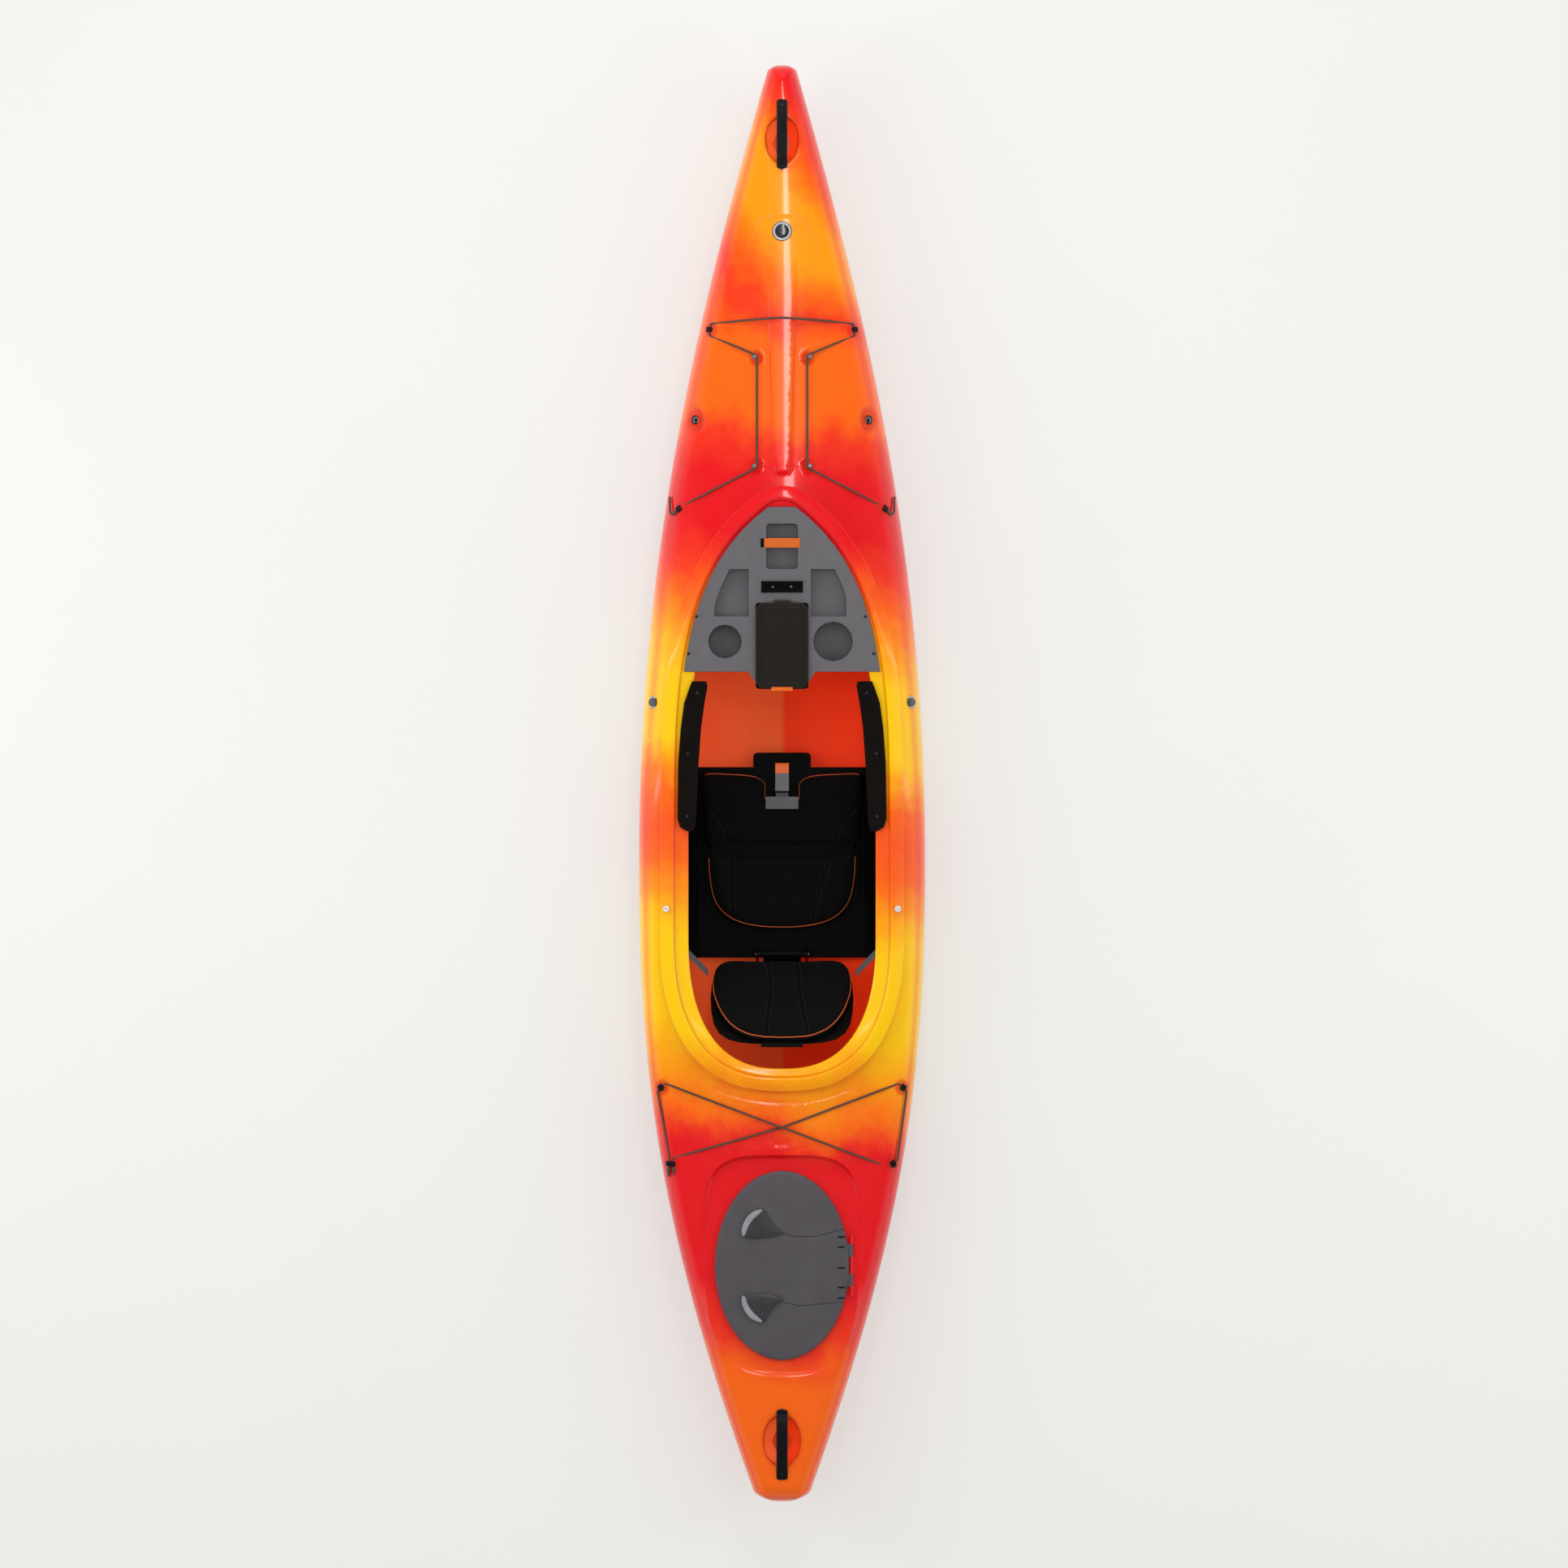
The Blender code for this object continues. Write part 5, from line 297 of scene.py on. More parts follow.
@dataclass(frozen=True)
class RotomouldedShell(Finish):
    """Polyethylene powder fused in a hot turning mould.

    Two or three powders melt into each other, so the colours run in soft, grainy
    clouds along the boat. The skin is glossy, with a faint orange peel.
    """

    bands: tuple[tuple[float, Tone], ...] = ()
    skew: float = 0.12
    bow_drift: float = 1.5
    stretch: Triple = (1.6, 0.8, 1.0)
    cloud_mm: float = 260.0
    sponge_mm: float = 34.0
    grain_mm: float = 5.0
    peel_mm: float = 9.0
    speck_mm: float = 2.4
    recesses: tuple[Four, ...] = (
        (0.0, 1.703, 0.047, 0.066), (0.0, -1.741, 0.052, 0.072), (0.268, 0.7295, 0.020, 0.022),
        (0.188, 1.204, 0.018, 0.020), (0.318, -0.805, 0.020, 0.022), (0.292, -1.008, 0.020, 0.024),
        (0.228, 0.965, 0.024, 0.036), (0.067, 0.845, 0.020, 0.020), (0.067, 1.126, 0.020, 0.020),
    )

    def painted_recess_shade(self, canvas: Canvas) -> Socket:
        """Share of painted shade in the recesses: full inside the nearest recess, none outside it.

        Args:
            canvas: Material that is laid out.

        Returns:
            The share, 0 to 1.
        """
        folded = canvas.add("VectorMath", canvas.place, operation="ABSOLUTE")
        across = canvas.add("VectorMath", folded, (1.0, 0.0, 0.0), operation="MULTIPLY")
        along = canvas.add("VectorMath", canvas.place, (0.0, 1.0, 0.0), operation="MULTIPLY")
        place = canvas.add("VectorMath", across, along, operation="ADD")
        reaches = []
        for x, y, wide, long in self.recesses:
            away = canvas.add("VectorMath", place, (x, y, 0.0), operation="SUBTRACT")
            scaled = canvas.add("VectorMath", away, (1 / wide, 1 / long, 0.0), operation="MULTIPLY")
            reaches.append(canvas.add("VectorMath", scaled, operation="LENGTH"))
        return canvas.add("MapRange", canvas.least(reaches), 0.7, 1.2, 0.62, 0.0, interpolation_type="SMOOTHSTEP")

    def walls(self, canvas: Canvas) -> Socket:
        """Share of painted shade, a deeper tone, on the steep walls of the deck's forms."""
        upward = canvas.add("SeparateXYZ", canvas.facing, output="Z")
        steep = canvas.add("MapRange", upward, 0.80, 0.60, interpolation_type="SMOOTHSTEP")
        return canvas.add("Math", steep, canvas.add("MapRange", upward, 0.4, 0.6, 0.0, 0.6), operation="MULTIPLY")

    def blended(self, canvas: Canvas) -> Socket:
        """Tones along the boat, their edges roughened by clouds, sponge marks and grain.

        Args:
            canvas: Material that is laid out.

        Returns:
            The colour.
        """
        along = canvas.add("SeparateXYZ", canvas.place, output="Y")
        bow = canvas.add("MapRange", along, 1.15, 1.65, self.skew, self.bow_drift, interpolation_type="SMOOTHSTEP")
        stretched = canvas.add("VectorMath", canvas.place, self.stretch, operation="MULTIPLY")
        slanted = canvas.add("Math", canvas.add("SeparateXYZ", canvas.place, output="X"), bow, operation="MULTIPLY")
        total = canvas.add("Math", along, slanted, operation="ADD")
        for size, detail, place, low, high, reach in (
                (self.cloud_mm, 2.0, stretched, 0.3, 0.7, 0.045),
                (self.sponge_mm, 4.0, None, 0.25, 0.75, 0.018),
                (self.grain_mm, 2.0, None, 0.2, 0.8, 0.014)):
            shift = canvas.patches(size, detail, low, high, -reach, reach, place)
            total = canvas.add("Math", total, shift, operation="ADD")
        low, high = self.bands[0][0], self.bands[-1][0]
        colour = canvas.add("ValToRGB", canvas.add("MapRange", total, low, high))
        stops = colour.node.color_ramp.elements
        stops.remove(stops[-1])
        for i, (place, tone) in enumerate(self.bands):
            share = (place - low) / (high - low)
            stop = stops.new(share) if i else stops[0]
            stop.position, stop.color = share, linear(tone.value)
        return colour

    def paint(self, canvas: Canvas) -> None:
        """Blended tones with painted shade on the steep walls and in the recesses, under a clear gloss.

        Args:
            canvas: Material that is laid out.
        """
        # Painted shade: the steep walls of the forms are multiplied towards a deeper tone.
        tone = canvas.add("Mix", self.walls(canvas), self.blended(canvas), "#ef9a78", data_type="RGBA",
                          blend_type="MULTIPLY")
        # Painted shade: the recesses are mixed towards deep red.
        tone = canvas.add("Mix", self.painted_recess_shade(canvas), tone, "#cf1606", data_type="RGBA")
        speck = canvas.patches(self.speck_mm, 1.0, 0.62, 0.78, 0.0, 0.10)
        stretched = canvas.add("VectorMath", canvas.place, self.stretch, operation="MULTIPLY")
        canvas.set(Base_Color=canvas.add("Mix", speck, tone, "#c81a10", data_type="RGBA"),
                   Roughness=canvas.patches(90.0, 3.0, 0.3, 0.75, 0.22, 0.3, stretched),
                   Specular_IOR_Level=0.2, Coat_Weight=0.7, Coat_Roughness=0.07)
        canvas.relief(0.03, canvas.add("TexNoise", canvas.place, 1000 / self.peel_mm, 1.0))


@dataclass(frozen=True)
class RotomouldedInside(Finish):
    """Inner face of the rotomoulded shell: one red-orange powder, matt and lightly pebbled.

    Daylight comes through the thin polyethylene; a painted glow in the inside's own tones stands in for it.
    """

    light: str = "#ff6c34"
    deep: str = "#ff3403"
    glow: float = 0.11

    def paint(self, canvas: Canvas) -> None:
        """Cloud two close tones, with painted shade that deepens the tone to starboard of the keel line.

        Args:
            canvas: Material that is laid out.
        """
        clouds = canvas.patches(240.0, 2.0, 0.3, 0.7, 0.0, 0.35)
        across = canvas.add("SeparateXYZ", canvas.place, output="X")
        # Painted shade: the starboard half of the inside is mixed towards the deeper tone.
        starboard = canvas.add("MapRange", across, -0.003, 0.010, 0.0, 0.85)
        tone = canvas.add("Mix", clouds, self.light, self.deep, data_type="RGBA")
        tone = canvas.add("Mix", starboard, tone, self.deep, data_type="RGBA")
        speck = canvas.patches(2.4, 2.0, 0.55, 0.75, 0.0, 0.18)
        # The emission is a painted glow, not a lamp.
        canvas.set(Base_Color=canvas.add("Mix", speck, tone, "#c22c0c", data_type="RGBA"),
                   Emission_Color=tone, Emission_Strength=self.glow,
                   Roughness=canvas.patches(12.0, 3.0, 0.3, 0.7, 0.42, 0.6), Specular_IOR_Level=0.12)
        canvas.relief(0.3, canvas.add("TexNoise", canvas.place, 1000 / 7.0, 3.0))


@dataclass(frozen=True)
class MouldedPlastic(Finish):
    """Injection-moulded plastic with a spark-eroded grain.

    The grain breaks the gloss into a fine satin, handled places are smoother, and
    dust and scuffs lie in soft patches.
    """

    colour: str = "#202022"
    worn: str = "#3a3a3d"
    roughness: float = 0.5
    grain_mm: float = 1.2
    grain_depth: float = 0.06
    mottle: float = 0.35
    gloss: float = 0.5

    def tone(self, canvas: Canvas) -> Socket:
        """Colour with soft patches and a fine scatter of worn specks.

        Args:
            canvas: Material that is laid out.

        Returns:
            The colour.
        """
        patches = canvas.patches(38.0, 5.0, 0.4, 0.75, 0.0, self.mottle)
        fine = canvas.patches(self.grain_mm * 1.4, 1.0, 0.55, 0.8, 0.0, self.mottle * 0.7)
        tone = canvas.add("Mix", patches, self.colour, self.worn, data_type="RGBA")
        return canvas.add("Mix", fine, tone, self.worn, data_type="RGBA")

    def handled(self, canvas: Canvas, less: float, more: float) -> Socket:
        """Roughness that is less where hands and dust have been, and more elsewhere."""
        return canvas.patches(55.0, 3.0, 0.3, 0.7, self.roughness - less, self.roughness + more)

    def paint(self, canvas: Canvas) -> None:
        """Grained plastic of one colour.

        Args:
            canvas: Material that is laid out.
        """
        spread = 0.24 * self.mottle
        canvas.set(Base_Color=self.tone(canvas), Roughness=self.handled(canvas, spread, spread),
                   Specular_IOR_Level=self.gloss)
        grain = canvas.add("TexVoronoi", canvas.place, 1000 / self.grain_mm)
        canvas.relief(self.grain_depth, grain, 0.12, canvas.add("TexNoise", canvas.place, 1000 / 9.0, 2.0))


@dataclass(frozen=True)
class TippedPlastic(MouldedPlastic):
    """Two-shot moulding: a grip of a second colour forward of a line."""

    tip: str = "#f06c16"
    tip_y: float = 29 * MM

    def tone(self, canvas: Canvas) -> Socket:
        """Body colour, and the grip's colour past its line."""
        along = canvas.add("SeparateXYZ", canvas.place, output="Y")
        forward = canvas.add("MapRange", along, self.tip_y - GAP, self.tip_y + GAP)
        return canvas.add("Mix", forward, super().tone(canvas), self.tip, data_type="RGBA")


@dataclass(frozen=True)
class HatchPlastic(MouldedPlastic):
    """Moulded lid plastic with pressed panel lines and slots at its hinge, with painted shade in the lines and painted
    shadow in the slots.
    """

    lines: tuple[tuple[Pair, ...], ...] = ()
    slots: tuple[Triple, ...] = ()
    line_half: float = 2.2 * MM
    slot_half: float = 2.6 * MM

    def paint(self, canvas: Canvas) -> None:
        """Grained plastic with its lines and slots pressed into its top.

        Args:
            canvas: Material that is laid out.
        """
        top = canvas.add("MapRange", canvas.add("SeparateXYZ", canvas.facing, output="Z"), 0.0, 0.2)
        line = canvas.least([canvas.segment(*ends) for line in self.lines for ends in zip(line, line[1:])])
        near = canvas.add("MapRange", line, 0.0, self.line_half, 1.0, 0.0, interpolation_type="SMOOTHSTEP")
        panel = canvas.add("Math", top, near, operation="MULTIPLY")
        hole = canvas.least([canvas.segment((x0, y), (x1, y)) for x0, x1, y in self.slots])
        near = canvas.add("MapRange", hole, self.slot_half * 0.6, self.slot_half, 1.0, 0.0)
        slot = canvas.add("Math", top, near, operation="MULTIPLY")
        # Painted shade: the pressed lines are darkened towards dark grey.
        shade = canvas.add("Math", panel, 0.75, operation="MULTIPLY")
        tone = canvas.add("Mix", shade, self.tone(canvas), "#2a292b", data_type="RGBA")
        # Painted shadow: the slots are coloured near black.
        canvas.set(Base_Color=canvas.add("Mix", slot, tone, "#070707", data_type="RGBA"),
                   Roughness=self.handled(canvas, 0.07, 0.1))
        pressed = canvas.add("Math", 1.0, canvas.add("Math", panel, slot, operation="MAXIMUM"), operation="SUBTRACT")
        grain = canvas.add("TexVoronoi", canvas.place, 1000 / self.grain_mm)
        uneven = canvas.add("TexNoise", canvas.place, 1000 / 14.0, 2.0)
        canvas.relief(1.6, pressed, self.grain_depth, grain, 0.2, uneven)


@dataclass(frozen=True)
class StainlessSteel(Finish):
    """Stainless steel, tumbled: bright, with a fine random haze and a few dull spots."""

    colour: str = "#c9c9cc"
    roughness: float = 0.28

    def paint(self, canvas: Canvas) -> None:
        """Haze and spots on a metal base.

        Args:
            canvas: Material that is laid out.
        """
        spots = canvas.patches(2.5, 4.0, 0.45, 0.75, 0.0, 0.5)
        haze = canvas.patches(1.1, 3.0, 0.3, 0.7, self.roughness, self.roughness + 0.18)
        tone = canvas.add("Mix", spots, self.colour, "#8d8d92", data_type="RGBA")
        canvas.set(Base_Color=tone, Roughness=haze, Metallic=1.0)
        canvas.relief(0.02, canvas.add("TexNoise", canvas.place, 1000 / 0.8, 2.0))


@dataclass(frozen=True)
class DomedBadge(Finish):
    """Plain badge under clear resin: a dark face inside a brushed silver ring."""

    centre: Pair = (0.0, 0.0)
    radius: float = 26 * MM
    face: str = "#26262b"
    ring: str = "#c8c8cc"

    def paint(self, canvas: Canvas) -> None:
        """Ring and face by their distance from the badge's middle.

        Args:
            canvas: Material that is laid out.
        """
        flat = canvas.add("VectorMath", canvas.place, (1.0, 1.0, 0.0), operation="MULTIPLY")
        away = canvas.add("VectorMath", flat, (*self.centre, 0.0), operation="DISTANCE")
        share = canvas.add("Math", away, self.radius, operation="DIVIDE")
        within = canvas.add("MapRange", share, 0.90, 0.93, 1.0, 0.0)
        ring = canvas.add("Math", canvas.add("MapRange", share, 0.70, 0.74), within, operation="MULTIPLY")
        haze = canvas.patches(0.9, 2.0, 0.35, 0.7)
        face = canvas.add("Mix", haze, self.face, "#35353b", data_type="RGBA")
        silver = canvas.add("Mix", haze, self.ring, "#a2a2a8", data_type="RGBA")
        tone = canvas.add("Mix", ring, face, silver, data_type="RGBA")
        canvas.set(Base_Color=tone, Roughness=canvas.patches(6.0, 3.0, 0.3, 0.7, 0.12, 0.26), Coat_Weight=0.6)
        canvas.relief(0.25, ring, 0.03, canvas.add("TexNoise", canvas.place, 1000 / 1.4, 3.0))


@dataclass(frozen=True)
class PadFabric(Finish):
    """Stretch polyester laminated on foam: a fine dull knit with a slight sheen.

    The real knit is about 0.7 mm; it is drawn at 1.6 mm so that it shows.
    """

    colour: str = "#070708"
    raised: str = "#131315"
    knit_mm: float = 1.6

    def paint(self, canvas: Canvas) -> None:
        """Crossed ribs of thread with lint and soft shading.

        Args:
            canvas: Material that is laid out.
        """
        ribs = []
        for turn in (math.radians(45), math.radians(-45)):
            turned = canvas.add("Mapping", canvas.place, None, (0, 0, turn))
            ribs.append(canvas.add("TexWave", turned, canvas.wave_scale(self.knit_mm), 0.6, 0.0, output="Fac"))
        knit = canvas.add("Math", *ribs, operation="MULTIPLY")
        lint = canvas.patches(22.0, 6.0, 0.35, 0.8, 0.0, 0.6)
        tone = canvas.add("Mix", canvas.add("MapRange", knit, 0.15, 0.85), self.colour, self.raised, data_type="RGBA")
        canvas.set(Base_Color=canvas.add("Mix", lint, tone, "#0c0c0d", data_type="RGBA"),
                   Roughness=canvas.add("MapRange", knit, 0.0, 1.0, 0.8, 0.95),
                   Specular_IOR_Level=0.12, Sheen_Weight=0.02, Sheen_Roughness=0.5)
        canvas.relief(0.25, knit, 1.2, canvas.add("TexNoise", canvas.place, 1000 / 45.0, 2.0))


@dataclass(frozen=True)
class WovenStrap(Finish):
    """Flat woven webbing: ribs across the strap, a flatter selvedge, slightly shiny yarn.

    It reads the strap's own UV map: U across, V along, both in metres.
    """

    colour: str = "#77777c"
    shadow: str = "#38383c"
    rib_mm: float = 2.4
    yarn_mm: float = 1.6

    def paint(self, canvas: Canvas) -> None:
        """Ribs and yarns that follow the strap.

        Args:
            canvas: Material that is laid out.
        """
        place = canvas.add("UVMap")
        waves = []
        for axis, pitch, height in (("Y", self.rib_mm, 1.0), ("X", self.yarn_mm, 0.6)):
            run = canvas.add("SeparateXYZ", place, output=axis)
            turn = canvas.add("Math", run, 2 * math.pi / (pitch * MM), operation="MULTIPLY")
            waves.append(canvas.add("Math", canvas.add("Math", turn, operation="SINE"), height, operation="MULTIPLY"))
        weave = canvas.add("MapRange", canvas.add("Math", *waves, operation="ADD"), -1.6, 1.6)
        fuzz = canvas.patches(1.0, 3.0, 0.3, 0.75, 0.0, 0.4)
        tone = canvas.add("Mix", weave, self.shadow, self.colour, data_type="RGBA")
        canvas.set(Base_Color=canvas.add("Mix", fuzz, tone, self.colour, data_type="RGBA"),
                   Roughness=canvas.add("MapRange", weave, 0.0, 1.0, 0.85, 0.6))
        canvas.relief(0.5, weave, 0.15, canvas.add("TexNoise", canvas.place, 1000 / 1.2, 3.0))


@dataclass(frozen=True)
class BraidedCord(Finish):
    """Round cord in a braided sleeve: slanted plaits that cross, with odd tracer yarns.

    It reads the cord's own UV map: U round it from 0 to 1, V along it in metres.
    """

    colour: str = "#8b6350"
    tracer: str = "#5d4d46"
    plaits: float = 6.0
    pitch_mm: float = 9.0

    def paint(self, canvas: Canvas) -> None:
        """Crossing plaits from two slanted waves.

        Args:
            canvas: Material that is laid out.
        """
        place = canvas.add("UVMap")
        turns = 2 * math.pi * self.plaits
        around = canvas.add("Math", canvas.add("SeparateXYZ", place, output="X"), turns, operation="MULTIPLY")
        run = canvas.add("SeparateXYZ", place, output="Y")
        along = canvas.add("Math", run, turns / (self.pitch_mm * MM), operation="MULTIPLY")
        one, two = (canvas.add("Math", canvas.add("Math", around, along, operation=way), operation="SINE")
                    for way in ("ADD", "SUBTRACT"))
        braid = canvas.add("MapRange", canvas.add("Math", one, two, operation="MAXIMUM"), -0.2, 1.0)
        tracer = canvas.add("MapRange", one, 0.55, 0.9, 0.0, 0.8)
        # Painted shade: the hollows between the plaits are darkened to dark brown.
        tone = canvas.add("Mix", braid, "#3a2a24", self.colour, data_type="RGBA")
        canvas.set(Base_Color=canvas.add("Mix", tracer, tone, self.tracer, data_type="RGBA"),
                   Roughness=canvas.add("MapRange", braid, 0.0, 1.0, 0.9, 0.65))
        canvas.relief(0.5, braid, 0.1, canvas.add("TexNoise", canvas.place, 1000 / 0.9, 3.0))


@dataclass(frozen=True)
class SpunThread(Finish):
    """Bonded polyester thread or covered piping: twisted yarn with a soft shine."""

    colour: str = "#e0672c"
    shadow: str = "#8c3612"
    twist_mm: float = 1.4

    def paint(self, canvas: Canvas) -> None:
        """Slanted twist on object coordinates.

        Args:
            canvas: Material that is laid out.
        """
        twist = canvas.add("TexWave", canvas.place, canvas.wave_scale(self.twist_mm), 1.5, 1.0, output="Fac",
                           bands_direction="DIAGONAL")
        lit = canvas.add("MapRange", twist, 0.1, 0.7)
        canvas.set(Base_Color=canvas.add("Mix", lit, self.shadow, self.colour, data_type="RGBA"),
                   Roughness=canvas.add("MapRange", twist, 0.0, 1.0, 0.75, 0.5))
        canvas.relief(0.2, twist)


@dataclass(frozen=True)
class ClosedCellFoam(Finish):
    """Cut polyethylene foam: dull grey with open cells and knife marks."""

    colour: str = "#6b6c70"
    cell_mm: float = 2.2

    def paint(self, canvas: Canvas) -> None:
        """Small cells that catch the light at their walls.

        Args:
            canvas: Material that is laid out.
        """
        wall = canvas.add("MapRange", canvas.add("TexVoronoi", canvas.place, 1000 / self.cell_mm), 0.1, 0.6)
        canvas.set(Base_Color=canvas.add("Mix", wall, "#4a4b4e", self.colour, data_type="RGBA"),
                   Roughness=canvas.patches(15.0, 3.0, 0.3, 0.7, 0.85, 0.98))
        canvas.relief(0.5, wall, 0.6, canvas.add("TexNoise", canvas.place, 1000 / 25.0, 2.0))


# Geometry helpers


def linked(name: str, mesh: Mesh) -> Thing:
    """Put a mesh into the scene as an object at the origin."""
    thing = bpy.data.objects.new(name, mesh)
    bpy.context.scene.collection.objects.link(thing)
    return thing


def evaluated(thing: Thing) -> Mesh:
    """Take the object's mesh with its modifiers applied."""
    bpy.context.view_layer.update()
    return bpy.data.meshes.new_from_object(thing.evaluated_get(bpy.context.evaluated_depsgraph_get()))


def discard(thing: Thing) -> None:
    """Remove a working object."""
    bpy.data.objects.remove(thing, do_unlink=True)


def settle(name: str, mesh: Mesh, finishes: Sequence[Finish], body: Body | None,
           stands_for: Sequence[str] = (), crease: float = 40.0) -> Thing:
    """Finish a new piece: its materials, shading, body and the solids it stands for.

    Args:
        name: Name of the piece.
        mesh: Its mesh, in the shared frame.
        finishes: Finishes in the order of the mesh's material indices; empty keeps its own.
        body: Body that it rides on, or None to leave it on no body.
        stands_for: Solids that it replaces.
        crease: Angle in degrees past which an edge stays sharp.

    Returns:
        The finished object.
    """
    mesh.name = name
    thing = linked(name, mesh)
    for finish in finishes:
        mesh.materials.append(finish.material())
    mesh.shade_smooth()
    mesh.set_sharp_from_angle(angle=math.radians(crease))
    if stands_for:
        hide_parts(*stands_for)
    if body is not None:
        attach(thing, body.value)
    LOG.info("%s: %d faces on %s", name, len(mesh.polygons), body.value if body else "two bodies")
    return thing


def dress(finish: Finish, *nodes: str) -> None:
    """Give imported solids, which keep their meshes, a detailed finish.

    Args:
        finish: The finish.
        nodes: Names of the solids.
    """
    for node in nodes:
        for slot in frame["nodes"][node].material_slots:
            slot.material = finish.material()
        LOG.info("%s: dressed in %s", node, finish.name)


def unit(rows: Array) -> Array:
    """Rows brought to a length of one."""
    return rows / np.maximum(np.linalg.norm(rows, axis=1, keepdims=True), 1e-12)


def runs_of(line: Array) -> Array:
    """Distance along a line at each of its points."""
    return np.concatenate(([0.0], np.cumsum(np.linalg.norm(np.diff(line, axis=0), axis=1))))


def offset_loop(loop: Array, distance: float) -> Array:
    """Move a closed plan loop along its outward normals.

    Args:
        loop: Loop of plan points.
        distance: How far out; inwards if negative.

    Returns:
        The moved loop.
    """
    turning = np.sum(loop[:, 0] * np.roll(loop[:, 1], -1) - np.roll(loop[:, 0], -1) * loop[:, 1])
    legs = unit(np.roll(loop, -1, axis=0) - loop)
    along = unit(legs + np.roll(legs, 1, axis=0))
    return loop + math.copysign(1.0, turning) * distance * np.stack((along[:, 1], -along[:, 0]), axis=1)


def resampled(line: Array, step: float, closed: bool = True) -> Array:
    """Points along a line about a step apart.

    Args:
        line: Points of the line.
        step: Wanted spacing.
        closed: Whether it is a loop.

    Returns:
        The new points.
    """
    whole = np.vstack((line, line[:1])) if closed else np.asarray(line)
    runs = runs_of(whole)
    wanted = np.linspace(0.0, runs[-1], max(3, round(runs[-1] / step)) + 1)
    points = np.stack([np.interp(wanted, runs, whole[:, k]) for k in range(whole.shape[1])], axis=1)
    return points[:-1] if closed else points


def rounded(loop: Array, times: int = 2, closed: bool = True) -> Array:
    """Cut the corners of a line again and again until it is smooth.

    Args:
        loop: Points of the line.
        times: How often its corners are cut.
        closed: Whether it is a loop.

    Returns:
        The smoother line.
    """
    line = np.asarray(loop, float)
    for _ in range(times):
        after = np.roll(line, -1, axis=0) if closed else line[1:]
        before = line if closed else line[:-1]
        cut = np.stack((before * 0.75 + after * 0.25, before * 0.25 + after * 0.75), axis=1)
        cut = cut.reshape(-1, line.shape[1])
        line = cut if closed else np.vstack((line[:1], cut, line[-1:]))
    return line


def inside(points: Array, loop: Array) -> Array:
    """Which points lie inside a closed loop, seen from above.

    Args:
        points: Points to test.
        loop: The loop.

    Returns:
        True for each point inside.
    """
    x, y = points[:, 0], points[:, 1]
    found = np.zeros(len(points), bool)
    previous = loop[-1]
    for current in loop:
        fall = previous[1] - current[1]
        if fall:
            edge = current[0] + (previous[0] - current[0]) * (y - current[1]) / fall
            found ^= ((current[1] > y) != (previous[1] > y)) & (x < edge)
        previous = current
    return found


def grid_inside(loop: Array, outline: Array, step: float) -> Array:
    """Grid points a step apart in the outline's box that lie inside a loop."""
    low, high = outline.min(axis=0), outline.max(axis=0)
    spots = np.array([(x, y) for x in np.arange(low[0], high[0], step) for y in np.arange(low[1], high[1], step)])
    return spots[inside(spots, loop)]


def soft_step(value: Array) -> Array:
    """Smooth rise from 0 to 1 between 0 and 1."""
    t = np.clip(value, 0.0, 1.0)
    return t * t * (3 - 2 * t)


def lifted(loop: Array, height: Height | float) -> Array:
    """A plan loop with its heights."""
    tall = height(loop[:, 0], loop[:, 1]) if callable(height) else np.full(len(loop), height)
    return np.column_stack((loop[:, 0], loop[:, 1], tall))


def oval(half_width: float, half_length: float, y: float, powers: Pair, count: int) -> Array:
    """Closed plan loop, squarer than an ellipse by one power ahead and one behind its centre.

    Args:
        half_width: Half its width.
        half_length: Half its length.
        y: Its centre along the boat.
        powers: Power ahead of the centre and behind it; 2 is an ellipse.
        count: Its points.

    Returns:
        The loop.
    """
    turn = np.linspace(0, 2 * math.pi, count, endpoint=False)
    across, along = np.sin(turn), np.cos(turn)
    power = 2 / np.where(along > 0, powers[0], powers[1])
    x = half_width * np.sign(across) * np.abs(across) ** power
    return np.column_stack((x, y + half_length * np.sign(along) * np.abs(along) ** power))


def eased_profile(loops: Sequence[Array], radius: float, steps: int = 4) -> list[Array]:
    """Round the corners of a profile that is swept round a loop.

    Args:
        loops: Lines with as many points, one for each corner of the profile.
        radius: Reach of each rounding along both legs.
        steps: Points in each rounding.

    Returns:
        More lines, with the first and last as they were.
    """
    lines = [loops[0]]
    for before, corner, after in zip(loops, loops[1:], loops[2:]):
        into, out = before - corner, after - corner
        legs = [np.linalg.norm(leg, axis=1, keepdims=True) for leg in (into, out)]
        reach = np.minimum(radius, np.minimum(legs[0], legs[1]) * 0.42)
        start = corner + into / np.maximum(legs[0], 1e-9) * reach
        end = corner + out / np.maximum(legs[1], 1e-9) * reach
        for k in range(steps):
            t = k / (steps - 1)
            lines.append(start * (1 - t) ** 2 + corner * 2 * t * (1 - t) + end * t * t)
    lines.append(loops[-1])
    return lines


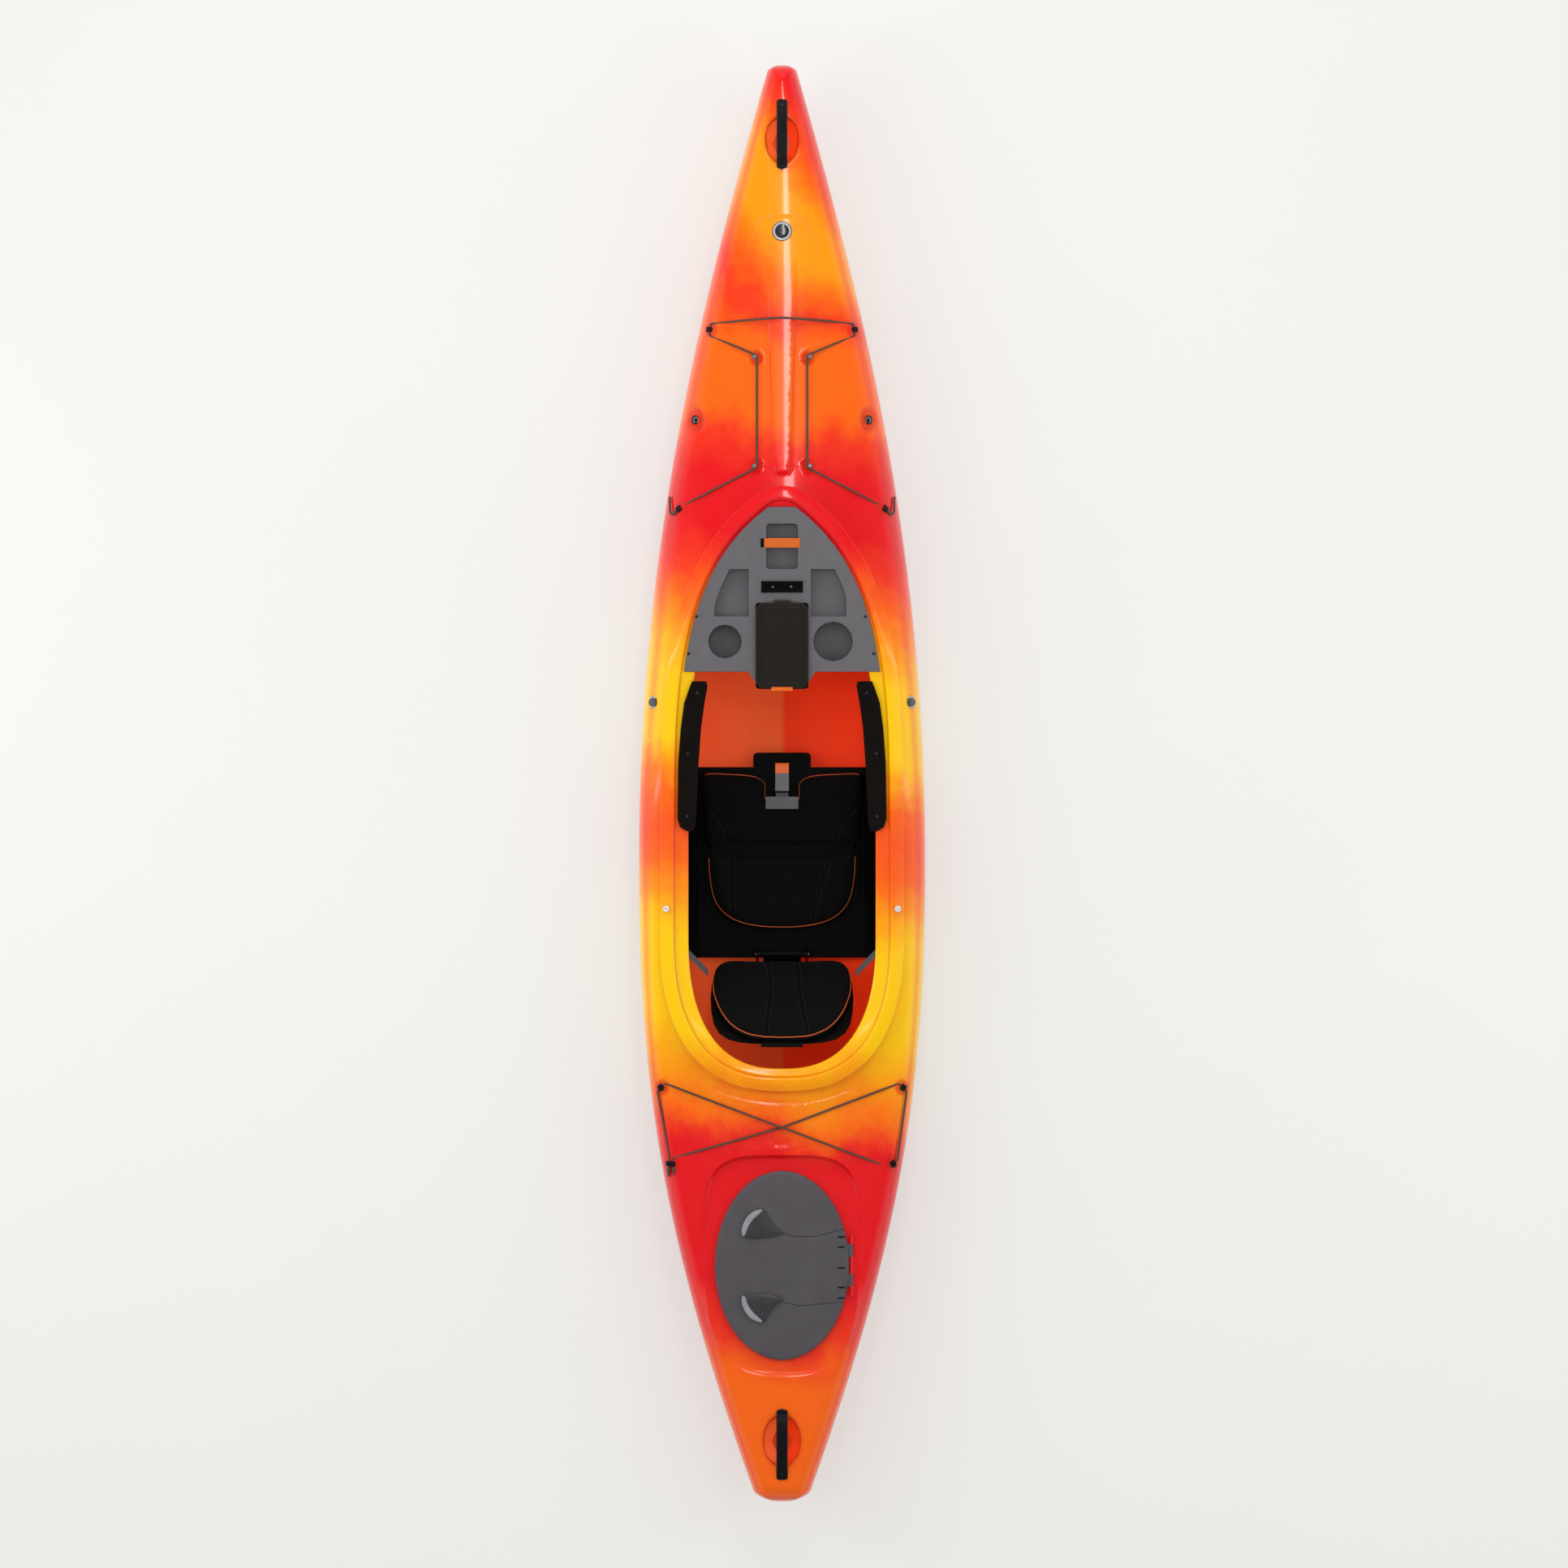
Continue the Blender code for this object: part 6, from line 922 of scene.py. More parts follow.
class Skin:
    """Faces gathered by their points, which share vertices where they meet."""

    def __init__(self) -> None:
        """Start with no faces."""
        self.index: dict[tuple[int, int, int], int] = {}
        self.points: list[Triple] = []
        self.faces: list[list[int]] = []
        self.kinds: list[int] = []

    def ids(self, points: Array) -> list[int]:
        """Vertex numbers of points, new or known.

        Args:
            points: Points, one in each row.

        Returns:
            Their numbers.
        """
        found = []
        for point, key in zip(points.tolist(), map(tuple, np.round(points * 1e6).astype(np.int64).tolist())):
            if key not in self.index:
                self.index[key] = len(self.points)
                self.points.append(tuple(point))
            found.append(self.index[key])
        return found

    def face(self, ids: Sequence[int], kind: int = 0) -> None:
        """Add one face, unless it has collapsed.

        Args:
            ids: Vertex numbers round the face.
            kind: Its material index.
        """
        kept = list(dict.fromkeys(ids))
        if len(kept) > 2:
            self.faces.append(kept)
            self.kinds.append(kind)

    def bands(self, lines: Sequence[Array], closed: bool = True, kind: int = 0) -> None:
        """Quads between each line and the next.

        Args:
            lines: Lines with as many points.
            closed: Whether each line is a loop.
            kind: Material index of the faces.
        """
        rows = [self.ids(line) for line in lines]
        for first, second in zip(rows, rows[1:]):
            count = len(first)
            for i in range(count if closed else count - 1):
                j = (i + 1) % count
                self.face((first[i], first[j], second[j], second[i]), kind)

    def fill(self, outer: Array, holes: Sequence[Array] = (), rings: Sequence[Array] = (),
             points: Array | None = None, height: Height | None = None, kind: int = 0) -> None:
        """Triangles between an outer loop and its holes.

        Args:
            outer: Outer loop with heights.
            holes: Loops with heights that stay open.
            rings: Loops with heights that the faces follow.
            points: Plan points inside, which get their height from the function.
            height: Height of the surface.
            kind: Material index of the faces.
        """
        loops = [outer, *holes, *rings]
        edges, start = [], 0
        for loop in loops:
            count = len(loop)
            edges += [(start + i, start + (i + 1) % count) for i in range(count)]
            start += count
        given = np.vstack(loops)
        if points is not None and len(points):
            given = np.vstack((given, lifted(points, height)))
        flat = [Vector(p) for p in given[:, :2].tolist()]
        verts, _, tris, origins, _, _ = delaunay_2d_cdt(flat, edges, [], 0, 1e-7)
        places = np.zeros((len(verts), 3))
        places[:, :2] = [tuple(v) for v in verts]
        known = np.array([bool(origin) for origin in origins])
        places[known] = given[[origin[0] for origin in origins if origin]]
        if not known.all():
            rest = places[~known]
            places[~known, 2] = height(rest[:, 0], rest[:, 1])
        corners = np.array([tri[:3] for tri in tris])
        middles = places[corners, :2].mean(axis=1)
        keep = inside(middles, outer)
        for hole in holes:
            keep &= ~inside(middles, hole)
        ids = self.ids(places)
        for a, b, c in corners[keep].tolist():
            self.face((ids[a], ids[b], ids[c]), kind)

    def mesh(self, frame_of: Matrix | None = None) -> Mesh:
        """The gathered faces as a closed mesh with its faces pointing out.

        Args:
            frame_of: Frame that they were made in, or None for the shared one.

        Returns:
            The mesh.
        """
        data = bpy.data.meshes.new("made")
        data.from_pydata(self.points, [], self.faces)
        data.polygons.foreach_set("material_index", self.kinds)
        made = bmesh.new()
        made.from_mesh(data)
        bmesh.ops.recalc_face_normals(made, faces=made.faces)
        return finished(made, frame_of)


def lofted(rows: Sequence[Array], texture: Callable[[int, int], Pair] | None = None, tips: Sequence[Array] = (),
           frame_of: Matrix | None = None) -> Mesh:
    """Closed mesh through rings of points.

    Args:
        rows: Rings with as many points.
        texture: UV place of a ring's point and row, by their numbers, or None for no UV map.
        tips: Points that close the first and last ring, which are flat faces without them.
        frame_of: Frame that the points are given in.

    Returns:
        The mesh, with its faces pointing out.
    """
    made = bmesh.new()
    uv = made.loops.layers.uv.new("UVMap") if texture else None
    rings = [[made.verts.new(point) for point in row] for row in rows]
    count = len(rings[0])
    for i, (first, second) in enumerate(zip(rings, rings[1:])):
        for k in range(count):
            j = (k + 1) % count
            face = made.faces.new((first[k], first[j], second[j], second[k]))
            if texture:
                for loop, spot in zip(face.loops, ((k, i), (k + 1, i), (k + 1, i + 1), (k, i + 1))):
                    loop[uv].uv = texture(*spot)
    for ring, place in zip((rings[0], rings[-1]), tips):
        tip = made.verts.new(place)
        for k in range(count):
            made.faces.new((ring[k], ring[(k + 1) % count], tip))
    if not len(tips):
        made.faces.new(rings[0])
        made.faces.new(rings[-1])
    bmesh.ops.recalc_face_normals(made, faces=made.faces)
    return finished(made, frame_of)


def finished(made: bmesh.types.BMesh, frame_of: Matrix | None) -> Mesh:
    """Mesh of the gathered faces, moved out of the frame that they were made in.

    Args:
        made: Gathered faces, which are freed.
        frame_of: Frame that they were made in, or None for the shared one.

    Returns:
        The mesh.
    """
    if frame_of is not None:
        made.transform(frame_of)
    data = bpy.data.meshes.new("made")
    made.to_mesh(data)
    made.free()
    return data


def tube(line: Array, radii: Array | float, sides: int = 12) -> Mesh:
    """Round tube with closed ends and a UV map: U round it, V along it in metres.

    Args:
        line: Points of the centreline.
        radii: Radius at each point, or one for all.
        sides: Faces round the tube.

    Returns:
        The mesh.
    """
    line, radii = np.asarray(line, float), np.broadcast_to(radii, len(line))
    along, runs = unit(np.gradient(line, axis=0)), runs_of(line)
    side = np.cross(along[0], (0.0, 0.0, 1.0) if abs(along[0][2]) < 0.9 else (1.0, 0.0, 0.0))
    turns = np.arange(sides)[:, None] * 2 * math.pi / sides
    rows = []
    for point, direction, radius in zip(line, along, radii):
        side = side - direction * side.dot(direction)
        side /= np.linalg.norm(side)
        rows.append(point + radius * (side * np.cos(turns) + np.cross(direction, side) * np.sin(turns)))
    reach = radii[0] * 0.35
    tips = (line[0] - along[0] * reach, line[-1] + along[-1] * reach)
    return lofted(rows, lambda k, i: (k / sides, runs[i]), tips)


def strap_mesh(line: Array, across: Vector, half: float, thick: float, frame_of: Matrix | None = None) -> Mesh:
    """Flat strap with soft edges along a line, and a UV map in metres.

    Args:
        line: Points of the strap's middle.
        across: Direction of its width.
        half: Half its width.
        thick: Its thickness.
        frame_of: Frame that the points are given in.

    Returns:
        The mesh.
    """
    line, across = np.asarray(line, float), np.array(across)
    along, runs = unit(np.gradient(line, axis=0)), runs_of(line)
    wide = unit(across - along * (along @ across)[:, None])
    up = np.cross(wide, along)
    over = [(-0.93, 0.42), (-0.8, 0.5), (-0.3, 0.5), (0.3, 0.5), (0.8, 0.5), (0.93, 0.42)]
    under = [(0.93, -0.42), (0.8, -0.5), (-0.8, -0.5), (-0.93, -0.42)]
    shares = np.array([(-1, 0.0), *over, (1, 0.0), *under])
    rows = [place + shares[:, :1] * half * direction + shares[:, 1:] * thick * normal
            for place, direction, normal in zip(line, wide, up)]
    return lofted(rows, lambda k, i: (shares[k % len(shares), 0] * half, runs[i]), frame_of=frame_of)


class Touch:
    """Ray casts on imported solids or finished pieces."""

    def __init__(self, *things: Thing) -> None:
        """Gather the faces of the objects.

        Args:
            things: Objects to cast on.
        """
        points: list[Vector] = []
        faces: list[list[int]] = []
        for thing in things:
            start = len(points)
            points += [vert.co.copy() for vert in thing.data.vertices]
            faces += [[start + i for i in face.vertices] for face in thing.data.polygons]
        self.tree = BVHTree.FromPolygons(points, faces)

    @classmethod
    def on(cls, *nodes: str) -> "Touch":
        """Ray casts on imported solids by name."""
        return cls(*[frame["nodes"][node] for node in nodes])

    def above(self, x: float, y: float, start: float = 1.0) -> tuple[Vector, Vector]:
        """Place and normal of the first surface below a starting height.

        Args:
            x: Place across the boat.
            y: Place along the boat.
            start: Height that the ray starts from.

        Returns:
            Place and normal.
        """
        place, normal, _, _ = self.tree.ray_cast(Vector((x, y, start)), Vector((0, 0, -1)))
        if place is None:
            place, normal, _, _ = self.tree.find_nearest(Vector((x, y, 0.3)))
        return place, normal if normal.z > 0 else -normal


# Geometry Nodes


class Recipe:
    """A Geometry Nodes tree with named inputs, run once on a mesh to make a plain mesh."""

    def __init__(self, name: str, inputs: dict[str, tuple[str, object]]) -> None:
        """Start a tree.

        Args:
            name: Name of the tree.
            inputs: Socket type and default of each named input after the geometry.
        """
        self.tree = bpy.data.node_groups.new(name, "GeometryNodeTree")
        self.tree.interface.new_socket("Geometry", in_out="INPUT", socket_type="NodeSocketGeometry")
        for label, (kind, value) in inputs.items():
            socket = self.tree.interface.new_socket(label, in_out="INPUT", socket_type=kind)
            if value is not None:
                socket.default_value = value
        self.tree.interface.new_socket("Geometry", in_out="OUTPUT", socket_type="NodeSocketGeometry")
        self.given = self.tree.nodes.new("NodeGroupInput").outputs
        self.result = self.tree.nodes.new("NodeGroupOutput")

    def step(self, kind: str, inputs: dict | None = None, output: int | str = 0, **settings: object) -> Socket:
        """Add a node to the tree and take one of its outputs."""
        return add(self.tree, kind, inputs or {}, **settings).outputs[output]

    def end(self, geometry: Socket) -> None:
        """Finish the tree: real geometry with the given finish.

        Args:
            geometry: What the tree has made.
        """
        real = self.step("GeometryNodeRealizeInstances", {0: geometry})
        smooth = self.step("GeometryNodeSetShadeSmooth", {0: real})
        dressed = self.step("GeometryNodeSetMaterial", {0: smooth, "Material": self.given["Finish"]})
        self.tree.links.new(dressed, self.result.inputs[0])

    def run(self, mesh: Mesh, values: dict[str, object]) -> Mesh:
        """Run the tree on a mesh.

        Args:
            mesh: Points or lines that the tree works on.
            values: Value of each named input.

        Returns:
            The plain mesh that it makes.
        """
        holder = linked("holder", mesh)
        modifier = holder.modifiers.new("make", "NODES")
        modifier.node_group = self.tree
        for item in self.tree.interface.items_tree:
            if item.in_out == "INPUT" and item.name in values:
                modifier[item.identifier] = values[item.name]
        made = evaluated(holder)
        discard(holder)
        return made


def stitch_recipe() -> Recipe:
    """Stitches laid end to end along a line.

    Returns:
        The tree.
    """
    recipe = Recipe("stitch_row", {
        "Spacing": ("NodeSocketFloat", 5.0 * MM), "Stitch": ("NodeSocketFloat", 3.4 * MM),
        "Thread": ("NodeSocketFloat", 0.5 * MM), "Finish": ("NodeSocketMaterial", None),
    })
    given = recipe.given
    curve = recipe.step("GeometryNodeMeshToCurve", {0: given["Geometry"]})
    spread = recipe.step("GeometryNodeResampleCurve", {"Curve": curve, "Length": given["Spacing"]}, mode="LENGTH")
    bead = recipe.step("GeometryNodeMeshUVSphere", {"Segments": 6, "Rings": 5, "Radius": 1.0})
    half = recipe.step("ShaderNodeMath", {0: given["Stitch"], 1: 0.5}, operation="MULTIPLY")
    size = recipe.step("ShaderNodeCombineXYZ", {"X": given["Thread"], "Y": given["Thread"], "Z": half})
    tangent = recipe.step("GeometryNodeInputTangent")
    turn = recipe.step("FunctionNodeAlignRotationToVector", {"Vector": tangent}, axis="Z")
    recipe.end(recipe.step("GeometryNodeInstanceOnPoints", {"Points": spread, "Instance": bead, "Rotation": turn,
                                                            "Scale": size}))
    return recipe


def piping_recipe() -> Recipe:
    """Round piping along a line.

    Returns:
        The tree.
    """
    recipe = Recipe("piping", {
        "Radius": ("NodeSocketFloat", 1.6 * MM), "Sides": ("NodeSocketInt", 8),
        "Step": ("NodeSocketFloat", 4 * MM), "Finish": ("NodeSocketMaterial", None),
    })
    given = recipe.given
    curve = recipe.step("GeometryNodeMeshToCurve", {0: given["Geometry"]})
    even = recipe.step("GeometryNodeResampleCurve", {"Curve": curve, "Length": given["Step"]}, mode="LENGTH")
    circle = recipe.step("GeometryNodeCurvePrimitiveCircle", {"Resolution": given["Sides"], "Radius": given["Radius"]})
    recipe.end(recipe.step("GeometryNodeCurveToMesh", {"Curve": even, "Profile Curve": circle, "Fill Caps": True}))
    return recipe


def fastener_recipe() -> Recipe:
    """One head set on each point, turned to the point's own facing and spin.

    Returns:
        The tree.
    """
    recipe = Recipe("fasteners", {
        "Head": ("NodeSocketObject", None), "Size": ("NodeSocketFloat", 1.0), "Seed": ("NodeSocketInt", 7),
        "Finish": ("NodeSocketMaterial", None),
    })
    given = recipe.given
    head = recipe.step("GeometryNodeObjectInfo", {"Object": given["Head"]}, "Geometry")
    facing = recipe.step("GeometryNodeInputNamedAttribute", {"Name": "facing"}, "Attribute", data_type="FLOAT_VECTOR")
    spin = recipe.step("FunctionNodeRandomValue", {2: 0.0, 3: 6.283, "Seed": given["Seed"]}, 1, data_type="FLOAT")
    level = recipe.step("ShaderNodeCombineXYZ", {"Z": spin})
    turned = recipe.step("FunctionNodeEulerToRotation", {0: level})
    lean = recipe.step("FunctionNodeAlignRotationToVector", {"Rotation": turned, "Vector": facing}, axis="Z")
    recipe.end(recipe.step("GeometryNodeInstanceOnPoints", {"Points": given["Geometry"], "Instance": head,
                                                            "Rotation": lean, "Scale": given["Size"]}))
    return recipe


def line_mesh(lines: Sequence[Array], closed: bool = False) -> Mesh:
    """Edges along one or more lines of points.

    Args:
        lines: Lines of points.
        closed: Whether each is a loop.

    Returns:
        A mesh without faces.
    """
    points, edges = [], []
    for line in lines:
        start, count = len(points), len(line)
        points += [tuple(p) for p in np.asarray(line)]
        edges += [(start + i, start + (i + 1) % count) for i in range(count if closed else count - 1)]
    data = bpy.data.meshes.new("made")
    data.from_pydata(points, edges, [])
    return data


def point_mesh(spots: Sequence[tuple[Vector, Vector]]) -> Mesh:
    """Loose points with the direction that each one faces.

    Args:
        spots: Places and their facings.

    Returns:
        A mesh without edges.
    """
    data = bpy.data.meshes.new("made")
    data.from_pydata([tuple(place) for place, _ in spots], [], [])
    facing = data.attributes.new("facing", "FLOAT_VECTOR", "POINT")
    facing.data.foreach_set("vector", [c for _, normal in spots for c in normal])
    return data


def screw_head(radius: float, rise: float, recess: float) -> Thing:
    """Pan head with a cross recess, its underside at the origin and its top along +Z.

    Args:
        radius: Its radius.
        rise: Its height.
        recess: Depth of the cross.

    Returns:
        A working object for the tree that sets the heads.
    """
    turn = 2 * math.pi * np.arange(24) / 24
    around = np.column_stack((np.cos(turn), np.sin(turn)))
    arms = np.tile((0.42, 0.3, 0.3, 0.16, 0.3, 0.3), 4)[:, None]
    profile = ((1.0, 0.0), (1.0, 0.45), (0.9, 0.78), (0.72, 0.94), (0.55, 1.0), (arms, 1.0),
               (arms * 0.8, 1 - recess / rise))
    return linked("screw_head", lofted([lifted(around * radius * share, rise * height) for share, height in profile]))


# The boat's form


@dataclass(frozen=True)
class BoatForm:
    """Heights and half widths of the boat, from the same values as the solids."""

    length: float = 3.81
    beam: float = 0.762
    widest_y: float = -0.2
    bow: Four = (0.035, 2.05, 5.0, 0.018)
    stern: Four = (0.066, 2.42, 4.7, 0.030)
    sheer_mid: float = 0.185
    sheer_rise: Pair = (0.112, 0.060)
    sheer_power: Pair = (2.2, 3.0)
    flat_keel: float = 0.9
    rocker: float = 0.032
    stems: Pair = (0.330, 0.260)
    tip_depth: float = 0.042
    keel_strip: float = 0.032
    fullness: Triple = (2.7, 1.25, 1.5)
    wall: float = 0.005
    edge: Pair = (0.055, 0.050)
    crown_power: float = 2.2
    crown: tuple[Pair, ...] = (
        (-1.905, 0.003), (-1.55, 0.018), (-1.28, 0.026), (-0.95, 0.030), (-0.78, 0.034), (-0.35, 0.075),
        (0.10, 0.100), (0.35, 0.118), (0.80, 0.086), (1.30, 0.052), (1.70, 0.022), (1.905, 0.003),
    )
    crest_side: float = 0.302
    crest_rear: Pair = (0.310, -0.784)
    crest_slope: Triple = (0.12, -0.180, 0.220)
    wells: tuple[Triple, ...] = ((1.703, 0.047, 0.066), (-1.741, 0.052, 0.072))
    well_depth: float = 0.030
    well_draft: float = 0.012
    spine: Four = (0.818, 1.400, 0.027, 0.043)
    spine_rise: Triple = (0.009, 0.009, 0.150)
    hood: Four = (1.352, 1.506, 0.122, 0.057)
    hood_rise: Pair = (0.008, 0.008)
    form_depth: float = 0.0035
    form_slope: float = 0.007
    step: Four = (0.203, -0.800, -0.834, -0.852)
    channel: Triple = (0.036, 0.027, -0.938)
    insert: Four = (0.228, 0.965, 0.024, 0.034)
    screws: tuple[tuple[float, float, int], ...] = ((0.073, 0.841, -1), (0.073, 1.130, 1))
    boss: Four = (0.0045, 0.030, 0.012, 0.008)
    boss_turn: float = 0.55
    boss_spread: float = math.radians(66)
    hatch: Triple = (-1.277, 0.1785, 0.251)
    hatch_seat_height: float = 0.269
    hatch_tilt: float = 0.045

    def crowned(self, y: Array) -> Array:
        """Smooth curve through the crown stations.

        Args:
            y: Places along the boat.

        Returns:
            Rise of the crown.
        """
        xs, values = np.array(self.crown).T
        place = np.clip(y, xs[0], xs[-1])
        k = np.clip(np.searchsorted(xs, place, side="right") - 1, 0, len(xs) - 2)
        order = np.arange(len(xs))
        low, high = np.maximum(order - 1, 0), np.minimum(order + 1, len(xs) - 1)
        slopes = (values[high] - values[low]) / (xs[high] - xs[low])
        span = xs[k + 1] - xs[k]
        t = (place - xs[k]) / span
        return (values[k] * (1 + 2 * t) * (1 - t) ** 2 + slopes[k] * span * t * (1 - t) ** 2
                + values[k + 1] * t * t * (3 - 2 * t) + slopes[k + 1] * span * t * t * (t - 1))

    def share(self, y: Array) -> Array:
        """0 at the widest station, 1 at either tip."""
        end = np.where(y > self.widest_y, self.length / 2, -self.length / 2)
        return np.minimum((y - self.widest_y) / (end - self.widest_y), 1.0)

    def half_beam(self, y: Array, inset: float = 0.0) -> Array:
        """Half the width at y of the sheer line, or of a line inset from it.

        Args:
            y: Places along the boat.
            inset: Distance inside the sheer line.

        Returns:
            Half widths.
        """
        y = np.asarray(y, float)
        t = self.share(y)
        tip, taper, spread, rounding = (np.where(y > self.widest_y, a, b) for a, b in zip(self.bow, self.stern))
        half = self.beam / 2 * (1 - t ** taper) + tip * t ** spread - inset
        past = np.maximum(0.0, 1 - (self.length / 2 - inset - np.abs(y)) / rounding)
        return half * np.sqrt(np.maximum(0.0, 1 - past * past))

    def sheer(self, y: Array) -> Array:
        """Height of the line where hull and deck meet."""
        fore, aft = np.maximum(y, 0.0), np.maximum(-y, 0.0)
        return (self.sheer_mid + self.sheer_rise[0] * (2 * fore / self.length) ** self.sheer_power[0]
                + self.sheer_rise[1] * (2 * aft / self.length) ** self.sheer_power[1])

    def keel(self, y: Array) -> Array:
        """Height of the keel line: flat, then rocker, then the stem.

        Args:
            y: Places along the boat.

        Returns:
            Heights.
        """
        half = self.length / 2
        along = np.maximum(0.0, np.abs(y) - self.flat_keel) / (half - self.flat_keel)
        rocker = self.rocker * along ** 2
        stem = np.where(y > 0, self.stems[0], self.stems[1])
        s = np.clip(1 - (half - np.abs(y)) / stem, 0.0, 1.0)
        return rocker + (self.sheer(y) - self.tip_depth - rocker) * (1 - np.sqrt(1 - s ** 2.4))

    def section(self, y: float, shares: Array, wall: float = 0.0) -> Array:
        """Half section from keel to sheer, as rows of x and z.

        Args:
            y: Station along the boat.
            shares: Places on the section, from 0 at the keel to 1.
            wall: Inset of the inner face, or 0 for the outer one.

        Returns:
            Rows of x and z.
        """
        half = float(self.half_beam(y, wall))
        top = float(self.sheer(np.float64(y)))
        keel = float(self.keel(np.float64(y + math.copysign(wall, y)))) + wall
        strip = 0.0 if wall else self.keel_strip * min(1.0, half / (self.beam / 4))
        t = float(self.share(np.float64(y)))
        end = self.fullness[1] if y > self.widest_y else self.fullness[2]
        power = 2 / (self.fullness[0] + (end - self.fullness[0]) * t * t)
        turn = shares * math.pi / 2
        across = strip + (half - strip) * np.sin(turn) ** power
        up = keel + (top - keel) * (1 - np.maximum(np.cos(turn), 0.0) ** power)
        return np.vstack(((0.0, keel), np.column_stack((across, up))))

    def plain_deck(self, x: Array, y: Array) -> Array:
        """Height of the crowned deck without its forms.

        Args:
            x: Places across the boat.
            y: Places along the boat.

        Returns:
            Heights.
        """
        half = self.half_beam(y)
        u = np.minimum(np.abs(x) / np.maximum(half, 1e-9), 1.0)
        reach = np.minimum(half - np.abs(x), self.length / 2 - np.abs(y)) / self.edge[1]
        s = np.clip(reach, 0.0, 1.0)
        rise = self.edge[0] * np.sqrt(1 - (1 - s) ** 2)
        return self.sheer(y) + rise + self.crowned(y) * (1 - u ** self.crown_power)

    def crest(self, y: Array) -> Array:
        """Height of the crest of the cockpit rim.

        Args:
            y: Places along the boat.

        Returns:
            Heights.
        """
        slope, start, full = self.crest_slope
        up = np.clip(y, start, full) - start
        ramp = slope * up ** 2 / (2 * (full - start)) + slope * np.maximum(y - full, 0.0)
        back = np.clip((start - y) / (start - self.crest_rear[1]), 0.0, 1.0)
        return self.crest_side + ramp + (self.crest_rear[0] - self.crest_side) * back ** 2

    def hatch_seat(self, y: Array) -> Array:
        """Height of the floor that the hatch lid stands over."""
        return self.hatch_seat_height + self.hatch_tilt * (self.hatch[0] - y)

    def wells_at(self, x: Array, y: Array) -> Array:
        """Depth of the two handle wells.

        Args:
            x: Places across the boat.
            y: Places along the boat.

        Returns:
            Depths.
        """
        depth = np.zeros_like(x)
        for centre, wide, long in self.wells:
            reach = np.hypot(x / wide, (y - centre) / long)
            depth += self.well_depth * soft_step((1 - reach) / (self.well_draft / wide))
        return depth

    def raised(self, x: Array, y: Array) -> Array:
        """Rise of the spine and the hood of the fore deck.

        Args:
            x: Places across the boat.
            y: Places along the boat.

        Returns:
            Rises.
        """
        rear, front, rear_half, front_half = self.spine
        rise, band, fade = self.spine_rise
        t = (y - rear) / (front - rear)
        into = np.clip((y - rear) / rear_half, 0.0, 1.0)
        half = (rear_half + (front_half - rear_half) * t) * np.sqrt(1 - (1 - into) ** 2)
        within = np.minimum(half - np.abs(x), y - rear) / band
        total = rise * soft_step(within) * np.clip((front - y) / fade, 0.0, 1.0)
        rear, front, rear_half, front_half = self.hood
        rise, band = self.hood_rise
        half = front_half + (rear_half - front_half) * (front - y) / (front - rear)
        within = np.minimum(half - np.abs(x), front - y) / band
        fall = np.clip((y - rear) / (front - rear), 0.0, 1.0)
        return total + rise * soft_step(within) * fall

    def rounded_box(self, x: Array, y: Array, half: Pair, corner: float) -> Array:
        """Distance inside a rounded rectangle about the origin.

        Args:
            x: Places across the boat.
            y: Places along the boat.
            half: Half its sides.
            corner: Radius of its corners.

        Returns:
            Distances, negative outside.
        """
        dx, dy = np.abs(x) - half[0] + corner, np.abs(y) - half[1] + corner
        outside = np.hypot(np.maximum(dx, 0.0), np.maximum(dy, 0.0))
        return corner - outside - np.minimum(np.maximum(dx, dy), 0.0)

    def small_forms(self, x: Array, y: Array) -> Array:
        """Step behind the rim, finger channel, insert recesses and screw bosses.

        Args:
            x: Places across the boat.
            y: Places along the boat.

        Returns:
            Rises, negative in recesses.
        """
        half, ends, fore, aft = self.step
        u = np.abs(x) / half
        low, high = (middle + (ends - middle) * u * u for middle in (aft, fore))
        s = (high - y) / np.maximum(high - low, 1e-6)
        dip = soft_step(s / 0.7) * soft_step((1.0 - s) / 0.3)
        total = -self.form_depth * dip * soft_step((1 - u) / 0.15) * (u < 1)
        wide, long, middle = self.channel
        deep = self.rounded_box(x, y - middle, (wide, long), long * 0.8)
        total -= self.form_depth * soft_step(deep / self.form_slope)
        place_x, place_y, wide, long = self.insert
        deep = self.rounded_box(np.abs(x) - place_x, y - place_y, (wide, long), wide * 0.7)
        total -= self.form_depth * soft_step(deep / self.form_slope)
        rise, radius, offset, width = self.boss
        for screw_x, screw_y, away in self.screws:
            facing = math.atan2(away * self.boss_turn, -1.0)
            dx = np.abs(x) - screw_x + offset * math.cos(facing)
            dy = y - screw_y + offset * math.sin(facing)
            turn = np.arctan2(dy, dx) - facing
            turn = np.abs(np.arctan2(np.sin(turn), np.cos(turn))) / self.boss_spread
            reach = width / 2 * np.maximum(1 - turn * turn, 1e-3)
            ridge = 1 - np.abs(np.hypot(dx, dy) - radius) / reach
            total += rise * soft_step(ridge) * (turn < 1) * soft_step((1 - turn) / 0.3)
        return total

    def deck(self, x: Array, y: Array) -> Array:
        """Height of the deck's outer surface."""
        return self.plain_deck(x, y) + self.raised(x, y) - self.wells_at(x, y) + self.small_forms(x, y)

    def deck_inside(self, x: Array, y: Array) -> Array:
        """Height of the deck's inner surface."""
        return self.plain_deck(x, y) - self.wells_at(x, y) - self.wall


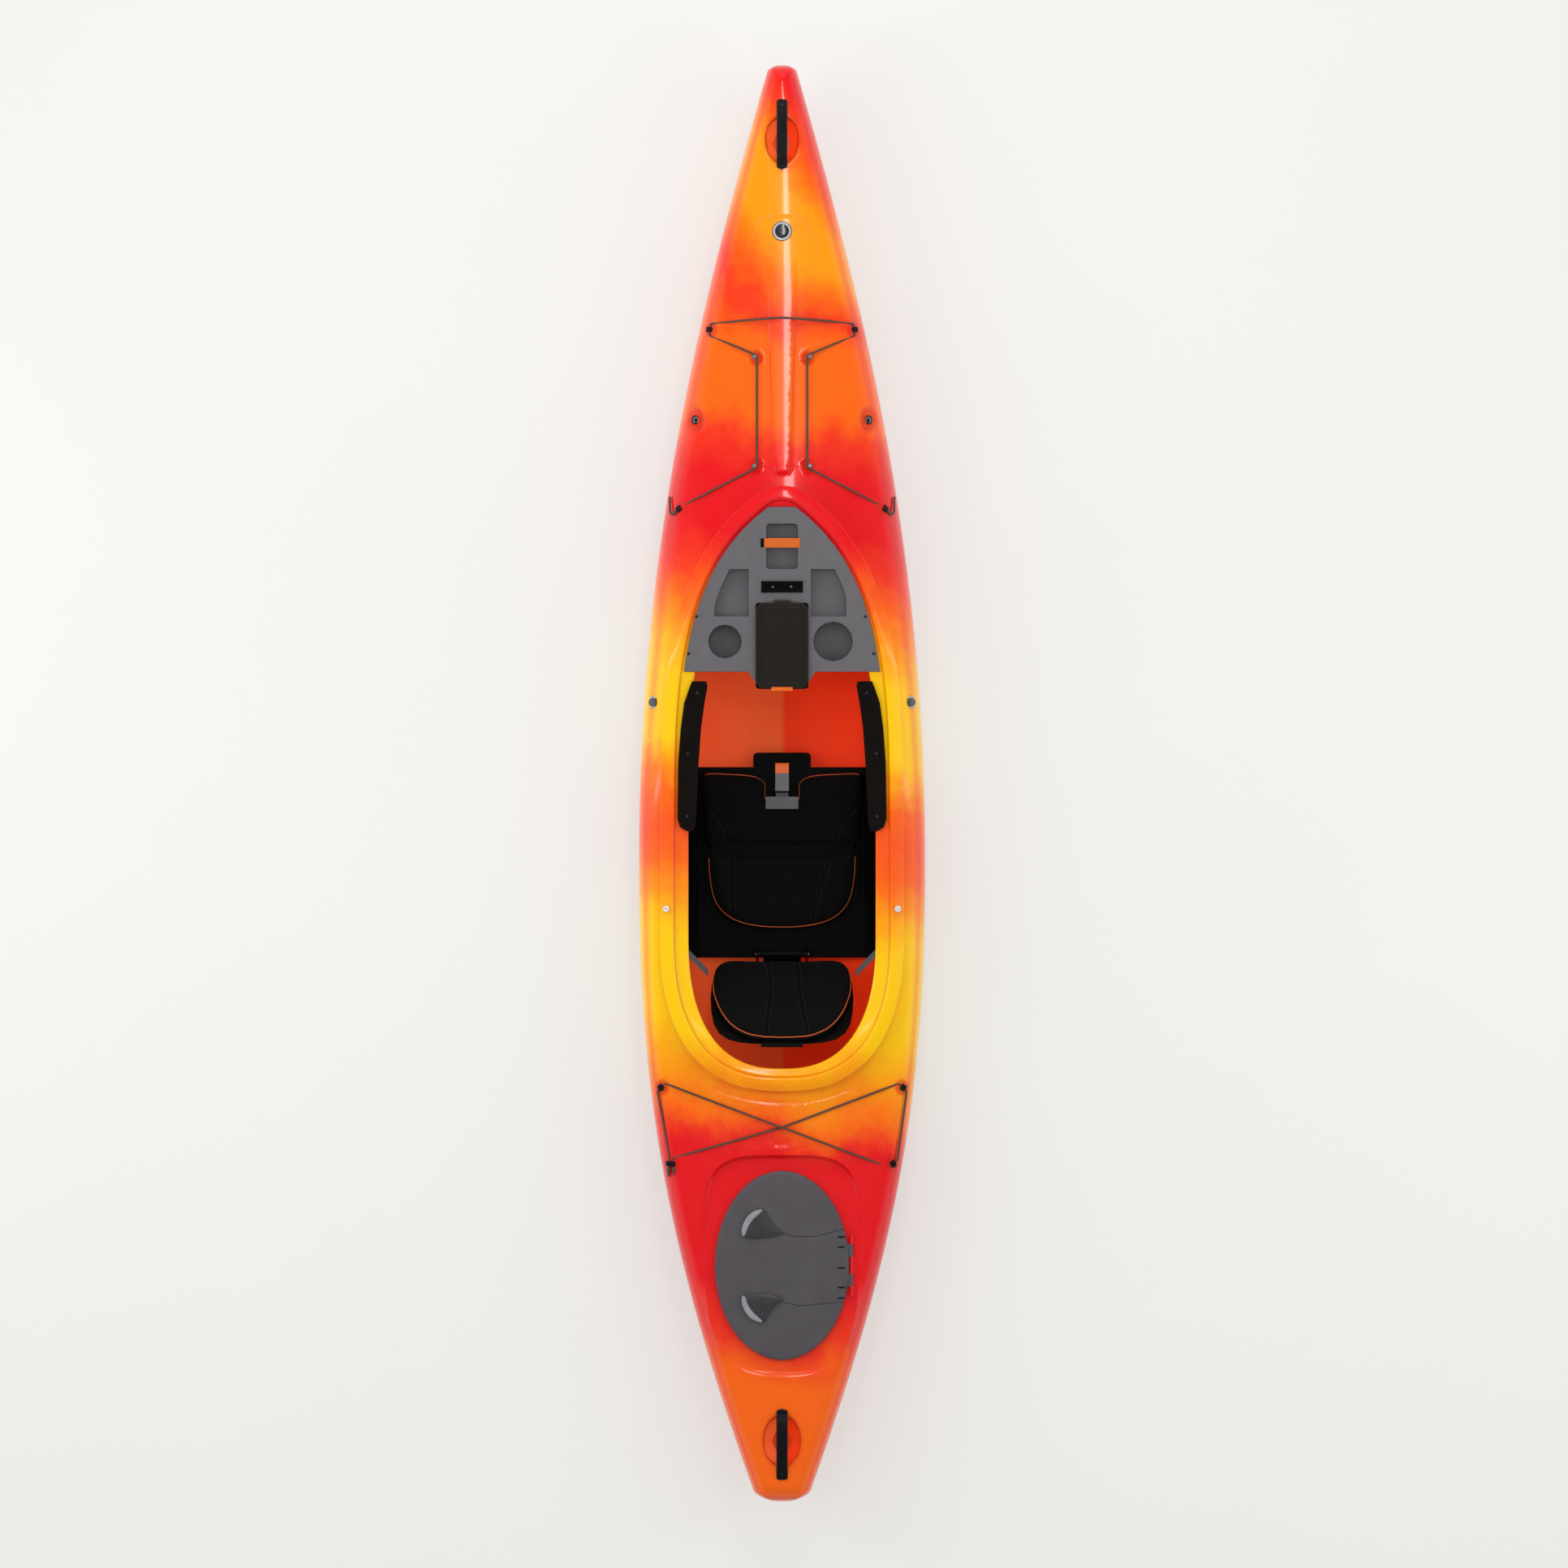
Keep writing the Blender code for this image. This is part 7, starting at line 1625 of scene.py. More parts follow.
@dataclass(frozen=True)
class RimPlan:
    """Plan lines of the cockpit rim: the crest and the opening inside it."""

    crest: Triple = (0.292, 0.757, -0.784)
    opening: Triple = (0.248, 0.722, -0.754)
    centres: Pair = (-0.245, -0.396)
    rear_power: float = 2.5
    front_powers: Pair = (4.0, 1.4)
    tip: Pair = (0.112, 40.0)
    points: int = 130

    def loop(self, line: Triple) -> Array:
        """Closed egg-shaped loop with more points where it turns more.

        Args:
            line: Half width, front end and rear end.

        Returns:
            The loop.
        """
        half, front, rear = line
        turn = np.linspace(0, math.pi / 2, 900)
        along, across = np.cos(turn), np.sin(turn)
        x = half * across ** (2 / self.front_powers[1]) + self.tip[0] * across * along ** self.tip[1]
        y = self.centres[0] + (front - self.centres[0]) * along ** (2 / self.front_powers[0])
        x2 = half * np.maximum(along[1:], 0.0) ** (2 / self.rear_power)
        y2 = self.centres[1] + (rear - self.centres[1]) * across[1:] ** (2 / self.rear_power)
        dense = np.column_stack((np.concatenate((x, x2)), np.concatenate((y, y2))))
        dense[-1] = (0.0, rear)
        legs = np.diff(dense, axis=0)
        lengths = np.hypot(legs[:, 0], legs[:, 1])
        headings = np.unwrap(np.arctan2(legs[:, 1], legs[:, 0]))
        turning = np.abs(np.diff(headings, append=headings[-1]))
        weight = np.concatenate(([0.0], np.cumsum(lengths + 0.15 * turning)))
        wanted = np.linspace(0.0, weight[-1], self.points + 1)
        right = np.column_stack([np.interp(wanted, weight, dense[:, k]) for k in (0, 1)])
        left = right[-2:0:-1] * (-1, 1)
        return np.vstack((right, left))


@dataclass
class Shell:
    """Hull and deck mouldings at full smoothness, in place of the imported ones."""

    form: BoatForm = field(default_factory=BoatForm)
    rim: RimPlan = field(default_factory=RimPlan)
    wall_out: float = 22 * MM
    lip_out: float = 31 * MM
    lip_thick: float = 6 * MM
    lip_drop: float = 9 * MM
    ledge_in: float = 10 * MM
    ledge_drop: float = 11 * MM
    ledge_fall: float = 2 * MM
    inner_lip: float = 44 * MM
    rounding: float = 5 * MM
    hatch_rim_in: float = 14.5 * MM
    hatch_rim_high: float = 9 * MM
    hatch_rim_thick: float = 5 * MM
    hatch_moat: float = 24 * MM
    hatch_foot: Pair = (34 * MM, 42 * MM)
    hatch_powers: Pair = (4.2, 2.8)
    hatch_floor_in: float = 9 * MM
    hatch_neck: float = 14 * MM
    stations: int = 150
    grid: float = 11 * MM
    fine_grid: float = 3.4 * MM
    end_inset: float = 34 * MM
    edge_rings: tuple[float, ...] = (0.02, 0.06, 0.13, 0.22, 0.31)
    inner_grid: float = 40 * MM
    probe: float = 4 * MM
    lively_rise: float = 0.35 * MM
    finishes: tuple[Finish, ...] = ()

    def places(self, inset: float, tight: bool = True) -> Array:
        """Stations from stern to bow, close together at the rounded tips.

        Args:
            inset: Distance inside the sheer line.
            tight: Whether they crowd at the tips.

        Returns:
            The stations.
        """
        end = self.form.length / 2 - inset
        middle = np.sin(np.linspace(-1, 1, self.stations) * math.pi / 2) * end * 0.9
        tips = []
        for sign, rounding in ((1, 0.018), (-1, 0.030)):
            far = np.linspace(0.9 * end, end - rounding, 14)
            near = end - rounding * (1 - np.sin(np.linspace(0, 1, 9) * math.pi / 2)) if tight else np.array([end])
            tips.append(sign * np.concatenate((far, near)))
        return np.unique(np.round(np.concatenate((middle, *tips)), 6))

    def sheer_loop(self, inset: float, end_inset: float, height: Height) -> Array:
        """Closed loop along the sheer line, or inside it.

        Args:
            inset: Distance inside the sheer line.
            end_inset: Distance inside the tips.
            height: Height of the loop.

        Returns:
            The loop.
        """
        y = self.places(end_inset, tight=end_inset == inset)
        half = np.maximum(self.form.half_beam(y, inset), 0.0)
        y, half = y[half > 1e-5], half[half > 1e-5]
        return lifted(np.vstack((np.column_stack((half, y)), np.column_stack((-half, y))[::-1])), height)

    def build_hull(self) -> Thing:
        """Lower moulding: outer skin, inner face and the rim along the sheer line.

        Returns:
            The finished moulding.
        """
        skin = Skin()
        fine, coarse = (np.sin(np.linspace(*turns) * math.pi / 2) for turns in ((0.02, 1, 40), (0.05, 1, 22)))
        rings: list[list[Array]] = []
        for wall, turn, end_inset in ((0.0, fine, 0.0), (self.form.wall, coarse, self.end_inset)):
            rows = []
            for y in self.places(end_inset, not wall):
                half = self.form.section(y, turn, wall)
                if half[-1, 0] < 1e-5:
                    continue
                right = np.column_stack((half[::-1, 0], np.full(len(half), y), half[::-1, 1]))
                rows.append(np.vstack((right, right[-2::-1] * (-1, 1, 1))))
            rings.append(rows)
        for kind, rows in enumerate(rings):
            skin.bands(rows, closed=False, kind=kind)
            for end in (rows[0], rows[-1]):
                skin.face(skin.ids(end), kind)
        edges = [np.vstack(([r[0] for r in rows], [r[-1] for r in reversed(rows)])) for rows in rings]
        skin.fill(edges[0], [edges[1]])
        return settle("hull_moulding", skin.mesh(), self.finishes, Body.BOAT, ["hull"], 50)

    def rim_profile(self) -> list[Array]:
        """Lines of the cockpit rim from its outer foot over the crest to its inner foot.

        Returns:
            The lines in order.
        """
        form = self.form
        crest, opening = self.rim.loop(self.rim.crest), self.rim.loop(self.rim.opening)

        def at(loop: Array, out: float, drop: float) -> Array:
            """A line beside a loop, so far out and below the crest."""
            line = offset_loop(loop, out) if out else loop
            return lifted(line, lambda x, y: form.crest(y) - drop)

        lip = self.lip_drop + self.lip_thick
        ledge = self.ledge_drop + self.ledge_fall
        wall = form.wall
        return [
            lifted(offset_loop(crest, self.wall_out), form.deck), at(crest, self.wall_out, lip),
            at(crest, self.lip_out, lip), at(crest, self.lip_out, self.lip_drop),
            at(crest, self.ledge_in, self.ledge_fall), at(crest, 0.0, 0.0),
            at(crest, -self.ledge_in / 2, self.ledge_fall), at(crest, -self.ledge_in, self.ledge_drop),
            at(opening, wall, ledge), at(opening, 0.0, ledge + wall / 2), at(opening, 0.0, self.inner_lip),
            at(opening, wall, self.inner_lip), at(opening, wall, ledge + wall),
            at(crest, -self.ledge_in - wall, self.ledge_drop + wall), at(crest, 0.0, wall + self.ledge_fall),
            at(crest, self.wall_out - wall, lip),
            lifted(offset_loop(crest, self.wall_out - wall), form.deck_inside),
        ]

    def hatch_profile(self) -> list[Array]:
        """Lines of the hatch recess from the deck down its moat and over its rim.

        Returns:
            The lines in order.
        """
        form = self.form
        middle, wide, long = form.hatch
        count = 132

        def foot(grow: float) -> Array:
            """Plan loop where the deck turns down into the recess."""
            return oval(wide + self.hatch_foot[0] + grow, long + self.hatch_foot[1] + grow, middle,
                        self.hatch_powers, count)

        def ring(grow: float, rise: float) -> Array:
            """A line round the opening, over the recess's floor."""
            loop = oval(wide + grow, long + grow, middle, (2.0, 2.0), count)
            return lifted(loop, lambda x, y: form.hatch_seat(y) + rise)

        inner = -self.hatch_rim_in - self.hatch_rim_thick
        wall = form.wall
        return [
            lifted(foot(0.0), form.deck), lifted(foot(-self.hatch_floor_in), lambda x, y: form.hatch_seat(y)),
            ring(self.hatch_moat, 0.0), ring(-self.hatch_rim_in, 0.0),
            ring(-self.hatch_rim_in, self.hatch_rim_high), ring(inner, self.hatch_rim_high),
            ring(inner, -self.hatch_neck), ring(-self.hatch_rim_in, -self.hatch_neck),
            ring(-self.hatch_rim_in, -wall), ring(self.hatch_moat + wall / 2, -wall),
            lifted(foot(wall / 2 - self.hatch_floor_in), lambda x, y: form.hatch_seat(y) - wall),
            lifted(foot(0.0), form.deck_inside),
        ]

    def scattered(self, outer: Array, holes: Sequence[Array], near: Sequence[Array],
                  step: float, fine: float | None) -> Array:
        """Grid points inside a loop, finer where the deck has small forms, clear of all lines.

        Args:
            outer: Loop that they stay inside.
            holes: Loops that they stay out of.
            near: Lines that they keep away from.
            step: Spacing of the plain grid.
            fine: Spacing where the deck is lively, or None for one grid.

        Returns:
            Their places in plan.
        """
        form = self.form
        rows = []
        for pitch in (step, fine) if fine else (step,):
            ys = np.arange(-form.length / 2 + pitch, form.length / 2, pitch)
            half = form.half_beam(ys)
            for k, (y, reach) in enumerate(zip(ys, half)):
                count = max(1, int(reach / pitch))
                xs = (np.arange(-count, count + 1) + 0.5 * (k % 2)) * pitch
                rows.append(np.column_stack((xs, np.full(len(xs), y), np.full(len(xs), float(pitch != step)))))
        points = np.vstack(rows)

        def shape(x: Array, y: Array) -> Array:
            """Height of the small forms alone."""
            return form.raised(x, y) - form.wells_at(x, y) + form.small_forms(x, y)

        reach = self.probe
        x, y = points[:, 0], points[:, 1]
        spots = [shape(x + a, y + b) for a, b in ((0, 0), (reach, 0), (-reach, 0), (0, reach), (0, -reach))]
        lively = np.ptp(np.stack(spots), axis=0) > self.lively_rise
        keep = np.where(points[:, 2] > 0, lively, ~lively) if fine else np.ones(len(points), bool)
        points = points[keep]
        keep = inside(points, outer)
        for hole in holes:
            keep &= ~inside(points, hole)
        points = points[keep]
        marks = np.vstack([line[:, :2] for line in near])
        tree = KDTree(len(marks))
        for i, mark in enumerate(marks):
            tree.insert((mark[0], mark[1], 0.0), i)
        tree.balance()
        margins = np.where(points[:, 2] > 0, 2.6 * MM, step * 0.5) if fine else np.full(len(points), step * 0.4)
        clear = [tree.find((p[0], p[1], 0.0))[2] > margin for p, margin in zip(points, margins)]
        return points[np.array(clear), :2]

    def build_deck(self) -> Thing:
        """Upper moulding: crowned deck, cockpit rim, hatch recess, spine, hood and wells.

        Returns:
            The finished moulding.
        """
        form = self.form
        skin = Skin()
        rim = eased_profile(self.rim_profile(), self.rounding)
        hatch = eased_profile(self.hatch_profile(), self.rounding)
        for lines in (rim, hatch):
            # The outer skin ends under the lip, past ten of the sixteen stretches of the profile
            split = len(lines) * 10 // 16
            skin.bands(lines[:split + 1])
            skin.bands(lines[split:], kind=1)

        def seam(x: Array, y: Array) -> Array:
            """Height of the deck's lower edge."""
            return form.sheer(y) + GAP

        outer = self.sheer_loop(0.0, 0.0, seam)
        inner = self.sheer_loop(form.wall, self.end_inset, seam)
        skin.fill(outer, [inner])
        rings = [lifted(offset_loop(outer[:, :2], -form.edge[1] * share), form.deck) for share in self.edge_rings]
        near = [*rings, rim[0], hatch[0]]
        holes = [rim[0], hatch[0]]
        points = self.scattered(rings[-1], holes, near, self.grid, self.fine_grid)
        skin.fill(outer, holes, rings, points, form.deck)
        under = [rim[-1], hatch[-1]]
        points = self.scattered(inner, under, [inner, *under], self.inner_grid, None)
        skin.fill(inner, under, (), points, form.deck_inside, kind=1)
        return settle("deck_moulding", skin.mesh(), self.finishes, Body.BOAT, ["deck"], 50)


# Soft goods


BACKREST_AXIS = (0.0, -0.455, 0.100)
BACKREST_TILT = math.radians(45.7)
BACKREST_FRAME = Matrix.Translation(BACKREST_AXIS) @ Matrix.Rotation(-BACKREST_TILT, 4, "X")


@dataclass
class Pad:
    """Padded piece: a crowned closed form, swelled by a cloth simulation, then sewn."""

    name: str
    outline: Array
    bottom: float
    top: Height
    bulge: float = 9 * MM
    frame_of: Matrix = field(default_factory=lambda: Matrix.Identity(4))
    voxel: float = 5.5 * MM
    pressure: float = 4.0
    reach: float = 6 * MM
    start_in: float = 3 * MM
    start_low: float = 3 * MM
    seams: tuple[Array, ...] = ()
    seam_depth: float = 5 * MM
    seam_width: float = 4.5 * MM
    grid: float = 11 * MM
    frames: int = 20
    side: tuple[Pair, ...] = (
        (-2.2, 1.0), (-1.2, 0.97), (-0.5, 0.86), (-0.1, 0.68), (0.0, 0.5), (-0.1, 0.3), (-0.5, 0.1), (-1.0, 0.0),
    )

    def raw(self) -> Mesh:
        """Pad before it swells: rounded sides, shaped top, slightly small.

        Returns:
            The mesh.
        """
        outline = offset_loop(resampled(rounded(self.outline, 2), 9 * MM), -self.start_in)

        def at(share: float) -> Height:
            """Surface at a share of the pad's height."""
            return lambda x, y: self.bottom + (self.top(x, y) - self.start_low - self.bottom) * share

        lines = [lifted(offset_loop(outline, self.bulge * out), at(share)) for out, share in self.side]
        skin = Skin()
        skin.bands(lines)
        margin = self.bulge * -self.side[0][0] + self.grid * 0.6
        spots = grid_inside(offset_loop(outline, -margin), outline, self.grid)
        skin.fill(lines[0], points=spots, height=at(1.0))
        skin.fill(lines[-1], points=spots, height=lambda x, y: np.full_like(x, self.bottom))
        return skin.mesh()

    def swelled(self, mesh: Mesh) -> Mesh:
        """Remesh the pad and let cloth under pressure round it, held to a short reach.

        Args:
            mesh: The pad so far.

        Returns:
            The mesh.
        """
        thing = linked(self.name + "_cloth", mesh)
        remesh = thing.modifiers.new("even", "REMESH")
        remesh.mode = "VOXEL"
        remesh.voxel_size = self.voxel
        even = evaluated(thing)
        discard(thing)
        thing = linked(self.name + "_cloth", even)
        rest = np.array([v.co for v in even.vertices])
        cloth = thing.modifiers.new("swell", "CLOTH")
        cloth.settings.quality = 5
        cloth.settings.mass = 0.25
        cloth.settings.use_pressure = True
        cloth.settings.uniform_pressure_force = self.pressure
        cloth.settings.effector_weights.gravity = 0.0
        cloth.point_cache.frame_start = 1
        cloth.point_cache.frame_end = self.frames
        scene = bpy.context.scene
        for number in range(1, self.frames + 1):
            scene.frame_set(number)
        swollen = evaluated(thing)
        scene.frame_set(1)
        discard(thing)
        moved = np.array([v.co for v in swollen.vertices]) - rest
        length = np.linalg.norm(moved, axis=1, keepdims=True)
        moved *= np.minimum(1.0, self.reach / np.maximum(length, 1e-9))
        final = rest + moved
        final[:, 2] = np.maximum(final[:, 2], self.bottom)
        swollen.vertices.foreach_set("co", final.ravel())
        return swollen

    def sewn(self, mesh: Mesh) -> Mesh:
        """Subdivide the pad once and press its seams into the top.

        Args:
            mesh: The pad so far.

        Returns:
            The mesh.
        """
        thing = linked(self.name + "_sewn", mesh)
        smooth = thing.modifiers.new("smooth", "SMOOTH")
        smooth.iterations = 3
        smooth.factor = 0.4
        finer = thing.modifiers.new("finer", "SUBSURF")
        finer.levels = finer.render_levels = 1
        made = evaluated(thing)
        discard(thing)
        places = np.array([v.co for v in made.vertices])
        upward = np.array([v.normal.z for v in made.vertices])
        for seam in self.seams:
            away = np.full(len(places), 1.0)
            for start, end in zip(seam, seam[1:]):
                run = end - start
                share = np.clip(((places[:, :2] - start) @ run) / max(run @ run, 1e-12), 0, 1)
                away = np.minimum(away, np.hypot(*(start + share[:, None] * run - places[:, :2]).T))
            places[:, 2] -= self.seam_depth * np.exp(-(away / self.seam_width) ** 2) * np.clip(upward * 2, 0, 1)
        made.vertices.foreach_set("co", places.ravel())
        return made

    def build(self, finish: Finish, body: Body, node: str) -> Thing:
        """Make the pad and put it in place of its solid.

        Args:
            finish: Its fabric.
            body: Body that it rides on.
            node: Solid that it stands for.

        Returns:
            The finished pad.
        """
        mesh = self.sewn(self.swelled(self.raw()))
        mesh.transform(self.frame_of)
        mesh.update()
        pad = settle(self.name, mesh, [finish], body, [node], 70)
        return pad

    def on_top(self, line: Array, touch: BVHTree, lift: float) -> Array:
        """A plan line laid on the pad's top, in the shared frame.

        Args:
            line: Plan points in the pad's frame.
            touch: Faces of the pad.
            lift: Height over the surface.

        Returns:
            The laid points.
        """
        up = (self.frame_of.to_3x3() @ Vector((0, 0, 1))).normalized()
        places = []
        for x, y in line:
            start = self.frame_of @ Vector((x, y, self.bottom + 0.2))
            hit = touch.ray_cast(start, -up)[0]
            if hit is not None:
                places.append(tuple(hit + up * lift))
        return np.array(places)

    def round_edge(self, line: Array, touch: BVHTree, share: float, lift: float) -> Array:
        """A part of the outline laid on the pad's side at a share of its height.

        Args:
            line: Part of the outline.
            touch: Faces of the pad.
            share: Share of the pad's height.
            lift: Distance off the surface.

        Returns:
            The laid points.
        """
        middle = line.mean(axis=0)
        places = []
        for x, y in line:
            tall = float(self.top(np.array([x]), np.array([y]))[0])
            spot = self.frame_of @ Vector((x, y, self.bottom + (tall - self.bottom) * share))
            near, normal = touch.find_nearest(spot)[:2]
            if normal.dot(spot - (self.frame_of @ Vector((*middle, self.bottom)))) < 0:
                normal = -normal
            places.append(tuple(near + normal * lift))
        return rounded(np.array(places), 1, closed=False)


@dataclass
class SeatPads:
    """Seat cushion in its two halves, and the backrest pad, with piping and stitches."""

    half: float = 0.220
    seam_y: float = -0.176
    seam_half: float = 5.5 * MM
    front: float = 0.030
    fold: Triple = (0.190, 0.030, 0.080)
    notch: float = 0.044
    notch_rear: float = -0.041
    lifter_low: float = 0.0503
    lifter_thick: float = 0.005
    top: float = 0.088
    dish: float = 0.012
    front_rise: float = 0.010
    back_bottom: float = -0.022
    back_face: float = 0.008
    back_wing: float = 0.010
    back_half: float = 0.194
    back_outline: tuple[Pair, ...] = (
        (0, 315), (40, 314), (76, 309), (106, 298), (134, 277), (155, 250), (172, 217), (186, 176), (194, 132),
        (194, 88), (186, 48), (168, 26), (140, 16), (70, 14), (0, 14),
    )
    fabric: Finish = PadFabric("laminated_polyester_knit")
    piping: Finish = SpunThread("orange_piping")
    thread: Finish = SpunThread("bonded_thread", "#3c3c41", "#1c1c1f")
    piping_lift: float = 0.6 * MM
    stitch_away: float = 6.5 * MM
    stitch_step: float = 4 * MM
    stitch_lift: float = 0.1 * MM
    fold_dip: float = 1.5 * MM
    fold_thick: float = 1.6 * MM

    def seat_top(self, x: Array, y: Array) -> Array:
        """Height of the seat cushion's top: dished, higher at the front."""
        rise = self.front_rise * np.maximum(0.0, (y - self.seam_y) / (self.front - self.seam_y))
        return self.top + self.dish * (np.abs(x) / self.half) ** 2 + rise

    def back_top(self, x: Array, y: Array) -> Array:
        """Height of the backrest pad's face in its own frame."""
        return self.back_face + self.back_wing * (x / self.back_half) ** 2

    def mirrored(self, half: Sequence[Pair]) -> Array:
        """Closed outline from its right half."""
        right = np.array(half, float)
        left = right[np.abs(right[:, 0]) > 1e-6][::-1] * (-1, 1)
        return np.vstack((right, left))

    def front_pad(self) -> Pad:
        """Front half, with its notch for the lifter, on the leg lifter.

        Returns:
            Its sizes.
        """
        edge, seam = self.half, self.seam_y + self.seam_half
        half = [
            (0.0, self.notch_rear), (self.notch - 0.004, self.notch_rear), (self.notch, self.notch_rear + 0.004),
            (self.notch, self.front), (edge - 0.024, self.front), (edge - 0.004, self.front - 0.002),
            (edge, self.front - 0.024), (edge - 0.004, -0.080), (edge - 0.0145, seam + 0.012), (edge - 0.016, seam),
            (edge - 0.028, seam), (0.090, seam), (0.0, seam),
        ]
        right = np.array([(0.205, -0.052), (0.160, -0.098), (0.134, seam)])
        left = np.array([(-0.205, -0.050), (-0.160, -0.098), (-0.134, seam)])
        bottom = self.lifter_low + self.lifter_thick + GAP
        return Pad("seat_cushion_front_pad", self.mirrored(half), bottom, self.seat_top,
                   seams=(rounded(right, 2, False), rounded(left, 2, False)))

    def rear_pad(self) -> Pad:
        """Rear half, which stays on the pan.

        Returns:
            Its sizes.
        """
        seam = self.seam_y - self.seam_half
        half = [
            (0.0, seam), (0.090, seam), (self.half - 0.028, seam), (self.half - 0.016, seam),
            (self.half - 0.0165, seam - 0.012), (self.half - 0.017, self.seam_y - 0.060),
            (0.197, -0.280), (0.187, -0.318), (0.168, -0.346), (0.140, -0.368), (0.100, -0.383), (0.050, -0.391),
            (0.0, -0.392),
        ]
        right = np.array([(0.134, seam), (0.112, -0.250), (0.090, -0.320), (0.080, -0.372)])
        left = np.array([(-0.134, seam), (-0.134, -0.300), (-0.133, -0.358)])
        return Pad("seat_cushion_rear_pad", self.mirrored(half), self.lifter_low, self.seat_top,
                   seams=(rounded(right, 2, False), rounded(left, 2, False)))

    def back_pad(self) -> Pad:
        """Backrest pad, with two sewn channels, in the backrest's own tilted frame.

        Returns:
            Its sizes.
        """
        outline = self.mirrored([(x * MM, -y * MM) for x, y in self.back_outline])
        left = np.array([(-0.040, -0.024), (-0.027, -0.130), (-0.043, -0.296)])
        right = np.array([(0.040, -0.024), (0.046, -0.150), (0.068, -0.304)])
        return Pad("backrest_pad_cover", outline, self.back_bottom, self.back_top, frame_of=BACKREST_FRAME,
                   seams=(rounded(left, 3, False), rounded(right, 3, False)), seam_depth=6 * MM)

    def trim(self, pad: Pad, made: Thing, body: Body, edges: Sequence[Array],
             share: float, stitch: Recipe, pipe: Recipe) -> None:
        """Sew piping round parts of the edge and stitches beside every seam.

        Args:
            pad: Sizes of the pad.
            made: Its finished object.
            body: Body that it rides on.
            edges: Parts of its outline that have piping.
            share: Height of the piping on the pad's side, from 0 to 1.
            stitch: Tree that lays stitches.
            pipe: Tree that makes piping.
        """
        touch = Touch(made).tree
        laid = [pad.round_edge(edge, touch, share, self.piping_lift) for edge in edges]
        mesh = pipe.run(line_mesh(laid), {"Finish": self.piping.material()})
        settle(pad.name + "_piping", mesh, (), body)
        rows = []
        for seam in pad.seams:
            along = unit(np.gradient(seam, axis=0))
            for side, _ in SIDES:
                beside = seam + side * self.stitch_away * np.stack((along[:, 1], -along[:, 0]), axis=1)
                row = resampled(beside, self.stitch_step, closed=False)[2:-2]
                row = pad.on_top(row, touch, self.stitch_lift)
                if len(row) > 3:
                    rows.append(row)
        mesh = stitch.run(line_mesh(rows), {"Finish": self.thread.material()})
        settle(pad.name + "_stitches", mesh, (), body)

    def build(self, stitch: Recipe, pipe: Recipe) -> None:
        """Build the three pads with their trim.

        Args:
            stitch: Tree that lays stitches.
            pipe: Tree that makes piping.
        """
        jobs = (
            (self.front_pad(), Body.LIFTER, "seat_cushion_front", 0.62),
            (self.rear_pad(), Body.BOAT, "seat_cushion_rear", 0.62),
            (self.back_pad(), Body.BACKREST, "backrest_pad", 0.75),
        )
        for pad, body, node, share in jobs:
            made = pad.build(self.fabric, body, node)
            outline = resampled(rounded(pad.outline, 2), 6 * MM)
            if body is Body.LIFTER:
                keep = (outline[:, 1] > -0.050) & (np.abs(outline[:, 0]) < self.half - 0.006)
            elif body is Body.BOAT:
                keep = outline[:, 1] < self.seam_y - 0.016
            else:
                keep = outline[:, 1] < -0.060
            start = int(np.argmax(keep & ~np.roll(keep, 1)))
            turned = np.roll(outline, -start, axis=0)
            edge = turned[np.roll(keep, -start)]
            self.trim(pad, made, body, [edge], share, stitch, pipe)
        self.build_fold()

    def build_fold(self) -> None:
        """Strip of the cover that bridges the sewn fold between the two cushions."""
        share = np.linspace(0, 1, 13)
        y = self.seam_y + (share - 0.5) * self.fold[1]
        half, _, height = self.fold
        line = np.column_stack((np.zeros(len(y)), y, height - self.fold_dip * np.sin(share * math.pi)))
        mesh = strap_mesh(line, Vector((1, 0, 0)), half, self.fold_thick)
        fold = settle("seat_cushion_fold", mesh, [self.fabric], None, (), 50)
        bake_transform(fold)


# Rigging and fittings


def cord_line(points: Sequence[Triple], radii: Sequence[float], step: float) -> Array:
    """Evenly spaced and eased rows of x, y, z and radius from a cord's route in millimetres.

    Args:
        points: Route in millimetres.
        radii: Radius at each point.
        step: Spacing of the rows in metres.

    Returns:
        The rows, in metres.
    """
    rows = resampled(np.column_stack((points, radii)) * MM, step, closed=False)
    for _ in range(2):
        rows[1:-1] = (rows[:-2] + 2 * rows[1:-1] + rows[2:]) / 4
    return rows


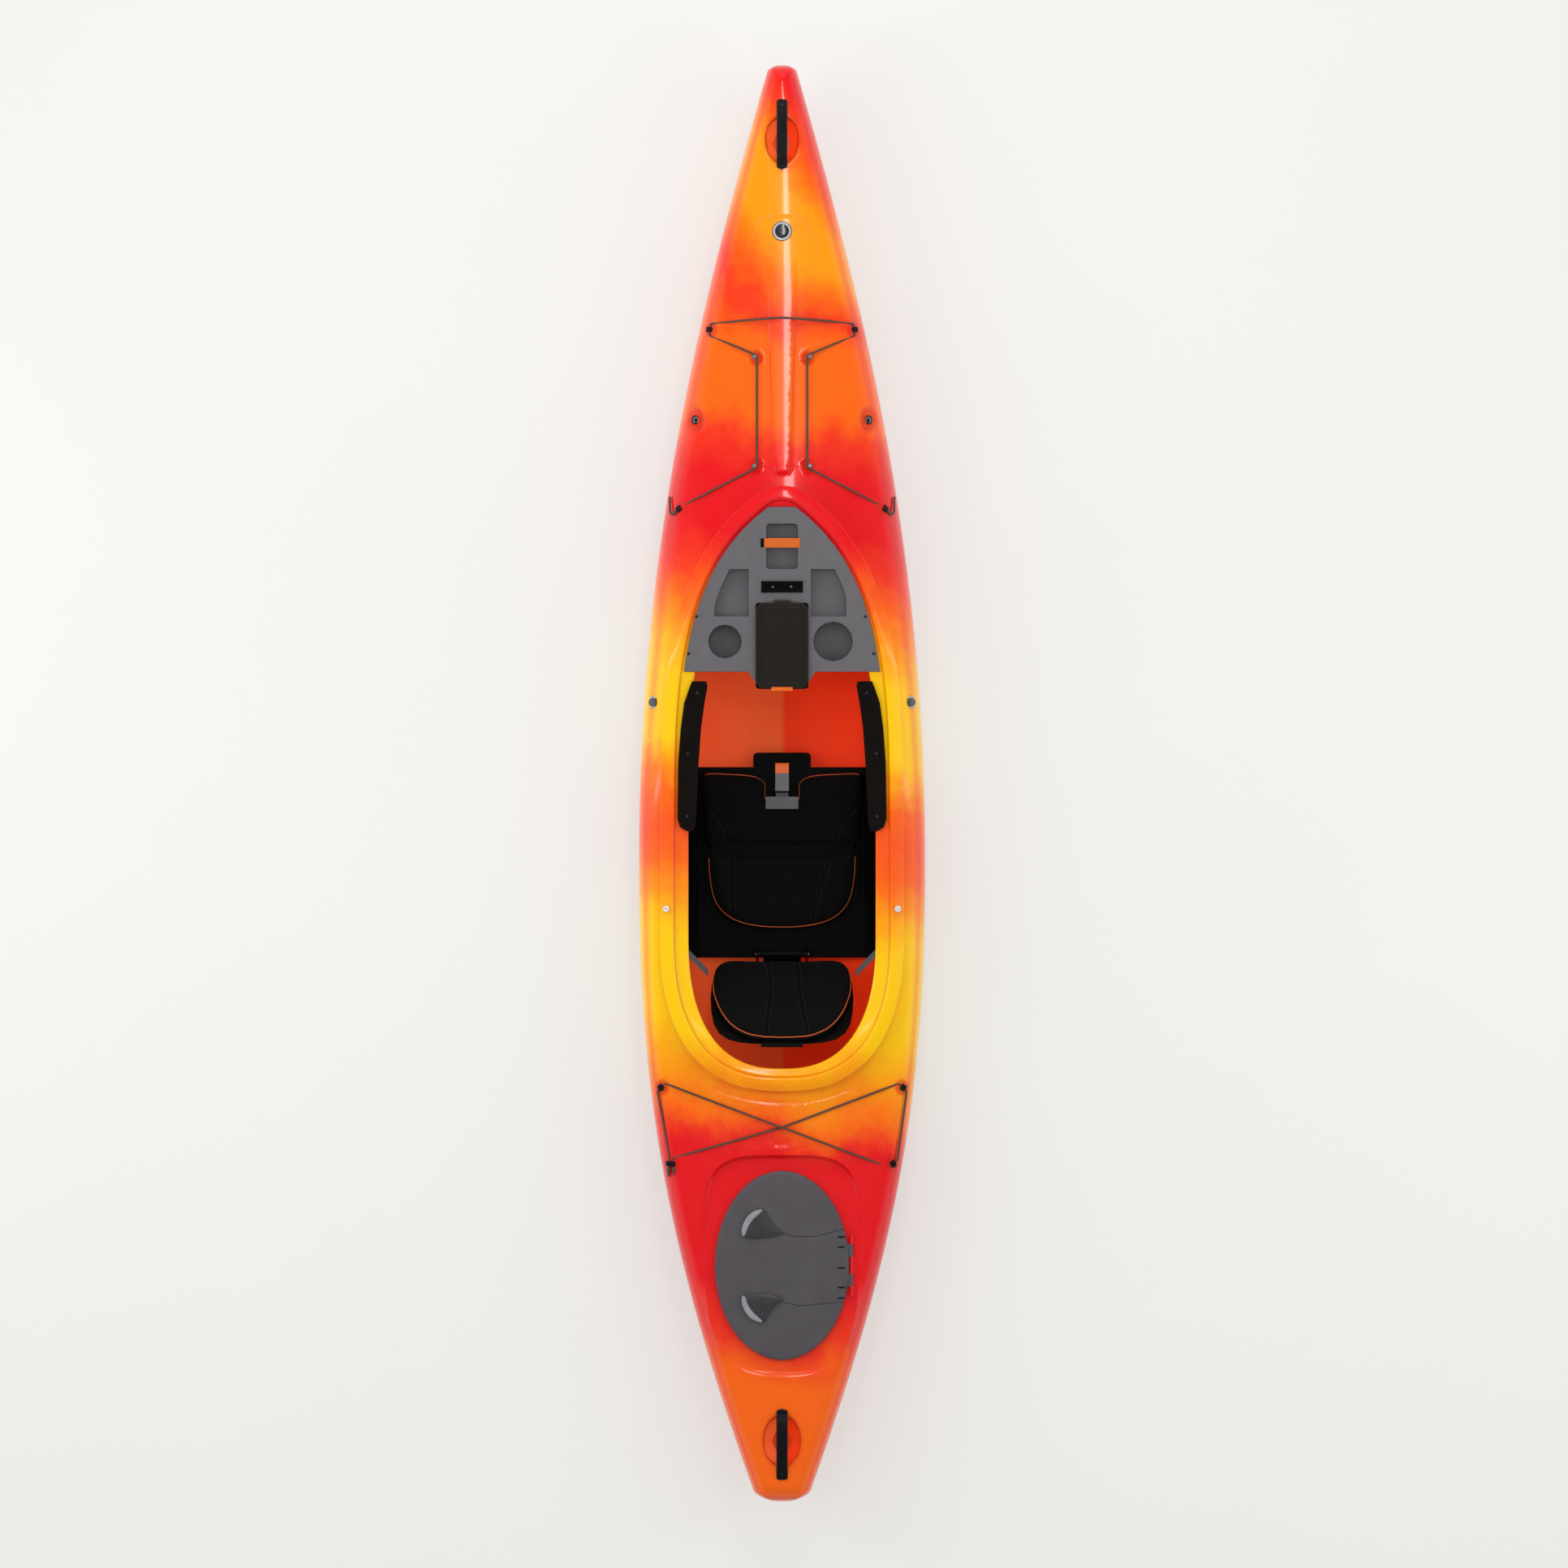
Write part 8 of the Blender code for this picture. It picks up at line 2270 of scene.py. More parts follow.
@dataclass
class Rigging:
    """Elastic cords, pad eyes, cord screws, handles, badges and inserts of the deck."""

    cord: Finish = BraidedCord("braided_elastic_cord")
    nylon: Finish = MouldedPlastic("glass_filled_nylon", "#0d0d0e", "#1c1c1f", 0.4, 0.9, gloss=0.35)
    grip: Finish = MouldedPlastic("soft_touch_handle", "#0e0e0f", "#1b1b1e", 0.5, 0.8, 0.05, gloss=0.25)
    steel: Finish = StainlessSteel("tumbled_stainless_steel")
    insert: Pair = (0.228, 0.965)
    loop_half: Pair = (6.0 * MM, 7.5 * MM)
    loop_turn: float = 2.6
    loop_rise: float = 1.8 * MM
    loop_wire: float = 1.3 * MM
    badge_profile: tuple[Pair, ...] = (
        (1.0, -1.0), (1.0, 1.2), (0.96, 2.1), (0.88, 2.3), (0.80, 1.8), (0.74, 1.0), (0.70, 1.0), (0.62, 1.5),
        (0.4, 2.1), (0.2, 2.3),
    )
    cord_radius: float = 3.0
    cord_step: float = 2.5 * MM
    fore_route: tuple[Triple, ...] = (
        (-298.6, 762.0, 241.1), (-297.3, 720.4, 259.1), (-296.3, 718.5, 260.1), (-293.9, 716.6, 261.6),
        (-291.9, 715.8, 262.7), (-289.9, 715.9, 263.7), (-288.0, 717.0, 264.9), (-283.8, 720.3, 267.7),
        (-277.1, 725.7, 269.3), (-260.6, 738.7, 278.5), (-228.6, 755.0, 299.1), (-196.9, 771.0, 315.5),
        (-102.0, 819.2, 337.7), (-70.3, 835.3, 343.0), (-68.2, 836.8, 342.9), (-66.9, 838.9, 342.9),
        (-66.5, 841.5, 342.9), (-66.5, 1129.0, 339.1), (-67.0, 1131.7, 339.0), (-68.4, 1133.9, 338.9),
        (-70.7, 1135.4, 338.8), (-100.5, 1148.4, 335.4), (-130.3, 1161.4, 324.5), (-190.0, 1187.5, 294.4),
        (-191.8, 1188.7, 293.4), (-192.7, 1190.4, 292.6), (-192.2, 1196.9, 289.5), (-190.3, 1211.7, 289.8),
        (-189.1, 1218.1, 293.0), (-187.7, 1219.4, 294.0), (-185.7, 1220.0, 295.0), (-125.2, 1224.7, 325.5),
        (-95.0, 1227.0, 336.0), (-32.0, 1231.0, 350.7), (0.0, 1233.0, 352.4),
    )
    rear_route: tuple[Triple, ...] = (
        (-286.2, -1042.2, 246.5), (-286.2, -1033.2, 249.2), (-286.3, -1025.6, 251.2), (-286.7, -1024.0, 251.1),
        (-289.5, -1016.9, 248.8), (-289.9, -1015.2, 248.7), (-290.1, -1000.7, 249.0), (-289.7, -994.2, 250.6),
        (-288.6, -992.7, 251.1), (-286.7, -991.7, 251.7), (-215.0, -971.5, 270.1), (-107.5, -941.2, 278.6),
        (-35.8, -920.9, 280.4), (0.0, -910.8, 280.5), (38.3, -896.5, 280.2), (114.9, -867.9, 277.5),
        (191.5, -839.2, 271.9), (229.8, -824.9, 268.2), (268.1, -810.6, 263.2), (308.4, -795.8, 250.2),
        (310.4, -796.2, 249.6), (312.1, -797.4, 249.0), (325.6, -810.1, 243.6), (330.1, -814.7, 243.6),
        (330.8, -818.8, 243.7), (306.8, -996.5, 245.8), (305.3, -1000.0, 245.8), (300.0, -1004.0, 245.9),
        (284.5, -1014.8, 250.4), (282.5, -1015.7, 251.0), (280.5, -1016.0, 251.6), (240.3, -1001.1, 263.1),
        (202.2, -986.8, 272.5), (12.0, -914.8, 287.3), (-12.0, -906.8, 287.3), (-232.8, -823.9, 268.2),
        (-269.6, -810.1, 263.0), (-306.4, -796.3, 250.9), (-308.4, -795.8, 250.2), (-310.4, -796.2, 249.6),
        (-325.6, -810.1, 243.6), (-330.0, -814.7, 243.6), (-330.7, -816.6, 243.6), (-298.1, -992.9, 245.6),
        (-298.1, -1000.7, 246.5), (-298.2, -1016.1, 246.1), (-301.1, -1024.0, 246.6), (-301.5, -1025.6, 246.5),
        (-301.4, -1033.2, 244.4), (-301.4, -1042.2, 241.7),
    )
    fore_knots: dict[int, float] = field(default_factory=lambda: {5: 4.1, 6: 5.4, 7: 6.2})
    rear_knots: dict[int, float] = field(default_factory=lambda: {
        1: 3.1, 2: 6.2, 3: 6.2, 46: 6.2, 47: 6.2, 48: 3.1,
    })
    badges: tuple[DomedBadge, ...] = (
        DomedBadge("resin_badge_bow", (0.0, 1.462), 26 * MM),
        DomedBadge("resin_badge_left", (-0.342, 0.217), 17 * MM),
        DomedBadge("resin_badge_right", (0.342, 0.217), 17 * MM),
    )

    def build_cords(self) -> None:
        """Lay the two bungees again as finer braided cords on the same lines."""
        fore = [self.fore_knots.get(i, self.cord_radius) for i in range(len(self.fore_route))]
        rear = [self.rear_knots.get(i, self.cord_radius) for i in range(len(self.rear_route))]
        mirrored = [(-x, y, z) for x, y, z in self.fore_route[-2::-1]]
        for node, route, radii in (("fore_bungee", (*self.fore_route, *mirrored), fore + fore[-2::-1]),
                                   ("rear_bungee", self.rear_route, rear)):
            rows = cord_line(route, radii, self.cord_step)
            mesh = tube(rows[:, :3], rows[:, 3] * 0.98, 12)
            settle(node + "_cord", mesh, [self.cord], Body.BOAT, [node], 60)

    def build_badges(self, deck: Thing) -> None:
        """Round badges: a raised ring round a low dome, seated square on the deck.

        Args:
            deck: The finished deck.
        """
        touch = Touch(deck)
        turn = np.linspace(0, 2 * math.pi, 48, endpoint=False)
        around = np.column_stack((np.cos(turn), np.sin(turn)))
        for badge, node in zip(self.badges, ("bow_badge", "side_badge_left", "side_badge_right")):
            x, y = badge.centre
            reach = badge.radius * 0.9
            ring = [touch.above(x + reach * across, y + reach * along)[0] for across, along in around[::6].tolist()]
            middle = sum(ring, Vector()) / len(ring)
            up = (ring[2] - ring[6]).cross(ring[4] - ring[0]).normalized()
            up = up if up.z > 0 else -up
            high = max((spot - middle).dot(up) for spot in (*ring, touch.above(x, y)[0]))
            frame_of = Matrix.Translation(middle + up * high) @ up.to_track_quat("Z", "Y").to_matrix().to_4x4()
            lines = [lifted(share * badge.radius * around, tall * MM) for share, tall in self.badge_profile]
            skin = Skin()
            skin.bands(lines)
            skin.face(skin.ids(lines[0]))
            skin.face(skin.ids(lines[-1]))
            settle(node + "_dome", skin.mesh(frame_of), [badge], Body.BOAT, [node], 60)

    def build_loops(self) -> None:
        """Bent steel loop on each accessory insert."""
        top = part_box("accessory_insert_right")[1].z
        turn = np.linspace(-self.loop_turn, self.loop_turn, 26)
        for side, label in SIDES:
            x = side * self.insert[0] + self.loop_half[0] * np.sin(turn)
            y = self.insert[1] - 1.0 * MM + self.loop_half[1] * np.cos(turn)
            line = np.column_stack((x, y, np.full(len(turn), top + self.loop_rise)))
            settle(f"insert_loop_{label}", tube(line, self.loop_wire, 10), [self.steel], Body.BOAT)

    def build(self, deck: Thing) -> None:
        """Build the cords, loops and badges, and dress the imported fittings.

        Args:
            deck: The finished deck.
        """
        self.build_cords()
        self.build_loops()
        self.build_badges(deck)
        eyes = [n for n in frame["nodes"] if n.startswith("pad_eye")]
        screws = [n for n in frame["nodes"] if n.startswith(("cord_screw", "seat_screw"))]
        dress(self.nylon, *eyes, "accessory_insert_left", "accessory_insert_right")
        dress(self.steel, *screws)
        dress(self.grip, "bow_handle", "stern_handle")


@dataclass
class Fasteners:
    """Pan-head screws set by Geometry Nodes on the fittings that have them."""

    radius: float = 4.2 * MM
    rise: float = 2.0 * MM
    recess: float = 1.1 * MM
    finish: Finish = StainlessSteel("zinc_black_screw", "#55555a", 0.36)
    bright: Finish = StainlessSteel("bright_pan_head_screw", "#d2d2d6", 0.24)
    # The seat screws' white is a painted glint: a highlight painted into the colour of the heads.
    painted_glint: Finish = MouldedPlastic("seat_screw_painted_glint", "#dedcd8", "#cac8c4", 0.35)
    brace: tuple[Pair, ...] = ((0.224, 0.241), (0.250, 0.080), (0.252, -0.086))
    clips: tuple[Pair, ...] = ((-0.226, 0.443), (-0.247, 0.345), (0.220, 0.443), (0.243, 0.345))
    rail: tuple[Pair, ...] = ((-0.024, 0.521), (0.024, 0.521))
    handle: tuple[Pair, ...] = ((0.0, 1.622), (0.0, 1.796), (0.0, -1.830), (0.0, -1.656))

    def build(self) -> None:
        """Set each group of screws on its body."""
        recipe = fastener_recipe()
        head = screw_head(self.radius, self.rise, self.recess)
        mirrored = [(side * x, y) for side in (-1, 1) for x, y in self.brace]
        seat = ("seat_screw_left", "seat_screw_right")
        middles = [((low + high) / 2)[:2] for low, high in map(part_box, seat)]
        jobs = (
            ("seat_screw_heads", middles, seat, Body.BOAT, self.painted_glint, 2.1),
            ("brace_screws", mirrored, ("thigh_brace_left", "thigh_brace_right"), Body.BOAT, self.finish, 0.9),
            ("dashboard_clips", self.clips, ("dashboard",), Body.DASHBOARD, self.finish, 0.95),
            ("rail_screws", self.rail, ("accessory_rail",), Body.DASHBOARD, self.bright, 0.75),
            ("handle_screws", self.handle, ("bow_handle", "stern_handle"), Body.BOAT, self.finish, 0.8),
        )
        for name, spots, nodes, body, finish, size in jobs:
            touch = Touch.on(*nodes)
            seats = [touch.above(x, y) for x, y in spots]
            mesh = recipe.run(point_mesh(seats), {"Head": head, "Size": size, "Finish": finish.material()})
            settle(name, mesh, (), body)
        discard(head)


@dataclass
class Cockpit:
    """Dashboard, dry box, braces, seat pan, lifter, backrest frame and straps."""

    dash: Finish = MouldedPlastic("grained_grey_polyethylene", "#636065", "#706d72", 0.45, 1.6, 0.06, 0.3)
    black: Finish = MouldedPlastic("black_polypropylene", "#060606", "#0d0d0f", 0.48, 1.2, gloss=0.12)
    brace: Finish = MouldedPlastic("brace_foam_skin", "#0e0806", "#1b120e", 0.55, 2.2, 0.08, gloss=0.15)
    lid: Finish = MouldedPlastic("smoked_box_lid", "#231e19", "#2b2621", 0.3, 1.0, 0.02, 0.05, 0.35)
    lever: Finish = TippedPlastic("two_shot_lever", "#6a6a6f", "#85858a", 0.42, 1.0, 0.04)
    orange: Finish = MouldedPlastic("orange_acetal", "#ef6a12", "#f78a3a", 0.4, 1.0, 0.03, 0.3)
    grey: Finish = MouldedPlastic("grey_acetal", "#5d5d61", "#77777c", 0.42, 1.0, 0.04)
    webbing: Finish = WovenStrap("grey_polyester_webbing")
    bright_webbing: Finish = WovenStrap("orange_polyester_webbing", "#f2761c", "#a8430c")
    steel: Finish = StainlessSteel("polished_hinge_pin", "#c4c4c8", 0.2)
    foam: Finish = ClosedCellFoam("cut_closed_cell_foam")
    strap_top: Triple = (0.25185, -0.446, 0.238)
    strap_low: Triple = (0.1985, -0.503, 0.150)
    strap_half: float = 12.2 * MM
    strap_thick: float = 1.7 * MM
    strap_sag: float = 2.5 * MM
    pocket_half: Pair = (0.047, 0.0125)
    dash_slope: float = 0.12
    bar_y: float = 0.4865
    bar_half: float = 0.044
    bracket: Pair = (0.056, 0.312)
    lid_ridge: Four = (0.057, 0.100, 0.366, 0.0013)

    def build_straps(self) -> None:
        """Backrest straps, which sag a little between the boat and the backrest."""
        for side, label in SIDES:
            start = np.array(self.strap_top) * (side, 1, 1)
            end = np.array(self.strap_low) * (side, 1, 1)
            share = np.linspace(0, 1, 25)[:, None]
            sag = np.array([[0.0, 0.0, -1.0]]) * self.strap_sag * np.sin(share * math.pi)
            across = Vector(end - start).cross(Vector((1, 0, 0))).normalized()
            mesh = strap_mesh(start + (end - start) * share + sag, across, self.strap_half, self.strap_thick)
            strap = settle(f"backrest_webbing_{label}", mesh, [self.webbing], None,
                           [f"backrest_strap_{label}"], 50)
            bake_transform(strap)

    def build_dash_trim(self) -> None:
        """Pocket strap with its tab, and the raised bar ahead of the dry box."""
        low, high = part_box("pocket_strap")
        middle = (low.y + high.y) / 2
        base = (low.z + high.z) / 2
        share = np.linspace(-1, 1, 33)
        edge = np.clip((np.abs(share) - 0.82) / 0.18, 0, 1)
        rise = 1.6 * MM * (1 - edge) + 0.2 * MM
        line = np.column_stack((share * self.pocket_half[0], np.full(33, middle), base + rise))
        across = Vector((0, 1, self.dash_slope)).normalized()
        mesh = strap_mesh(line, across, self.pocket_half[1], 1.5 * MM)
        settle("pocket_webbing", mesh, [self.bright_webbing], Body.DASHBOARD, ["pocket_strap"], 50)
        touch = Touch.on("dashboard")
        bars = (("dash_raised_bar", self.bar_half, self.bar_y, 3.4 * MM, self.dash),
                ("pocket_tab_left", 4 * MM, middle, 12 * MM, self.black))
        for name, half, y, wide, finish in bars:
            centre = 0.0 if name.startswith("dash") else -self.pocket_half[0] - 5.2 * MM
            line = []
            for x in np.linspace(centre - half, centre + half, 9):
                line.append(tuple(touch.above(x, y)[0] + Vector((0, 0, 1.5 * MM))))
            mesh = strap_mesh(np.array(line), across, wide, 2.2 * MM)
            settle(name, mesh, [finish], Body.DASHBOARD, (), 50)

    def build_lid_ridge(self) -> None:
        """Raised frame line moulded round the top of the dry box lid."""
        half_x, half_y, middle, radius = self.lid_ridge
        corner = 12 * MM
        loop = []
        for turn, (sx, sy) in zip(range(4), ((1, 1), (-1, 1), (-1, -1), (1, -1))):
            for k in range(7):
                angle = math.pi / 2 * (turn + k / 6)
                loop.append((sx * (half_x - corner) + corner * math.cos(angle),
                             middle + sy * (half_y - corner) + corner * math.sin(angle)))
        touch = Touch.on("dry_box_lid")
        line = resampled(np.array(loop), 6 * MM)
        rows = np.array([tuple(touch.above(x, y)[0] + Vector((0, 0, 0.2 * MM + radius * 0.5))) for x, y in line])
        mesh = piping_recipe().run(line_mesh([rows], closed=True), {"Radius": radius, "Finish": self.lid.material()})
        settle("dry_box_lid_ridge", mesh, (), Body.BOX_LID)

    def build_bracket(self) -> None:
        """Moulded bracket that shows past the backrest's top edge."""
        half, reach = self.bracket
        line = np.array([(x, -reach - 5 * MM, -0.018) for x in np.linspace(-half, half, 15)])
        mesh = strap_mesh(line, Vector((0, 1, 0)), 9 * MM, 6 * MM, BACKREST_FRAME)
        settle("backrest_bracket", mesh, [self.black], Body.BACKREST, (), 50)

    def build_lifter(self) -> None:
        """Lifter strap with its moulded plate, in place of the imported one."""
        low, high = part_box("lifter_strap")
        touch = Touch.on("lifter_strap")
        plate_end = low.y + 33 * MM
        spots = np.linspace(low.y + 0.5 * MM, plate_end, 8)
        plate = np.array([(0.0, y, touch.above(0.0, y)[0].z - 0.6 * MM) for y in spots])
        plate[:, 2] = plate[:, 2].max()
        mesh = strap_mesh(plate, Vector((1, 0, 0)), 44 * MM, 3.2 * MM)
        settle("lifter_plate", mesh, [self.grey], Body.LIFTER, (), 50)
        ends = [(plate_end - 2 * MM, plate[0, 2] + 1.2 * MM), (-0.039, high.z - 2.5 * MM), (-0.035, high.z - 9 * MM),
                (high.y - 1.2 * MM, low.z + 1.5 * MM)]
        line = rounded(np.array([(0.0, y, z) for y, z in ends]), 2, closed=False)
        mesh = strap_mesh(line, Vector((1, 0, 0)), 17 * MM, 1.6 * MM)
        settle("lifter_webbing", mesh, [self.webbing], Body.LIFTER, ["lifter_strap"], 50)

    def build(self) -> None:
        """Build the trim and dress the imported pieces."""
        self.build_straps()
        self.build_dash_trim()
        self.build_lid_ridge()
        self.build_bracket()
        self.build_lifter()
        dress(self.dash, "dashboard")
        dress(self.black, "accessory_rail", "dry_box", "seat_base", "leg_lifter", "backrest_frame", "lifter_buckle",
              "seat_hanger_left", "seat_hanger_right", "foot_rail_left", "foot_rail_right", "foot_pedal_left",
              "foot_pedal_right")
        dress(self.brace, "thigh_brace_left", "thigh_brace_right")
        dress(self.lid, "dry_box_lid")
        dress(self.orange, "dry_box_latch")
        dress(self.lever, "lifter_lever")
        dress(self.steel, "dry_box_hinge_pin", "backrest_pin")
        dress(self.foam, "rear_bulkhead", "bow_pillar")


@dataclass
class RearHatch:
    """Hatch lid, hinge, latches and seal."""

    lid: Finish = HatchPlastic(
        "grained_hatch_plastic", "#504c51", "#605c61", 0.42, 1.6, 0.06, 0.3,
        lines=(((-0.006, -1.188), (0.034, -1.200), (0.090, -1.200), (0.168, -1.180)),
               ((0.002, -1.373), (0.045, -1.383), (0.090, -1.380), (0.168, -1.373))),
        slots=((0.150, 0.165, -1.201), (0.150, 0.165, -1.228), (0.150, 0.165, -1.283), (0.150, 0.165, -1.335),
               (0.150, 0.165, -1.363)),
    )
    latch: Finish = MouldedPlastic("latch_nylon", "#39373b", "#4b494e", 0.36, 1.2)
    # The lip's light grey is a painted highlight on the latch's curved edge.
    ridge: Finish = MouldedPlastic("latch_lip_painted_highlight", "#8e8c91", "#b4b2b7", 0.28, 1.2)
    seal: Finish = ClosedCellFoam("neoprene_seal", "#26262a", 1.2)
    steel: Finish = StainlessSteel("hatch_hinge_pin_steel", "#c4c4c8", 0.2)
    middle_y: float = -1.277
    latch_gap: float = 0.4 * MM
    leaf_plate: Triple = (6.5 * MM, 3.0 * MM, 2.4 * MM)
    lip_plate: Triple = (4.0 * MM, 2.0 * MM, 1.6 * MM)
    lip_rise: float = 5.0 * MM
    outline_step: float = 2.5 * MM
    leaf: tuple[Pair, ...] = (
        (-52, 151), (-70, 147), (-91, 133), (-104, 111), (-109, 90), (-103, 75), (-80, 73), (-50, 73), (-24, 77),
        (-6, 82), (5, 88), (-8, 96), (-24, 110), (-35, 126), (-42, 142),
    )
    lip: tuple[Pair, ...] = (
        (-50, 150), (-62, 149), (-80, 142), (-96, 126), (-106, 104), (-108, 88), (-104, 76), (-97, 82), (-92, 98),
        (-84, 113), (-72, 127), (-58, 139),
    )

    def build(self, shell: Finish) -> None:
        """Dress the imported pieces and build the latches; the hinge is moulded in the shell's colours.

        Args:
            shell: Finish of the shell.
        """
        dress(self.lid, "hatch_lid")
        dress(shell, "hatch_hinge")
        dress(self.steel, "hatch_hinge_pin")
        dress(self.seal, "hatch_seal")
        self.build_latches()

    def pressed(self, outline: Array, base: Height, tall: float, dome: float, ease: float) -> Mesh:
        """Domed plate with eased edges that stands on a surface.

        Args:
            outline: Plan outline.
            base: Height of the surface under it.
            tall: Height of its edge over the surface.
            dome: Further rise towards its middle.
            ease: Rounding of the edge.

        Returns:
            The mesh.
        """
        def top(x: Array, y: Array) -> Array:
            """Height of the domed face."""
            away = np.hypot(x[:, None] - outline[None, :, 0], y[:, None] - outline[None, :, 1]).min(axis=1)
            return base(x, y) + tall + dome * (1 - np.exp(-np.maximum(away - ease, 0.0) / (9 * MM)))

        rows = ((0.0, 0.0), (0.0, 0.55), (0.12, 0.78), (0.45, 0.94), (1.0, 1.0))
        lines = [lifted(offset_loop(outline, -ease * inward), lambda x, y, up=up: base(x, y) + tall * up)
                 for inward, up in rows]
        spots = grid_inside(offset_loop(outline, -ease - 1.2 * MM), outline, 3 * MM)
        skin = Skin()
        skin.bands(lines)
        skin.fill(lines[-1], points=spots, height=top)
        skin.fill(lines[0], height=base)
        return skin.mesh()

    def build_latches(self) -> None:
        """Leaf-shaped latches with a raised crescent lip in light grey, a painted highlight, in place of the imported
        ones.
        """
        touch = Touch.on("hatch_lid")

        def base(x: Array, y: Array) -> Array:
            """Height just over the lid."""
            return np.array([touch.above(a, b)[0].z for a, b in zip(x, y)]) + self.latch_gap

        def over(x: Array, y: Array) -> Array:
            """Height that the lip stands on."""
            return base(x, y) + self.lip_rise

        for body, side in ((Body.LATCH_FRONT, 1), (Body.LATCH_REAR, -1)):
            node = body.value
            leaf, lip = (np.array([(x * MM, self.middle_y + side * y * MM) for x, y in points])
                         for points in (self.leaf, self.lip))
            mesh = self.pressed(resampled(rounded(leaf, 3), self.outline_step), base, *self.leaf_plate)
            settle(node + "_leaf", mesh, [self.latch], body, [node], 60)
            # The lip stands on the leaf in light grey: a painted highlight.
            mesh = self.pressed(resampled(rounded(lip, 2), self.outline_step), over, *self.lip_plate)
            settle(node + "_lip", mesh, [self.ridge], body, (), 60)


# Studio


@dataclass
class Studio:
    """Pale floor, soft lamps and the camera straight above the boat."""

    view_across: float = 4.158
    centre: Pair = (0.0052, 0.0)
    camera_height: float = 24.0
    deck_level: float = 0.28
    floor_colour: str = "#f1f1ef"
    floor_half: float = 30.0
    floor_evened: float = 0.6
    floor_glow: float = 0.95
    sensor_mm: float = 36.0
    mirrored: Pair = (1.0, 0.05)
    ambient: Pair = (0.14, 0.98)
    lamps: tuple[tuple[str, Triple, Pair, float, bool], ...] = (
        ("softbox_left", (-4.2, 0.3, 2.2), (0.8, 5.5), 96.0, False),
        ("softbox_right", (4.2, -0.3, 2.2), (0.8, 5.5), 62.0, False),
        ("softbox_bow", (0.0, 5.0, 2.6), (3.0, 1.2), 70.0, False),
        ("softbox_stern", (0.0, -5.0, 3.2), (3.0, 1.2), 8.0, False),
        ("strip_bow", (0.0, 4.6, 3.0), (3.0, 0.06), 6.0, True),
        ("strip_left", (-2.6, 0.0, 3.4), (0.05, 5.0), 6.0, True),
        ("strip_right", (2.6, 0.0, 3.4), (0.05, 5.0), 4.0, True),
        ("strip_above", (0.21, 1.6, 4.0), (0.30, 2.0), 20.0, True),
    )

    def build_floor(self) -> None:
        """Plain pale floor just under the keel."""
        half = self.floor_half
        data = bpy.data.meshes.new("studio_floor")
        data.from_pydata([(-half, -half, 0), (half, -half, 0), (half, half, 0), (-half, half, 0)], [], [(0, 1, 2, 3)])
        data.transform(Matrix.Translation((0, 0, -0.5 * MM)))
        floor = linked("studio_floor", data)
        canvas = Canvas("painted_studio_floor")
        patches = canvas.patches(900.0, 2.0, 0.3, 0.7)
        tone = canvas.add("Mix", patches, self.floor_colour, "#efefed", data_type="RGBA")
        canvas.set(Base_Color=tone, Roughness=0.9)
        tree = canvas.material.node_tree
        rays = add(tree, "ShaderNodeLightPath")
        glow = add(tree, "ShaderNodeEmission", {"Color": linear(self.floor_colour), "Strength": self.floor_glow})
        share = add(tree, "ShaderNodeMath", {0: rays.outputs["Is Camera Ray"], 1: self.floor_evened},
                    operation="MULTIPLY").outputs[0]
        even = add(tree, "ShaderNodeMixShader", {0: share, 1: canvas.shader.outputs[0], 2: glow.outputs[0]})
        tree.links.new(even.outputs[0], tree.nodes["Material Output"].inputs["Surface"])
        data.materials.append(canvas.material)

    def build_lamps(self) -> None:
        """Soft lamps aimed at the boat, and a dim even sky that the camera sees as pale."""
        for name, place, size, power, mirrored in self.lamps:
            data = bpy.data.lights.new(name, "AREA")
            data.shape = "RECTANGLE"
            data.size, data.size_y = size
            data.energy = power
            lamp = bpy.data.objects.new(name, data)
            bpy.context.scene.collection.objects.link(lamp)
            lamp.location = place
            lamp.visible_glossy = mirrored
            aim = Vector((0.0, place[1] * 0.5, 0.2)) - Vector(place)
            if abs(place[0]) < 1.0:
                aim.x = 0.0
            lamp.rotation_euler = aim.to_track_quat("-Z", "Y").to_euler()
        world = bpy.data.worlds.new("studio_sky")
        world.use_nodes = True
        tree = world.node_tree
        rays = add(tree, "ShaderNodeLightPath").outputs
        seen = add(tree, "ShaderNodeMath", {0: rays["Is Camera Ray"], 1: rays["Is Transmission Ray"]},
                   operation="MAXIMUM").outputs[0]
        shown = add(tree, "ShaderNodeMath", {0: seen, 1: rays["Is Glossy Ray"]}, operation="MAXIMUM").outputs[0]
        normal = add(tree, "ShaderNodeTexCoord").outputs["Generated"]
        height = add(tree, "ShaderNodeSeparateXYZ", {0: normal}).outputs["Z"]
        fade = add(tree, "ShaderNodeMapRange", {"Value": height, "From Min": 0.08, "From Max": 0.7,
                   "To Min": self.mirrored[0], "To Max": self.mirrored[1]}).outputs["Result"]
        light = add(tree, "ShaderNodeMapRange", {"Value": height, "To Min": self.ambient[0],
                    "To Max": self.ambient[1]}).outputs["Result"]
        power = add(tree, "ShaderNodeMapRange", {"Value": shown, "To Min": light, "To Max": fade})
        power = power.outputs["Result"]
        sky = tree.nodes["Background"]
        sky.inputs["Color"].default_value = linear(self.floor_colour)
        tree.links.new(power, sky.inputs["Strength"])
        bpy.context.scene.world = world

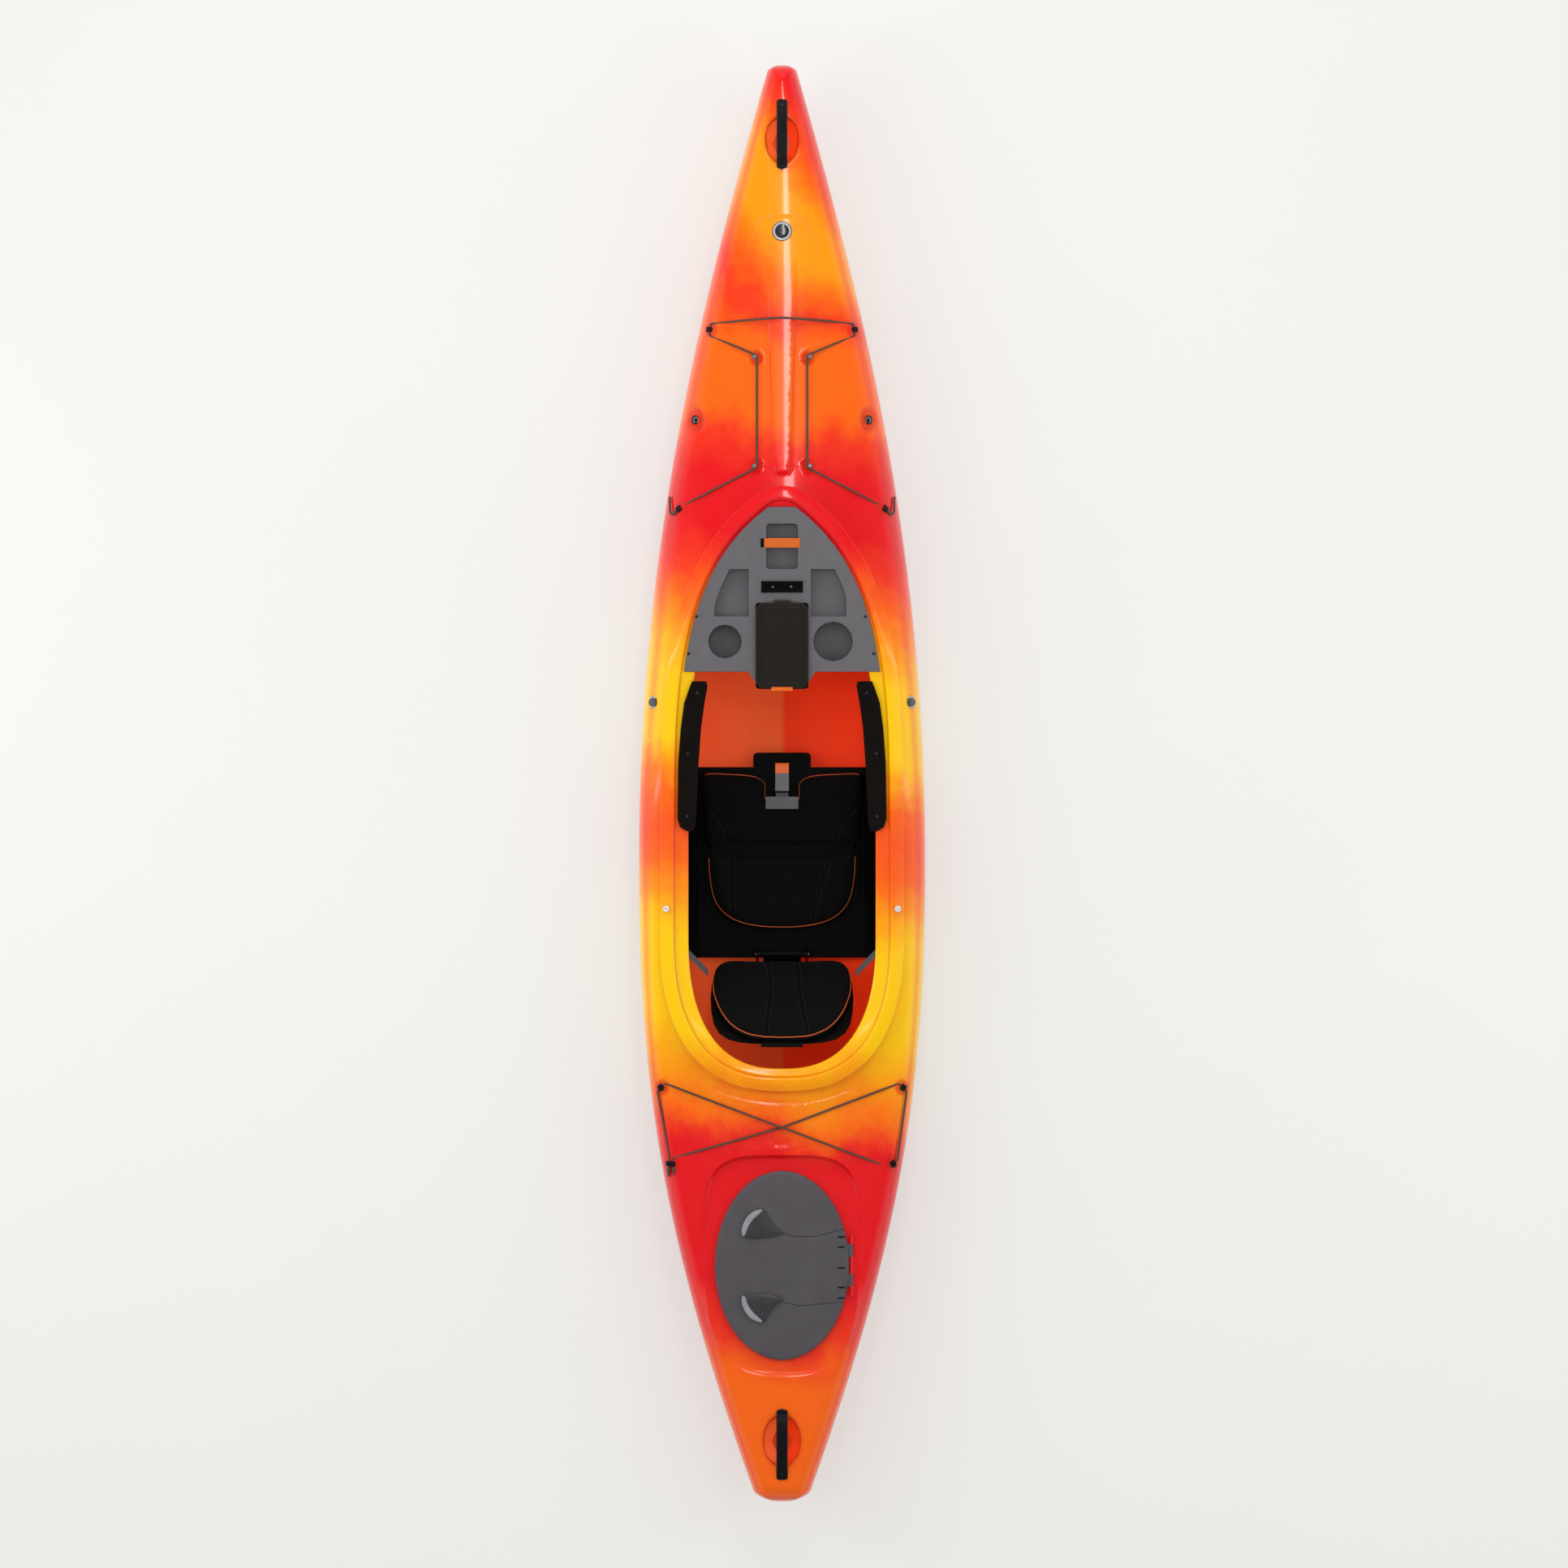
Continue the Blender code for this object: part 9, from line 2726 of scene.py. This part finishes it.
    def build_camera(self) -> None:
        """Long lens straight above, with the bow at the top of the frame."""
        data = bpy.data.cameras.new("camera")
        data.sensor_width = self.sensor_mm
        data.lens = self.sensor_mm * self.camera_height / self.view_across
        data.clip_end = 200.0
        camera = bpy.data.objects.new("camera", data)
        bpy.context.scene.collection.objects.link(camera)
        camera.location = (*self.centre, self.camera_height + self.deck_level)
        bpy.context.scene.camera = camera

    def build(self) -> None:
        """Set up the stage."""
        self.build_floor()
        self.build_lamps()
        self.build_camera()
        bpy.context.scene.view_settings.view_transform = "Standard"


def main() -> None:
    """Build every sub-assembly in order."""
    logging.basicConfig(level=logging.INFO, format="%(name)s: %(message)s")
    bands = (
        (-1.905, Tone.ORANGE), (-1.60, Tone.ORANGE), (-1.48, Tone.SCARLET), (-1.34, Tone.RED), (-0.99, Tone.RED),
        (-0.95, Tone.SCARLET), (-0.90, Tone.ORANGE), (-0.78, Tone.AMBER), (-0.65, Tone.YELLOW),
        (-0.40, Tone.YELLOW), (-0.31, Tone.AMBER), (-0.21, Tone.ORANGE), (-0.13, Tone.EMBER), (-0.05, Tone.ORANGE),
        (0.02, Tone.AMBER), (0.09, Tone.YELLOW), (0.28, Tone.YELLOW), (0.38, Tone.AMBER), (0.46, Tone.ORANGE),
        (0.56, Tone.SCARLET), (0.64, Tone.RED), (0.82, Tone.RED), (0.90, Tone.SCARLET), (0.97, Tone.ORANGE),
        (1.18, Tone.ORANGE), (1.26, Tone.SCARLET), (1.33, Tone.ORANGE), (1.43, Tone.AMBER), (1.58, Tone.AMBER),
        (1.68, Tone.ORANGE), (1.78, Tone.SCARLET), (1.86, Tone.RED),
    )
    Studio().build()
    outside = RotomouldedShell("rotomoulded_polyethylene", bands)
    inner = RotomouldedInside("rotomoulded_polyethylene_inside")
    shell = Shell(finishes=(outside, inner))
    shell.build_hull()
    deck = shell.build_deck()
    Rigging().build(deck)
    Cockpit().build()
    RearHatch().build(outside)
    Fasteners().build()
    SeatPads().build(stitch_recipe(), piping_recipe())


if __name__ == "__main__":
    main()
